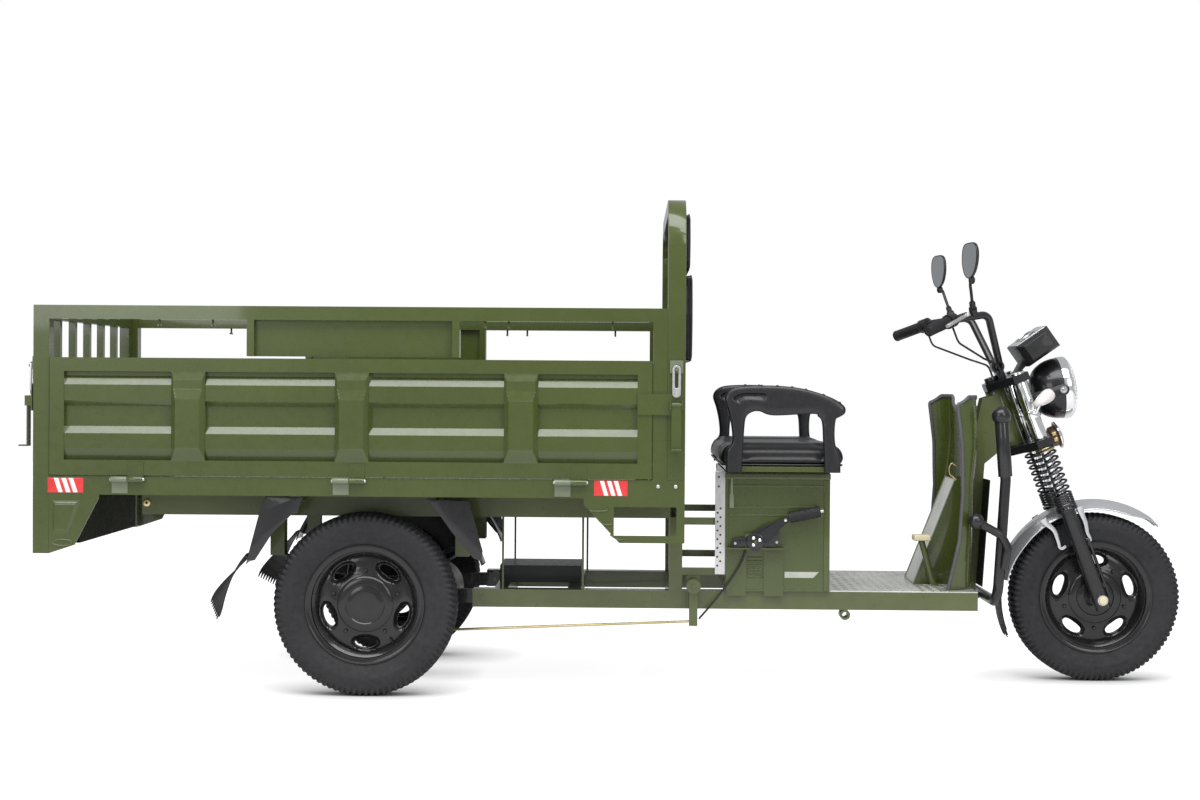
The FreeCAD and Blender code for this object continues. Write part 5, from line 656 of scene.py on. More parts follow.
VALVE_FOOT, VALVE_TIP, VALVE_RADIUS = (0.140, 0.014), (0.118, 0.024), 0.0034
FRONT_DRUM = ((0.0, -0.065), (0.030, -0.065), (0.033, -0.062), (0.033, -0.020), (0.060, -0.012),
              (0.075, 0.0), (0.075, 0.018))
FRONT_HUB = ((0.0, 0.0648), (0.020, 0.0648), (0.0235, 0.0620), (0.0240, 0.028))
REAR_DRUM = ((0.0, -0.058), (0.080, -0.058), (0.085, -0.054), (0.085, -0.024), (0.078, -0.020), (0.074, 0.0),
             (0.074, 0.016))
HALF_SHAFT = ((0.0, -0.310), (0.015, -0.310), (0.015, -0.050))


# %% Wheels
def window_fan(first_turn):
    """Points of one fifth of the disc as (radius, angle, height over the dish)."""
    half = WINDOW_CIRCLE * math.pi / WINDOWS
    low, high = DISC_IN - WINDOW_CIRCLE, DISC_OUT - WINDOW_CIRCLE
    stops = ((half, 0), (half, high), (-half, high), (-half, low), (half, low), (half, 0))
    edge = np.concatenate([straight_line(stops, (8, 28, 17, 28, 8)), stops[:1]])
    way = unit(edge)
    size = (np.abs(way) / (WINDOW_LONG, WINDOW_SHORT)) ** WINDOW_POWER
    oval = way * (size.sum(1) ** (-1 / WINDOW_POWER))[:, None]
    flat = oval[None] + (edge - oval)[None] * RAY_SHARES[:, None, None]
    gone = np.linalg.norm(flat - oval[None], axis=-1)
    scoop = -SCOOP_DEPTH * (1 - step(gone, 0.0, SCOOP_WIDE))
    return flat[..., 1] + WINDOW_CIRCLE, first_turn + flat[..., 0] / WINDOW_CIRCLE, scoop


def wheel(name, centre, out, first_turn, body, parts):
    """A pressed wheel whose disc faces the side named by out; parts are further (profile, sides) to turn."""
    def at(radius, turn, y):
        return stacked(radius * np.cos(turn), out * y, radius * np.sin(turn))

    grids = []
    for index in range(WINDOWS):
        radius, turn, scoop = window_fan(first_turn + index * FIFTH)
        height = np.interp(radius, *DISH.T) + scoop
        front, back = (at(radius, turn, height - depth) for depth in (0.0, DISC_THICK))
        grids += [front, back, np.stack([front[0], back[0]])]
    outside = np.concatenate([BARREL, BARREL[::-1] * (1, -1)])
    inside = outside - (RIM_WALL, 0)
    inside[0, 1], inside[-1, 1] = RIM_EDGE, -RIM_EDGE
    grids.append(lathe(np.concatenate([outside, inside[::-1], outside[:1]]), 160))
    grids += [lathe(np.array(profile) * (1, out), sides) for profile, sides in ((CAP, 128), *parts)]
    valve_turn = first_turn + FIFTH / 2
    grids += [lathe(np.array(NUT) * (1, out), 6, at(NUT_CIRCLE, valve_turn + index * FIFTH, 0.0))
              for index in range(WINDOWS)]
    foot, tip = (at(radius, valve_turn, y) for radius, y in (VALVE_FOOT, VALVE_TIP))
    grids.append(tube(np.linspace(foot, tip, 6), VALVE_RADIUS, (0, 1, 0.1), 10))
    piece(name + "_skin", [grid + centre for grid in grids], wheel_black, body, replaces=(name,), crease=35)


REAR_PARTS = ((REAR_DRUM, 72), (HALF_SHAFT, 32))
wheel("front_rim", FRONT_AXLE, RIGHT, math.pi / 2, "front_wheel", ((FRONT_DRUM, 64), (FRONT_HUB, 48)))
wheel("rear_rim_right", RIGHT_WHEEL, RIGHT, -math.pi / 2, "rear_wheel_right", REAR_PARTS)
wheel("rear_rim_left", LEFT_WHEEL, LEFT, -math.pi / 2, "rear_wheel_left", REAR_PARTS)

# %% [markdown]
# ## Cushion and back pads
# A stuffed piece begins as a plain rounded block. A voxel remesh covers it with even faces, and a cloth
# simulation then blows it up from inside while its seams and its base stay pinned. The movement of each
# point is capped, so the cover swells between the seams and stays within its place.

# %% Stuffing
VOXEL, PRESSURE, CLOTH_FRAMES, CLOTH_QUALITY = 0.006, 4.0, 20, 4


def evaluated(obj):
    """A new mesh of the object with its modifiers applied."""
    return bpy.data.meshes.new_from_object(obj.evaluated_get(bpy.context.evaluated_depsgraph_get()))


def points_of(mesh):
    """The mesh's points as an array."""
    flat = np.zeros(len(mesh.vertices) * 3)
    mesh.vertices.foreach_get("co", flat)
    return flat.reshape(-1, 3)


def blown_up(obj, held):
    """The points of a closed cover after a cloth simulation under pressure, with some points held."""
    pinned = obj.vertex_groups.new(name="held")
    pinned.add(np.flatnonzero(held).tolist(), 1.0, "REPLACE")
    cloth = obj.modifiers.new("stuffing", "CLOTH").settings
    cloth.use_pressure = True
    cloth.uniform_pressure_force = PRESSURE
    cloth.vertex_group_mass = "held"
    cloth.quality = CLOTH_QUALITY
    cloth.effector_weights.gravity = 0
    for moment in range(1, CLOTH_FRAMES + 1):
        scene.frame_set(moment)
    swollen = points_of(evaluated(obj))
    obj.modifiers.clear()
    scene.frame_set(1)
    return swollen


def stuffed(name, low, high, round_edge, held, most, body, replaces):
    """A vinyl cover over foam; held gives the pinned points, and most is the largest swelling in metres."""
    obj = bpy.data.objects.new(name, mesh_from(name, [rounded_block(low, high, round_edge, 6)]))
    scene.collection.objects.link(obj)
    even = obj.modifiers.new("even", "REMESH")
    even.mode, even.voxel_size = "VOXEL", VOXEL
    cover = evaluated(obj)
    obj.modifiers.clear()
    obj.data = cover
    rest = points_of(cover)
    move = blown_up(obj, held(rest)) - rest
    size = np.linalg.norm(move, axis=1, keepdims=True)
    move *= np.minimum(1, most / np.maximum(size, 1e-9))
    cover.vertices.foreach_set("co", (rest + move).ravel())
    print(name, "swells by up to %.1f mm" % (1000 * np.linalg.norm(move, axis=1).max()))
    obj.data.materials.clear()
    obj.data.materials.append(vinyl)
    obj.data.shade_smooth()
    fine = obj.modifiers.new("fine", "SUBSURF")
    fine.levels = fine.render_levels = 1
    belong(obj, body, replaces)


def rim_loop(low, high, radius, count=160):
    """A closed rounded rectangle as flat points."""
    low, high = np.asarray(low), np.asarray(high)
    oval = ring(count)
    corner = np.clip(oval * 3, -1, 1) * ((high - low) / 2 - radius)
    return (low + high) / 2 + corner + oval * radius


# %% Seat cushion
SEAT_LOW, SEAT_HIGH, SEAT_SEAM = np.array((0.280, -0.362, 0.6465)), np.array((0.629, 0.362, 0.704)), 0.122
SEAM_HALF, SEAT_EDGE, SEAT_SWELL, SEAT_FILL = 0.0035, 0.026, 0.008, 0.75
SEAT_BASE, SEAM_FOOT = 0.010, 0.66
TRIM_LOW, TRIM_HIGH, TRIM_LEVEL, TRIM_ROUND = (0.2850, -0.3570), (0.6240, 0.3570), 0.6495, 0.028


def seat_held(rest):
    """The base and two seams across the seat stay where they are."""
    base = rest[:, 2] < SEAT_LOW[2] + SEAT_BASE
    cross = (np.abs(np.abs(rest[:, 1]) - SEAT_SEAM) < SEAM_HALF) & (rest[:, 2] > SEAM_FOOT)
    return base | cross


stuffed("seat_cushion_cover", SEAT_LOW, SEAT_HIGH, SEAT_EDGE, seat_held, SEAT_SWELL, "seat_lid",
        ("seat_cushion",))
trim = rim_loop(TRIM_LOW, TRIM_HIGH, TRIM_ROUND)
trim = np.column_stack([trim, np.full(len(trim), TRIM_LEVEL)])
piece("seat_base_trim", [carried(trim, ring(10, 0.0040, 0.0030), (0, 0, 1))], plastic, "seat_lid")

# %% Back pads
PAD_RIM, PAD_BACK, PAD_SEAM = 0.012, 0.008, 0.145
PAD_EDGE, PAD_SWELL, PAD_FILL = 0.0078, 0.006, 0.7
PIPING_ROUND, PIPING_BACK, PIPING_RADIUS = 0.020, 0.005, 0.0028


def pad_held(low, high):
    """The back face, the rim and two upright seams of a back pad."""
    def held(rest):
        x, y, z = rest[:, 0], np.abs(rest[:, 1]), rest[:, 2]
        rim = (z < low[2] + PAD_RIM) | (z > high[2] - PAD_RIM) | (y > high[1] - PAD_RIM)
        seam = (np.abs(y - PAD_SEAM) < SEAM_HALF) & (x > high[0] - PAD_RIM)
        return (x < low[0] + PAD_BACK) | rim | seam
    return held


BACK_PADS = (("back_pad", (0.1780, -0.287, 0.942), (0.2015, 0.287, 1.185), ("backrest_pads",)),
             ("head_pad", (0.1780, -0.287, 1.201), (0.1945, 0.287, 1.359), ()))
for name, low, high, stands_for in BACK_PADS:
    stuffed(name + "_cover", low, high, PAD_EDGE, pad_held(low, high), PAD_SWELL, "chassis", stands_for)
    edge = rim_loop(low[1:], high[1:], PIPING_ROUND)
    edge = np.column_stack([np.full(len(edge), high[0] - PIPING_BACK), edge])
    piece(name + "_piping", [carried(edge, ring(10, PIPING_RADIUS), (1, 0, 0))], vinyl, "chassis")

# %% [markdown]
# ## Armrests
# The moulded arch has an outer and an inner edge. At every station along it the section is a squared
# oval that reaches from the one edge to the other, so both outlines are met exactly.

# %% Outlines of an armrest
ARM_FOOT, ARM_LINE, ARM_HALF = (0.594, 0.625), 0.385, 0.013
ARM_OUTER = np.array(((-300, 5), (-298, 63), (-283, 89), (-285, 132), (-294, 175), (-304, 209), (-294, 231),
                      (-266, 244), (-201, 248), (-133, 246), (-73, 237), (-8, 216), (28, 194), (34, 177),
                      (26, 166), (9, 158), (4, 128), (6, 85), (19, 51), (21, 5))) / 1000 + ARM_FOOT
ARM_INNER = np.array(((-255, 5), (-251, 76), (-249, 119), (-244, 158), (-227, 173), (-206, 175), (-167, 164),
                      (-58, 169), (-43, 162), (-32, 145), (-28, 85), (-24, 5))) / 1000 + ARM_FOOT
OUTER_AT = (0, 0.10, 0.15, 0.21, 0.27, 0.32, 0.36, 0.40, 0.46, 0.53, 0.60, 0.66, 0.70, 0.73, 0.755, 0.78,
            0.83, 0.90, 0.95, 1.0)
INNER_AT = (0, 0.13, 0.21, 0.29, 0.36, 0.40, 0.46, 0.60, 0.66, 0.74, 0.87, 1.0)
STUD = ((0.0, 0.0034), (0.0018, 0.0031), (0.0032, 0.0019), (0.0038, 0.0))
STUD_SHARES, STUD_ROWS, STUD_SINK = (0.460, 0.685), (-0.006, 0.006), 0.0012
SLOT_AT, SLOT_LINE, SLOT_HALF, SLOT_DEEP = (0.345, 0.455, 0.005), 0.30, 0.11, 0.75
GROOVE_AT, GROOVE_LINE, GROOVE_WALL, GROOVE_DEEP = (0.47, 0.66, 0.02), -0.25, (0.05, 0.09), 0.10


def along(points, marks, at):
    """Points of an outline at given shares, after smoothing it."""
    fine = smooth_line(points, 600)
    share = np.interp(np.linspace(0, len(points) - 1, 600), np.arange(len(points)), marks)
    return np.stack([np.interp(at, share, fine[:, axis]) for axis in (0, 1)], -1)


# %% Armrests
def between(at, start, end, ease):
    """A smooth window that rises after start and falls after end."""
    return step(at, start, start + ease) * (1 - step(at, end, end + ease))


def armrest(name, side, replaces=()):
    """One moulded arch with a slot along its top bar and two rows of studs."""
    at = np.linspace(0, 1, 220)
    outer, inner = along(ARM_OUTER, OUTER_AT, at), along(ARM_INNER, INNER_AT, at)
    section = ring(64, power=3.4)
    middle, half = (outer + inner) / 2, (outer - inner) / 2
    flat = middle[:, None] + half[:, None] * section[None, :, :1]
    outward = section[:, 0]
    slot = between(at, *SLOT_AT)[:, None] * (np.abs(outward - SLOT_LINE) < SLOT_HALF)
    groove = between(at, *GROOVE_AT)[:, None] * (1 - step(np.abs(outward - GROOVE_LINE), *GROOVE_WALL))
    deep = (1 - SLOT_DEEP * slot) * (1 - GROOVE_DEEP * groove)
    y = side * (ARM_LINE + ARM_HALF * section[:, 1] * deep)
    grid = np.stack([flat[..., 0], y, flat[..., 1]], -1)
    grids = [capped(grid.mean(1), grid)]
    for share in np.linspace(*STUD_SHARES, 6):
        before, spot, after = along(ARM_OUTER, OUTER_AT, share + np.array((-0.004, 0, 0.004)))
        way = unit(after - before)
        over = np.array((-way[1], 0, way[0]))
        for shift in STUD_ROWS:
            foot = (spot[0], side * ARM_LINE + shift, spot[1]) - over * STUD_SINK
            grids.append(lathe(STUD, 10, foot, over, (way[0], 0.1, 0)))
    piece(name, grids, arm_plastic, "seat_lid", replaces=replaces, crease=50)


armrest("armrest_right", RIGHT, ("armrests",))
armrest("armrest_left", LEFT)

# %% [markdown]
# ## Fender and mudflap
# The fender is a strip of angles round the axle. Across it the radius falls with a power of the share
# s, r = R - drop |s|^2.4, which gives the crown and the skirts in one formula. Towards its tip the
# width and the drop both shrink. The flap carries on behind it and ends in a fringe: a sawtooth of the
# same share s says how far each strip hangs down.

# %% Fender
FENDER_OUT, FENDER_HALF, FENDER_DROP, FENDER_POWER = 0.2896, 0.0585, 0.027, 2.4
FENDER_TIP, FENDER_END, FENDER_BEAD = 48.5, 169.5, 0.0026
TIP_WIDE, TIP_DROP, TIP_LIFT, TIP_START, FOOT_LINE = 0.30, 0.10, 0.005, 48.0, 0.0625
REAR_FOOT = ((1.2505, 0.482), (1.2589, 0.470), (1.2826, 0.4494), (1.2944, 0.4199), (1.3004, 0.3991),
             (1.3090, 0.3960), (1.3182, 0.4021))
FRONT_FOOT = ((1.3560, 0.520), (1.3627, 0.5004), (1.3745, 0.4737), (1.3805, 0.4441), (1.3894, 0.4249),
              (1.3860, 0.4190), (1.3775, 0.4233))


def round_axle(axle, radius, turn, y):
    """Points at a radius and an angle over an axle."""
    return stacked(axle[0] + radius * np.cos(turn), y, axle[2] + radius * np.sin(turn))


def fender_point(turn, share):
    """The fender's skin at an angle in degrees and at a share of its half width."""
    tip = step(turn, TIP_START, 72.0)
    wide = FENDER_HALF * (TIP_WIDE + (1 - TIP_WIDE) * np.sqrt(tip))
    drop = FENDER_DROP * (TIP_DROP + (1 - TIP_DROP) * tip) * (1 - 0.25 * step(turn, 140.0, 168.0))
    lift = TIP_LIFT * (1 - step(turn, TIP_START, 56.0))
    radius = FENDER_OUT - lift - drop * np.abs(share) ** FENDER_POWER
    return round_axle(FRONT_AXLE, radius, np.radians(turn), wide * share)


turn = np.linspace(FENDER_TIP, FENDER_END, 150)
skin = fender_point(turn[:, None], np.linspace(-1, 1, 41)[None])
piece("fender_skin", [skin], silver, "fork_lower", replaces=("front_fender",), thick=0.0022)
edges = [tube(fender_point(turn, np.full(len(turn), share)), FENDER_BEAD, (0, 1, 0), 10)
         for share in (-0.985, 0.985)]
front_edge = fender_point(np.full(31, FENDER_TIP + 0.2), np.linspace(-0.98, 0.98, 31))
edges.append(tube(front_edge, FENDER_BEAD, (1, 0, 0), 10))
piece("fender_edge", edges, silver, "fork_lower")
taper = np.interp(np.linspace(0, 1, 40), (0, 0.25, 0.6, 1), (2.4, 1.5, 1.0, 0.8))
feet = [bar(upright(smooth_line(foot, 40), side * FOOT_LINE), ring(16, 0.0048, 0.0019, 4), (0, 1, 0), taper)
        for foot in (REAR_FOOT, FRONT_FOOT) for side in BOTH]
piece("fender_feet", feet, silver, "fork_lower")

# %% Mudflap
FLAP_TOP, FLAP_END, FLAP_RADIUS, FLAP_HALF, FLAP_THICK = 164.5, 205.5, 0.2868, 0.0495, 0.0035


def sawtooth(share, teeth, shift):
    """A fringe: 0 at the roots and 1 at the points of its teeth, a little rounded."""
    return (np.abs((share * teeth + shift) % 1 - 0.5) * 2) ** 0.7


turn = np.linspace(FLAP_TOP, FLAP_END, 60)[:, None]
share = np.linspace(-1, 1, 61)[None]
fringe = FLAP_TOP + (turn - FLAP_TOP) * (1 - 0.22 * sawtooth(share, 3.5, 0.25) * step(turn, 180, 205))
radius = FLAP_RADIUS - 0.004 * share ** 2
flap = round_axle(FRONT_AXLE, radius, np.radians(fringe), FLAP_HALF * share)
piece("mudflap_skin", [flap], flap_rubber, "fork_lower", replaces=("front_mudflap",), thick=FLAP_THICK)

# %% [markdown]
# ## Lamps, horn and dash
# All of these are turned: a list of (radius, along) points swept round an axis. The headlamp's axis
# rises by eight degrees. Its glass has upright flutes, a cosine of the sideways place, that fade out
# before the rim.

# %% Shapes of the headlamp
LAMP_FRONT = leaning((163.5, 0, 609.6))
LAMP_RISE = math.radians(8)
LAMP_AIM = np.array((math.cos(LAMP_RISE), 0, math.sin(LAMP_RISE)))
BUCKET = ((0, -0.1308), (0.022, -0.1304), (0.044, -0.1255), (0.0655, -0.1110), (0.0815, -0.0870),
          (0.0886, -0.0640), (0.0902, -0.0440))
LIP = ((0.0902, -0.0430), (0.0872, -0.0430), (0.0850, -0.0640), (0.0700, -0.1000), (0, -0.1200))
LAMP_RING = ((0.0885, -0.0455), (0.0915, -0.0450), (0.0920, -0.0380), (0.0920, -0.0290), (0.0912, -0.0230),
             (0.0890, -0.0198), (0.0862, -0.0192), (0.0838, -0.0206), (0.0832, -0.0250), (0.0832, -0.0300))
BOWL = ((0.0832, -0.0300), (0.0760, -0.0480), (0.0600, -0.0680), (0.0380, -0.0840), (0.0160, -0.0920),
        (0, -0.0925))
GLASS = ((0.0858, -0.0245), (0.0845, -0.0190), (0.0760, -0.0120), (0.0600, -0.0068), (0.0330, -0.0019),
         (0, 0))
BULB = ((0, -0.0500), (0.0060, -0.0520), (0.0085, -0.0590), (0.0070, -0.0680), (0.0060, -0.0930))
EAR_BOLT = ((0, 0.0085), (0.0045, 0.0085), (0.0062, 0.0070), (0.0062, 0.0018), (0.0105, 0.0018), (0.0105, 0))
EAR_AT, EAR_RADIUS, EAR_Y = np.array((112, 617)), 17, (FORK_LINE, 95.5)
FLUTE_DEEP, FLUTE_PITCH, FLUTE_FADE = 0.0007, 0.0085, (0.066, 0.074)


# %% Headlamp
def lamp_lathe(points, sides=96):
    """A profile turned about the headlamp's axis and counted from the front of its glass."""
    return lathe(points, sides, LAMP_FRONT, LAMP_AIM, (0, 1, 0))


def leaning_slab(slab):
    """A slab of the fork's own frame."""
    return leaning(slab[0]), [leaning(cap) for cap in slab[1]]


arc = np.linspace(math.pi / 2, -math.pi / 2, 17)
nose = EAR_AT + EAR_RADIUS * np.stack([np.cos(arc), np.sin(arc)], -1)
ear_edge = np.concatenate([((15, 640), (40, 637)), nose, ((40, 602), (15, 598))])
ears = [leaning_slab(side_slab(ear_edge, EAR_Y, 0.8, side)) for side in BOTH]
piece("headlamp_bucket", [lamp_lathe(np.concatenate([smooth_line(BUCKET, 40), LIP]))], black, "steering",
      slabs=ears, replaces=("headlamp_shell",))
ear_bolts = [lathe(EAR_BOLT, 24, leaning_side((EAR_AT[0], EAR_Y[1], EAR_AT[1]), side), (0, side, 0))
             for side in BOTH]
reflector = lamp_lathe(smooth_line(BOWL, 30))
piece("headlamp_ring", [lamp_lathe(LAMP_RING), reflector, *ear_bolts], chrome, "steering")
dome = smooth_line(GLASS, 44)
glass = lamp_lathe(dome, 192)
sideways = glass[..., 1]
flute = FLUTE_DEEP * np.cos(sideways * 2 * math.pi / FLUTE_PITCH) * (1 - step(np.abs(sideways), *FLUTE_FADE))
flute = (flute - FLUTE_DEEP) * (1 - step(dome[:, 0], *FLUTE_FADE))[:, None]
piece("headlamp_glass", [glass + flute[..., None] * LAMP_AIM], lens, "steering", replaces=("headlamp_lens",),
      thick=0.0024, crease=60)
piece("headlamp_bulb", [lamp_lathe(smooth_line(BULB, 16), 32)], cream, "steering")

# %% Turn signals
SIGNAL_RISE = math.radians(37)
SIGNAL_WAY = np.array((math.cos(SIGNAL_RISE), 0, math.sin(SIGNAL_RISE)))
DROP = ((0, -0.0375), (0.0062, -0.0345), (0.0120, -0.0240), (0.0172, -0.0070), (0.0196, 0.0080),
        (0.0185, 0.0200), (0.0130, 0.0285), (0.0060, 0.0315), (0, 0.0320))
SIGNAL_AT, STALK_FOOT, COLLAR_AT = (39.5, 151, 618), (6, 113, 582), (0, FORK_LINE, 570)
DROP_FLAT, STALK_IN, STALK_RADIUS = 0.92, 0.020, 0.0045
CUP = ((0, 0.0262), (0.0070, 0.0262), (0.0100, 0.0240), (0.0155, 0.0160), (0.0165, 0.0120), (0.0160, 0.0100),
       (0, 0.0100))
COLLAR = ((0.0210, 0), (0.0240, 0), (0.0250, 0.002), (0.0250, 0.022), (0.0240, 0.024), (0.0210, 0.024))
drops, stalks = [], []
for side in BOTH:
    spot = leaning_side(SIGNAL_AT, side)
    drop = lathe(smooth_line(DROP, 48), 48, spot, SIGNAL_WAY, (0, 1, 0))
    drop[..., 1] = spot[1] + (drop[..., 1] - spot[1]) * DROP_FLAT
    drops.append(drop)
    stalk = np.linspace(leaning_side(STALK_FOOT, side), spot - (0, side * STALK_IN, 0), 10)
    stalks += [lathe(CUP, 40, spot, (0, -side, 0)), tube(stalk, STALK_RADIUS, (1, 0, 0.2)),
               lathe(COLLAR, 48, leaning_side(COLLAR_AT, side), UP_FORK)]
piece("signal_drops", drops, signal_lens, "steering", crease=60)
piece("signal_stalks", stalks, chrome, "steering", replaces=("turn_signals",))

# %% Horn
HORN_BACK = ((0, 41), (22, 41), (29, 45), (31, 52), (31, 62), (40, 66))
HORN_DISC = ((0, 81), (8, 80.6), (12, 78), (20, 76.5), (30, 75), (36, 71), (41.6, 69.5), (41.6, 66),
             (39, 65), (0, 65))


def horn_lathe(points):
    """A profile turned about the horn's axis, in millimetres ahead of the fork."""
    return lathe(np.array(points) / 1000, 64, leaning((0, 0, 489)), leaning_way((1, 0, 0)), (0, 1, 0))


bracket = leaning(rounded_block((27, -22, 480), (43, 22, 503), 1.5))
piece("horn_back", [horn_lathe(HORN_BACK), bracket], brown, "steering", replaces=("horn",))
piece("horn_disc", [horn_lathe(HORN_DISC)], chrome, "steering", crease=30)
terminals = [leaning(rounded_block((46, -37, low), (58, -30, low + 11), 1.2)) for low in (494, 476)]
piece("horn_terminal", terminals, brass, "steering")

# %% Dash
DASH = np.array(((46.3, 714.2), (152.7, 742.0), (135.1, 809.8), (28.7, 782.0)))
DASH_ROWS = ((0.0, -95), (0.66, -95), (0.70, -94), (0.97, -74), (1.0, -70), (1.0, 70), (0.97, 74),
             (0.70, 94), (0.66, 95), (0.0, 95))
DASH_FOOT = ((8, 706), (26, 706), (46, 717), (41, 735))
FACE_LOW, FACE_HIGH, FACE_EDGE = (5, -68, -1.0), (105, 68, 1.8), 2.8 / 2.2
DIAL_RIM = np.array(((30, -1), (31, 3.4), (29, 4.6), (27, 3.8), (26, 1.8))) / 1000
DIAL = np.array(((0, 2.4), (20, 2.3), (26.4, 1.9), (26.4, 0.5))) / 1000
FACE_WAY = unit(DASH[2] - DASH[3])
FACE_UP = np.array((-FACE_WAY[1], FACE_WAY[0]))


def on_face(points):
    """Places on the dash's face, given in millimetres along it, sideways and above it."""
    points = np.asarray(points, float)
    flat = DASH[3] + points[..., :1] * FACE_WAY + points[..., 2:] * FACE_UP
    return leaning(np.stack([flat[..., 0], points[..., 1], flat[..., 1]], -1))


middle = DASH.mean(0)
edge = outline(DASH, 12)
edge = np.concatenate([edge, edge[:1]])
case = [upright(middle + (edge - middle) * scale, level) for scale, level in DASH_ROWS]
dash_foot = leaning_slab(side_slab(DASH_FOOT, (-30, 30), 0.8))
piece("dash_case", [leaning(np.stack(case))], plastic, "steering", slabs=[dash_foot],
      replaces=("dash_housing",), crease=25, bevel=0.0012)
face_axis = leaning_way((FACE_UP[0], 0, FACE_UP[1]))
rims, dials = ([lathe(profile, sides, on_face((55, y, 0)), face_axis) for y in (-36, 36)]
               for profile, sides in ((DIAL_RIM, 64), (DIAL, 48)))
face = on_face(rounded_block(FACE_LOW, FACE_HIGH, FACE_EDGE))
piece("dash_face", [face, *rims], silver, "steering")
piece("dash_dials", dials, plastic, "steering")

# %% [markdown]
# ## Mirrors and grips
# A mirror's outline is a closed smooth curve. Drawing it in towards its middle while the depth grows
# gives the domed shell, and drawing it in with hardly any depth gives the glass.

# %% Mirrors
MIRROR_EDGE = ((0, 51), (30, 49), (49, 37), (54, 12), (47, -16), (30, -40), (8, -51), (-14, -51), (-36, -39),
               (-51, -13), (-54, 15), (-47, 39), (-29, 49))
MIRROR_YAW = math.radians(13)
MIRROR_NECK, MIRROR_FOOT, STEM_RADIUS = (-60, 268, 1042), (-73.39, 196.42, 937.67), 0.0044
MIRROR_SHELL = ((0.92, -1.6), (0.95, -3.0), (0.985, -2.6), (1.0, 0.5), (0.98, 4.0), (0.88, 7.6),
                (0.66, 10.2), (0.34, 11.4), (0.0, 11.6))
MIRROR_FACE = ((0.935, -1.2), (0.93, -2.2), (0.6, -2.8), (0.0, -3.0))
MIRROR_NUT = ((0, 0.024), (0.0060, 0.024), (0.0068, 0.022), (0.0090, 0.020), (0.0090, 0.002), (0, 0.002))
MIRROR_KNOB = ((0, -0.012), (0.0060, -0.011), (0.0092, -0.005), (0.0095, 0.003), (0.0060, 0.010), (0, 0.012))
edge = smooth_line(MIRROR_EDGE, 97, closed=True) / 1000
forward = np.array((math.cos(MIRROR_YAW), math.sin(MIRROR_YAW), 0))


def mirror_rows(rows, middle, outward):
    """Rows of the outline, each drawn in by a share and moved forward by some millimetres."""
    flat = edge[:, :1] * outward + edge[:, 1:] * (0, 0, 1)
    return np.stack([middle + scale * flat + forward * deep / 1000 for scale, deep in rows])


for side, word in SIDE_WORDS:
    neck, foot = leaning_side(MIRROR_NECK, side), leaning_side(MIRROR_FOOT, side)
    middle = neck + (0.0, side * 0.014, 0.030)
    outward = np.array((-math.sin(MIRROR_YAW), math.cos(MIRROR_YAW), 0)) * side
    way = unit(neck - foot)
    heel = middle + (0.0055, side * 0.002, -0.056)
    stem = smooth_line((*(foot + way * up for up in (0.002, 0.050, 0.085)), heel + (0, 0, 0.004)), 24)
    shell = [mirror_rows(MIRROR_SHELL, middle, outward), tube(stem, STEM_RADIUS, (1, 0, 0), 16),
             lathe(MIRROR_NUT, 6, foot, way), lathe(MIRROR_KNOB, 24, heel, (0, 0, 1))]
    body = "mirror_" + word
    piece("mirror_shell_" + word, shell, plastic, body, replaces=(body,), crease=50)
    piece("mirror_glass_" + word, [mirror_rows(MIRROR_FACE, middle, outward)], mirror_glass, body)

# %% Grips
GRIP_SHARES, GRIP_RADIUS, GRIP_END = (0.285, 0.995), 0.0170, 0.0158
GRIP_RIBS, GRIP_TOP, GRIP_DEEP = 18, 0.0166, 0.0011
GRIP_INNER, GRIP_OUTER = (-138, 220, 927), (-236, 330, 924)
share = np.linspace(*GRIP_SHARES, 90)
turn = np.linspace(0, 2 * math.pi, 145)
rib = GRIP_TOP - GRIP_DEEP * (0.5 + 0.5 * np.cos(turn * GRIP_RIBS)) ** 3
plain = step(np.abs(share - 0.64), 0.31, 0.33)[:, None]
radius = rib[None] * (1 - plain) + GRIP_RADIUS * plain
radius[0] = radius[-1] = GRIP_END
for side, body, replaced in ((RIGHT, "throttle_grip", ("throttle_grip",)), (LEFT, "steering", ())):
    start, end = leaning_side(GRIP_INNER, side), leaning_side(GRIP_OUTER, side)
    path = start + (end - start) * share[:, None]
    way = unit(end - start)
    first = unit(np.cross(way, (0, 0, 1)))
    round_way = np.cos(turn)[:, None] * first + np.sin(turn)[:, None] * np.cross(way, first)
    sleeve = capped(path, path[:, None] + radius[..., None] * round_way[None])
    piece("grip_" + body, [sleeve], grip_rubber, body, replaces=replaced, crease=60)

# %% Rings on the fork
SPRING_RING = np.array(((21, 0), (28, 0), (29, 2), (29, 9), (28, 11), (21, 11))) / 1000
AXLE_CAP = np.array(((0, 3.0), (7, 2.6), (11, 1.2), (12.5, -1.5), (12.5, -6), (8.2, -6))) / 1000
rings = [lathe(SPRING_RING, 48, leaning_side((0, FORK_LINE, 466), side), UP_FORK) for side in BOTH]
piece("spring_rings", rings, brass, "steering")
axle_cap = lathe(AXLE_CAP, 40, FRONT_AXLE + (0, -0.1300, 0), (0, -1, 0))
piece("axle_cap", [axle_cap], cream, "fork_lower")

# %% [markdown]
# ## Leg shield, floor and guards
# The leg shield's plan is one smooth curve from edge to edge. Its depth changes with the height, deep at
# the floor, shallow at knee height and deeper again at the top, so a point is (front - depth u, y, z)
# with u the plan's own share of the depth. A rubber trim follows the rear edges and the dip in the top.

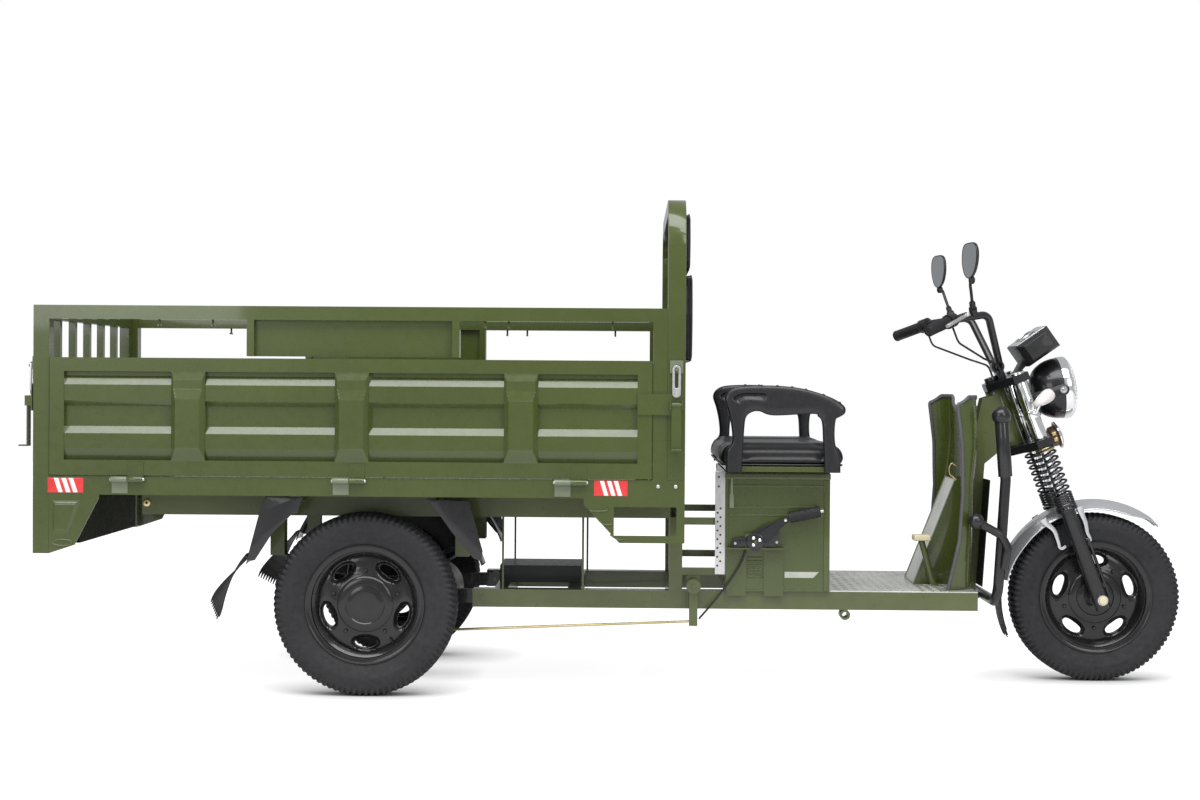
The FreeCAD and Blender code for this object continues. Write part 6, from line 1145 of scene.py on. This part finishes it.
# %% Leg shield
PLAN = ((1.0, -0.2590), (0.50, -0.2470), (0.16, -0.2250), (0.03, -0.1920), (0, -0.1500), (0, -0.0700),
        (0, 0.0700), (0, 0.1500), (0.03, 0.1920), (0.16, 0.2250), (0.50, 0.2470), (1.0, 0.2590))
SHIELD_FOOT, SHIELD_HEAD = 0.2902, 0.8425
SHIELD_LEVELS = (0.29, 0.43, 0.566, 0.70, 0.843)
SHIELD_FRONT = (1.0150, 1.0180, 1.0190, 1.0165, 1.0105)
SHIELD_DEPTH = (0.0770, 0.0480, 0.0400, 0.0440, 0.0560)
WING_FROM, WING_FORWARD, FLARE_FROM, FLARE_DEPTH = (0.10, 0.22), 0.016, (0.56, 0.74), 0.012
DIP_DEEP, DIP_HALF, EDGE_FROM, EDGE_FALL = 0.055, 0.205, (0.243, 0.262), 0.024


def shield_point(plan, top, share):
    """The skin at a place of the plan and at a share of the height under its top edge."""
    z = SHIELD_FOOT + share * (top - SHIELD_FOOT)
    flare = step(z, *FLARE_FROM)
    wing = step(np.abs(plan[..., 1]), *WING_FROM)
    front = np.interp(z, SHIELD_LEVELS, SHIELD_FRONT) + WING_FORWARD * wing * flare
    depth = np.interp(z, SHIELD_LEVELS, SHIELD_DEPTH) + FLARE_DEPTH * flare
    return stacked(front - depth * plan[..., 0], plan[..., 1], z)


plan = smooth_line(PLAN, 121)
away = np.abs(plan[:, 1])
dip = DIP_DEEP * (1 - np.clip(away / DIP_HALF, 0, 1))
shield_top = SHIELD_HEAD - dip - EDGE_FALL * step(away, *EDGE_FROM)
skin = shield_point(plan[None], shield_top[None], np.linspace(0, 1, 70)[:, None])
piece("shield_skin", [skin], olive, "chassis", replaces=("leg_shield",), thick=0.0028, crease=60)
rim = np.concatenate([skin[:, 0], skin[-1, 1:-1], skin[::-1, -1]])
trim = carried(smooth_line(rim[::2], 360), ring(16, 0.0062, 0.0050, 3), (1, 0, 0.02))
piece("shield_trim", [trim], trim_rubber, "chassis", crease=60)

# %% Toe box
TOE = ((0.8655, 0.2905), (1.0120, 0.2905), (1.0120, 0.6000), (0.9865, 0.6000))
TOE_SIDE, RAMP_HALF, FOLD_LINE, FOLD_HIGHLIGHT_RADIUS, HOOK_RADIUS = (0.0875, 0.0900), 0.0885, 0.0890, 0.0022, 0.0026
HOOK = ((0.9870, -0.0895, 0.640), (0.9760, -0.0900, 0.646), (0.9680, -0.0900, 0.634),
        (0.9690, -0.0900, 0.616), (0.9800, -0.0900, 0.606), (0.9880, -0.0895, 0.598))
cheeks = [side_slab(outline(TOE, 20), TOE_SIDE, 0.0008, side) for side in BOTH]
piece("toe_cheeks", [], olive, "chassis", slabs=cheeks)
line = np.linspace(TOE[0], TOE[3], 40)
ramp = stacked(line[:, None, 0], np.linspace(-RAMP_HALF, RAMP_HALF, 21)[None], line[:, None, 1])
piece("toe_ramp", [ramp], plate, "chassis", thick=0.0024)
# Thin pale tubes along the folds of the toe box are painted highlights.
fold_highlights = [tube(upright(line + (-0.0012, 0.0006), side * FOLD_LINE), FOLD_HIGHLIGHT_RADIUS, (0, 1, 0), 10)
         for side in BOTH]
piece("toe_fold_highlights", fold_highlights, pale_paint_and_highlight, "chassis")
piece("bag_hook", [tube(smooth_line(HOOK, 40), HOOK_RADIUS, (0, 1, 0), 12)], brass, "chassis")

# %% [markdown]
# The floor is chequer plate. One lozenge is a small dome, (1 - u^4)(1 - v^2) over a diamond, and the
# whole plate repeats it on a lattice whose neighbours lie crosswise.

# %% Chequer plate and pedal
FLOOR_X, FLOOR_Y, FLOOR_TOP = (0.624, 1.000), (-0.281, 0.285), 0.290
LOZENGE_PITCH, LOZENGE_LONG, LOZENGE_WIDE, LOZENGE_TALL = 0.0255, 0.0135, 0.0036, 0.0016
TOE_CLEAR, WING_CLEAR = (0.850, 0.108), (0.925, 0.225)
PEDAL_X, PEDAL_Y, PEDAL_CLEAR = (0.876, 0.970), -0.12, 0.030
u, v = np.meshgrid(np.linspace(-1, 1, 9), np.linspace(-1, 1, 5))
dome = stacked(LOZENGE_LONG * u, LOZENGE_WIDE * v * (1 - 0.75 * np.abs(u) ** 1.6),
               LOZENGE_TALL * (1 - u ** 4) * (1 - v ** 2) - 0.0001)
x, y = np.meshgrid(np.arange(*FLOOR_X, LOZENGE_PITCH), np.arange(*FLOOR_Y, LOZENGE_PITCH), indexing="ij")
turned = (np.indices(x.shape).sum(0) % 2).ravel()
x, y = x.ravel(), y.ravel()
under_toe = (x > TOE_CLEAR[0]) & (np.abs(y) < TOE_CLEAR[1])
in_slot = (x > PEDAL_X[0]) & (x < PEDAL_X[1]) & (np.abs(y - PEDAL_Y) < PEDAL_CLEAR)
in_wing = (x > WING_CLEAR[0]) & (np.abs(y) > WING_CLEAR[1])
free = ~(under_toe | in_slot | in_wing)
lozenges = []
for spot_x, spot_y, crosswise in zip(x[free], y[free], turned[free]):
    angle = math.radians(45 if crosswise else -45)
    turn_back = np.array(((math.cos(angle), math.sin(angle)), (-math.sin(angle), math.cos(angle))))
    flat = dome[..., :2] @ turn_back
    lozenges.append(np.concatenate([flat, dome[..., 2:]], -1) + (spot_x, spot_y, FLOOR_TOP))
piece("chequer_lozenges", lozenges, plate, "chassis")
pad_low, pad_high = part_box("brake_pedal")
pad = rounded_block((pad_low[0] - 0.001, -0.1450, pad_high[2] - 0.0150),
                    (pad_low[0] + 0.0490, -0.0950, pad_high[2] + 0.0020), 0.004)
piece("pedal_pad_cover", [pad], cream, "brake_pedal")

# %% Rear mudguards
GUARD_RADIUS, GUARD_IN, GUARD_OUT, GUARD_BEND = 0.3495, 0.3465, 0.4535, 0.004
FRONT_PLATE = ((-0.532, 0.551), (-0.420, 0.548), (-0.3800, 0.4080), (-0.3845, 0.3800), (-0.4064, 0.3886),
               (-0.4673, 0.4618))
REAR_PLATE = ((-0.9848, 0.5556), (-0.8824, 0.5563), (-0.8951, 0.5100), (-0.9131, 0.5049), (-0.9668, 0.4509),
              (-1.0130, 0.3789), (-1.0359, 0.3788), (-1.0027, 0.5068))
GUARD_ARCS, GUARD_STATIONS = ((19, 58), (122, 161)), (-0.524, -0.895)
HANGERS = ((0.014, (0.346, 0.480), (0.5570, 0.5598), 0.0010),
           (0.013, (0.350, 0.450), (0.5440, 0.5590), 0.0020))
HANG_TOP, HANG_FALL = (-1.0370, 0.3950), (0.1010, 0.1660)
HANG_HALF, HANG_BELLY, HANG_TWIST = 0.0530, 0.010, 0.021
strips, plates, blocks, flaps = [], [], [], []
for side in BOTH:
    width = side * np.linspace(GUARD_IN, GUARD_OUT, 17)[None]
    radius = GUARD_RADIUS - GUARD_BEND * np.linspace(-1, 1, 17)[None] ** 4
    for arc in GUARD_ARCS:
        strips.append(round_axle(REAR_AXLE, radius, np.radians(np.linspace(*arc, 40))[:, None], width))
    plates += [side_slab(outline(corners, 8), (0.4525, 0.4550), 0.0009, side)
               for corners in (FRONT_PLATE, REAR_PLATE)]
    blocks += [side_block((station - half, station + half), y, z, edge, side)
               for station in GUARD_STATIONS for half, y, z, edge in HANGERS]
    down = np.linspace(0, 1, 50)[:, None]
    over = np.linspace(-1, 1, 41)[None]
    reach = down * (1 - 0.14 * sawtooth(over, 4, 0.3) * step(down, 0.6, 1.0))
    twist = step(down, 0.05, 1.0) * over
    x = HANG_TOP[0] - HANG_FALL[0] * reach - HANG_BELLY * np.sin(reach * math.pi) + HANG_TWIST * twist
    z = HANG_TOP[1] - HANG_FALL[1] * reach - HANG_TWIST * twist
    flaps.append(stacked(x, side * (WHEEL_SIDE + HANG_HALF * over), z))
piece("guard_strips", strips, black, "chassis", replaces=("rear_mudguards",), thick=0.0028)
piece("guard_plates", blocks, black, "chassis", slabs=plates)
piece("guard_flaps", flaps, flap_rubber, "chassis", thick=FLAP_THICK)

# %% [markdown]
# ## Cargo bed
# Three pressed covers stiffen each side board. A cover's height over the board is the lower of two
# ramps, h = min(across(x), down(z)), which mitres its edges without any extra work. The small marks
# on the bed, stripes, beads, bolts and hinge tips, sit on the faces of its solids.

# %% Covers on the side boards
COVERS, BOARD_FACE = (-1.190, -0.739, -0.274), 0.5038
COVER_HALF, COVER_RAMP, COVER_RISE = 0.0465, 0.0135, 0.0150
COVER = np.array(((0.9020, 0.0), (0.8990, 0.0008), (0.8965, 0.0015), (0.8800, 0.0075), (0.8790, 0.0078),
                  (0.8520, 0.0080), (0.8505, 0.0084), (0.8260, 0.0146), (0.8250, 0.0150), (0.6900, 0.0150),
                  (0.6880, 0.0146), (0.6700, 0.0070), (0.6570, 0.0010), (0.6540, 0.0)))
x = np.linspace(-COVER_HALF, COVER_HALF, 41)[None]
share, stops = np.linspace(0, 1, 140), np.linspace(0, 1, len(COVER))
z, down = (np.interp(share, stops, column)[:, None] for column in COVER.T)
rise = np.minimum(down, np.clip((COVER_HALF - np.abs(x)) / COVER_RAMP, 0, 1) * COVER_RISE)
for side, word in SIDE_WORDS:
    covers = [stacked(middle + x, side * (BOARD_FACE + rise), z) for middle in COVERS]
    piece("board_covers_" + word, covers, olive, "side_board_" + word, crease=20)

# %% Reflective stripes and beads
STRIPES = ((-1.578, -1.479, 0.565, 0.606), (-0.072, 0.020, 0.567, 0.609))
STRIPE_Y, BAR_Y, BAR_MARGIN = (0.5001, 0.5009), (0.5009, 0.5013), 0.0006
BAR_SHARES, BAR_LEAN, BAR_WIDE = (0.17, 0.385, 0.585), 0.135, 0.125
GUSSET = np.array((((-1.5634, 0.4500), (-1.5215, 0.4500)), ((-1.5662, 0.5440), (-1.4864, 0.5440))))
BEAD_Y, BEAD_RADIUS, OVAL_AT = 0.5003, 0.0022, (-1.5380, 0.4270)
BEAD_LINES = (((-0.0847, 0.5325), (-0.0795, 0.5253), (-0.0411, 0.5257), (-0.0342, 0.5328)),
              ((-0.0622, 0.5047), (-0.0446, 0.4889), (-0.0219, 0.4891)),
              ((-0.0271, 0.4610), (-0.0060, 0.4475), (0.0080, 0.4473)))


def pressed_quad(corners, face, rise, ramp, side, count=40):
    """A raised field with four straight edges; ramp is the share of its width that each edge slopes over."""
    u, v = np.meshgrid(np.linspace(0, 1, count), np.linspace(0, 1, count))
    foot, head = (start + u[..., None] * (end - start) for start, end in corners)
    flat = foot + v[..., None] * (head - foot)
    up = rise * step(np.minimum(np.minimum(u, 1 - u), np.minimum(v, 1 - v)), 0, ramp)
    return np.stack([flat[..., 0], side * (face + up), flat[..., 1]], -1)


reds, whites, panels, beads = [], [], [], []
for side in BOTH:
    for x0, x1, z0, z1 in STRIPES:
        corners = ((x0, z0), (x1, z0), (x1, z1), (x0, z1))
        reds.append(side_slab(outline(corners, 6), STRIPE_Y, 0.0003, side))
        wide, z0, z1 = x1 - x0, z0 + BAR_MARGIN, z1 - BAR_MARGIN
        for share in BAR_SHARES:
            top, foot = x0 + wide * share, x0 + wide * (share + BAR_LEAN)
            corners = ((foot, z0), (foot + BAR_WIDE * wide, z0), (top + BAR_WIDE * wide, z1), (top, z1))
            whites.append(side_slab(outline(corners, 6), BAR_Y, 0.0001, side))
    panels.append(pressed_quad(GUSSET, 0.4998, 0.0050, 0.13, side))
    oval = upright(ring(60, 0.0270, 0.0085) + OVAL_AT, side * BEAD_Y)
    beads.append(carried(oval, ring(10, BEAD_RADIUS), (0, 1, 0)))
    beads += [tube(upright(smooth_line(line, 24), side * BEAD_Y), BEAD_RADIUS, (0, 1, 0), 10)
              for line in BEAD_LINES]
piece("stripe_plates", [], stripe_red, "chassis", slabs=reds)
piece("stripe_bars", [], stripe_white, "chassis", slabs=whites)
piece("gusset_panels", panels, olive, "chassis", crease=60)
piece("gusset_beads", beads, olive_low, "chassis")

# %% Bolts and hinge tips
BOLT = ((0, 0.0042), (0.0034, 0.0038), (0.0056, 0.0018), (0.0060, -0.0005))
TIP = ((0, 0.0050), (0.0030, 0.0042), (0.0048, 0.0020), (0.0050, -0.0010))
EYE = ((0.0040, 0.0060), (0.0085, 0.0060), (0.0105, 0.0045), (0.0110, 0.0), (0.0040, 0.0))
HINGES, HINGE_LONG, HINGE_Y, HINGE_Z = (-1.4003, -0.7903, -0.1803), 0.0883, 0.510, 0.603
bolts = [lathe(BOLT, 20, (x, side * 0.500, 0.5935), (0, side, 0)) for x in (0.1037, 0.1520) for side in BOTH]
bolts += [lathe(TIP, 20, (x + shift, side * HINGE_Y, HINGE_Z), (way, 0, 0), (0, 0, 1))
          for side in BOTH for x in HINGES for shift, way in ((0, -1), (HINGE_LONG, 1))]
piece("bed_bolts", bolts, zinc, "chassis")
eyes = [lathe(EYE, 32, (-1.345, side * 0.332, 0.528), (0, side, 0)) for side in BOTH]
piece("rail_eyes", eyes, brass, "chassis")

# %% [markdown]
# Each latch has a bright loop with a slot for its peg. The loop is four rows: the outer edge at the
# back and at the front, then the slot's edge at the front and at the back.


# %% Latch loops
def stadium(half, low, high, count=48):
    """An upright slot shape with round ends as (sideways, height) points."""
    turn = np.linspace(0, 2 * math.pi, count + 1)
    middle, reach = (low + high) / 2, (high - low) / 2 - half
    height = middle + half * np.sin(turn) + reach * np.sign(np.sin(turn) + 1e-9)
    return np.stack([half * np.cos(turn), height], -1)


LOOP_BACK, LOOP_FRONT, LOOP_BEVEL = 0.0001, 0.0047, 0.0006
outer, inner = stadium(0.0118, 0.8385, 0.9262), stadium(0.0050, 0.8640, 0.9205)
LOOP_ROWS = ((outer, LOOP_BACK), (outer, LOOP_FRONT), (inner, LOOP_FRONT), (inner, LOOP_BACK),
             (outer, LOOP_BACK))
for side, word in SIDE_WORDS:
    on_board = [stacked(0.1522 + line[:, 0], side * (0.5080 + out), line[:, 1]) for line, out in LOOP_ROWS]
    on_gate = [stacked(-1.6270 - out, side * 0.4780 + line[:, 0], line[:, 1]) for line, out in LOOP_ROWS]
    piece("board_loop_" + word, [np.stack(on_board)], zinc, "side_board_" + word, bevel=LOOP_BEVEL)
    piece("gate_loop_" + word, [np.stack(on_gate)], zinc, "tailgate", bevel=LOOP_BEVEL)

# %% Tail lamps
TAIL_X, TAIL_Y, TAIL_Z, TAIL_EDGE = (-1.5902, -1.5772), (0.2193, 0.3107), (0.4543, 0.5367), 0.0045
RIB_X, RIB_Y, RIB_HALF, RIB_EDGE = (-1.5912, -1.5895), (0.2253, 0.3047), 0.0020, 0.0008
RIB_LEVELS = np.linspace(0.4660, 0.5250, 6)
lamps = []
for side in BOTH:
    lamps.append(side_block(TAIL_X, TAIL_Y, TAIL_Z, TAIL_EDGE, side))
    lamps += [side_block(RIB_X, RIB_Y, (level - RIB_HALF, level + RIB_HALF), RIB_EDGE, side)
              for level in RIB_LEVELS]
piece("tail_lenses", lamps, red_lens, "chassis")

# %% [markdown]
# ## Seat box and hand brake
# The side of the seat box is a pressed panel: a flange under the lid, raised posts at its ends, flat
# ribs across it and louvres between the brackets. Each of them is a block with round edges that stands
# a few millimetres proud of the sheet, given as its ends in x, its ends in z, how far it stands out
# and the radius of its edges.

# %% Seat box pressings
BOX_SIDE, BOX_INSIDE = 0.310, 0.3085
PRESSINGS = ((0.2985, 0.5960, 0.6060, 0.6235, 0.0040, 0.0020),
             (0.5770, 0.5945, 0.2885, 0.6060, 0.0025, 0.0024),
             (0.2990, 0.3065, 0.2885, 0.6060, 0.0018, 0.0012),
             (0.3065, 0.5770, 0.5850, 0.5910, 0.0016, 0.0015),
             (0.3065, 0.5770, 0.5230, 0.5310, 0.0016, 0.0015),
             (0.3065, 0.5770, 0.5010, 0.5070, 0.0016, 0.0015),
             (0.3065, 0.5770, 0.2885, 0.2960, 0.0016, 0.0012))
LOUVRES = [(0.3605, 0.4045, level - 0.0032, level + 0.0032, 0.0026, 0.0024)
           for level in np.linspace(0.3300, 0.3830, 6)]
TOGGLES = ((0.3090, 0.3220, 0.5240, 0.5640, 0.0050, 0.0018),
           (0.3120, 0.3190, 0.5600, 0.6120, 0.0070, 0.0015))
STRIP, STRIP_Y = ((0.4670, 0.3270), (0.5480, 0.3270), (0.5646, 0.3440), (0.4670, 0.3440)), (0.3101, 0.3109)


def proud(x0, x1, z0, z1, rise, edge, side):
    """A round-edged pressing on the side of the seat box."""
    return side_block((x0, x1), (BOX_INSIDE, BOX_SIDE + rise), (z0, z1), min(edge, (z1 - z0) / 2.2), side)


pressings = [proud(*numbers, side) for side in BOTH for numbers in (*PRESSINGS, *LOUVRES)]
piece("seat_box_pressings", pressings, olive, "chassis")
blank_strips = [side_slab(outline(STRIP, 6), STRIP_Y, 0.0003, side) for side in BOTH]
piece("blank_strip", [], foil, "chassis", slabs=blank_strips)
piece("box_toggles", [proud(*numbers, side) for side in BOTH for numbers in TOGGLES], pale_paint_and_highlight, "chassis")

# %% Perforated angle
HOLE = ((0, 0.0004), (0.0030, 0.0003), (0.0032, -0.0006))
HOLES = [(0.2760 + 0.0085 * (index % 2), 0.360 + 0.0125 * index) for index in range(14)]
HOLES += [(0.2790, 0.585), (0.2790, 0.612)]
legs = [rounded_block((0.2690, -0.3080, 0.3350), (0.2995, -0.3050, 0.6280), 0.0010),
        rounded_block((0.2965, -0.3080, 0.3350), (0.2998, -0.2760, 0.6280), 0.0010)]
piece("perforated_angle", legs, zinc, "chassis")
holes = [lathe(HOLE, 14, (x, -0.3081, z), (0, -1, 0)) for x, z in HOLES]
piece("angle_holes", holes, plastic, "chassis")

# %% Hand brake
PIVOT, SLEEVE_LONG = np.array((0.382, 0.0, 0.4315)), 0.088
HUB_SPOTS = ((-0.0060, 0.0105), (0.0115, 0.0050), (-0.0060, -0.0085))
QUADRANT_SPOTS, QUADRANT_Y = ((0.4420, 0.4740), (0.4420, 0.4300), (0.3250, 0.4260)), (-0.3362, -0.3322)
HUB = ((0, 0.0060), (0.0200, 0.0058), (0.0236, 0.0046), (0.0250, 0.0020), (0.0250, 0.0))
HUB_HEAD = ((0, 0.0032), (0.0030, 0.0028), (0.0046, 0.0014), (0.0048, -0.0004))
LEVER_HEAD = ((0, 0.0040), (0.0040, 0.0034), (0.0056, 0.0012), (0.0056, -0.0010))
QUADRANT_NUT = ((0, 0.0046), (0.0036, 0.0042), (0.0052, 0.0020), (0.0052, 0))
QUADRANT = ((0.3120, 0.4150), (0.4400, 0.4150), (0.4500, 0.4500), (0.4480, 0.4800), (0.4300, 0.4860),
            (0.4050, 0.4760), (0.3780, 0.4580), (0.3500, 0.4420), (0.3180, 0.4380))
piece("brake_hub", [lathe(HUB, 64, PIVOT + (0, -0.3436, 0), (0, -1, 0))], black, "hand_brake_lever")
heads = [lathe(HUB_HEAD, 20, PIVOT + (x, -0.3496, z), (0, -1, 0)) for x, z in HUB_SPOTS]
heads.append(lathe(LEVER_HEAD, 20, (0.4660, -0.3432, 0.4935), (0, -1, 0)))
piece("brake_bolts", heads, chrome, "hand_brake_lever")
share = np.linspace(0, 1, 120)
wave = 0.0150 + 0.0014 * np.abs(np.sin(share * math.pi * 6)) ** 0.6 - 0.0030 * (1 - step(share, 0.0, 0.05))
ribs = np.stack([wave, share * SLEEVE_LONG], -1)
sleeve = np.concatenate([[(0, -0.0005)], ribs, [(0.0135, 0.0888), (0.0052, 0.0890)]])
grip = lathe(sleeve, 48, (0.477, -0.340, 0.5005), (0.98, 0, 0.2), (0, 0, 1))
piece("brake_grip_sleeve", [grip], grip_rubber, "hand_brake_lever", crease=50)
quadrant = side_slab(outline(QUADRANT, 8), QUADRANT_Y, 0.0010)
piece("brake_quadrant", [], black, "chassis", slabs=[quadrant])
nuts = [lathe(QUADRANT_NUT, 6, (x, QUADRANT_Y[0], z), (0, -1, 0)) for x, z in QUADRANT_SPOTS]
piece("quadrant_bolts", nuts, zinc, "chassis")

# %% [markdown]
# ## Springs and brake cable
# A spring joins two bodies that move apart.

# %% Fork springs
COIL_LOW, COIL_HIGH, COIL_RADIUS, COIL_WIRE, COIL_GAP = 287.0, 480.0, 27.75, 6.5, 0.3
CLOSE_TURNS, CLOSE_PITCH, COIL_TURNS = 5, 7.6, 13
turn = np.linspace(0, 2 * math.pi * COIL_TURNS, 48 * COIL_TURNS + 1)
foot, head = COIL_LOW + COIL_WIRE / 2 + COIL_GAP, COIL_HIGH - COIL_WIRE / 2 - COIL_GAP
stops = (foot, foot + CLOSE_TURNS * CLOSE_PITCH, head)
climb = np.interp(turn / (2 * math.pi), (0, CLOSE_TURNS, COIL_TURNS), stops)
coils = []
for side in BOTH:
    sideways = side * (FORK_LINE - COIL_RADIUS * np.sin(turn))
    helix = np.stack([COIL_RADIUS * np.cos(turn), sideways, climb], -1)
    coils.append(tube(leaning(helix), COIL_WIRE / 2000, UP_FORK, 14))
fork_ends = ("steering", "fork_lower", leaning((0, 0, COIL_HIGH - 8)), leaning((0, 0, COIL_LOW + 8)))
piece("fork_coils", coils, steel, fork_ends, replaces=("fork_springs",))

# %% Leaf springs
LEAF_ARC, LEAF_THICK, LEAF_HALF, LEAF_LINE = 0.484884, 0.007, 0.0165, 0.313
ARC_CENTRE, EYE_AT, CLAMP_HALF = np.array((REAR_AXLE[0], 0.80268)), np.array((0.2625, 0.395)), 0.045
LEAF_SHARES, EYE_OUTER, EYE_BORE = (0.96, 0.70, 0.42), 0.013, 0.006
LEAF_EYE = ((EYE_BORE, -LEAF_HALF), (EYE_OUTER, -LEAF_HALF), (EYE_OUTER, LEAF_HALF), (EYE_BORE, LEAF_HALF),
            (EYE_BORE, -LEAF_HALF))
section = ring(32, LEAF_THICK / 2, LEAF_HALF, 9)
swing = math.asin(EYE_AT[0] / LEAF_ARC)
for word, way, replaced in (("front", 1, ("leaf_springs",)), ("rear", -1, ())):
    leaves = []
    eye = (ARC_CENTRE[0] + way * EYE_AT[0], 0, EYE_AT[1])
    for side in BOTH:
        for index, share in enumerate(LEAF_SHARES):
            bend = np.linspace(-0.002, swing * share, 40)
            arc = LEAF_ARC + index * LEAF_THICK
            flat = ARC_CENTRE + arc * np.stack([way * np.sin(bend), -np.cos(bend)], -1)
            leaves.append(bar(upright(flat, side * LEAF_LINE), section, (0, 1, 0)))
        leaves.append(lathe(LEAF_EYE, 36, (eye[0], side * LEAF_LINE, eye[2])))
    held = ("chassis", "rear_axle", eye, (ARC_CENTRE[0] + way * CLAMP_HALF, 0, ARC_CENTRE[1] - LEAF_ARC))
    piece("leaf_spring_" + word, leaves, steel, held, replaces=replaced)


# %% Hand brake cable
def route(points, fine=24):
    """Points along the smooth line of a cord with the given control points."""
    line = bpy.data.curves.new("route", "CURVE")
    line.dimensions, line.resolution_u = "3D", fine
    spline = line.splines.new("NURBS")
    spline.points.add(len(points) - 1)
    spline.points.foreach_set("co", np.column_stack([points, np.ones(len(points))]).ravel())
    spline.order_u, spline.use_endpoint_u, spline.resolution_u = 3, True, fine
    holder = bpy.data.objects.new("route", line)
    found = points_of(bpy.data.meshes.new_from_object(holder))
    bpy.data.objects.remove(holder)
    return found


CABLE_ROUTE, CABLE_WIDE = ((0.355, -0.330, 0.410), (0.350, -0.330, 0.354), (0.224, -0.333, 0.211)), 0.006
cable_line = route(CABLE_ROUTE)
pulled = ("chassis", "brake_crank", CABLE_ROUTE[1], CABLE_ROUTE[2])
cable = piece("brake_cable", [tube(cable_line, CABLE_WIDE / 2, (0, 1, 0), 16)], plastic, pulled,
              replaces=("hand_brake_cable",))
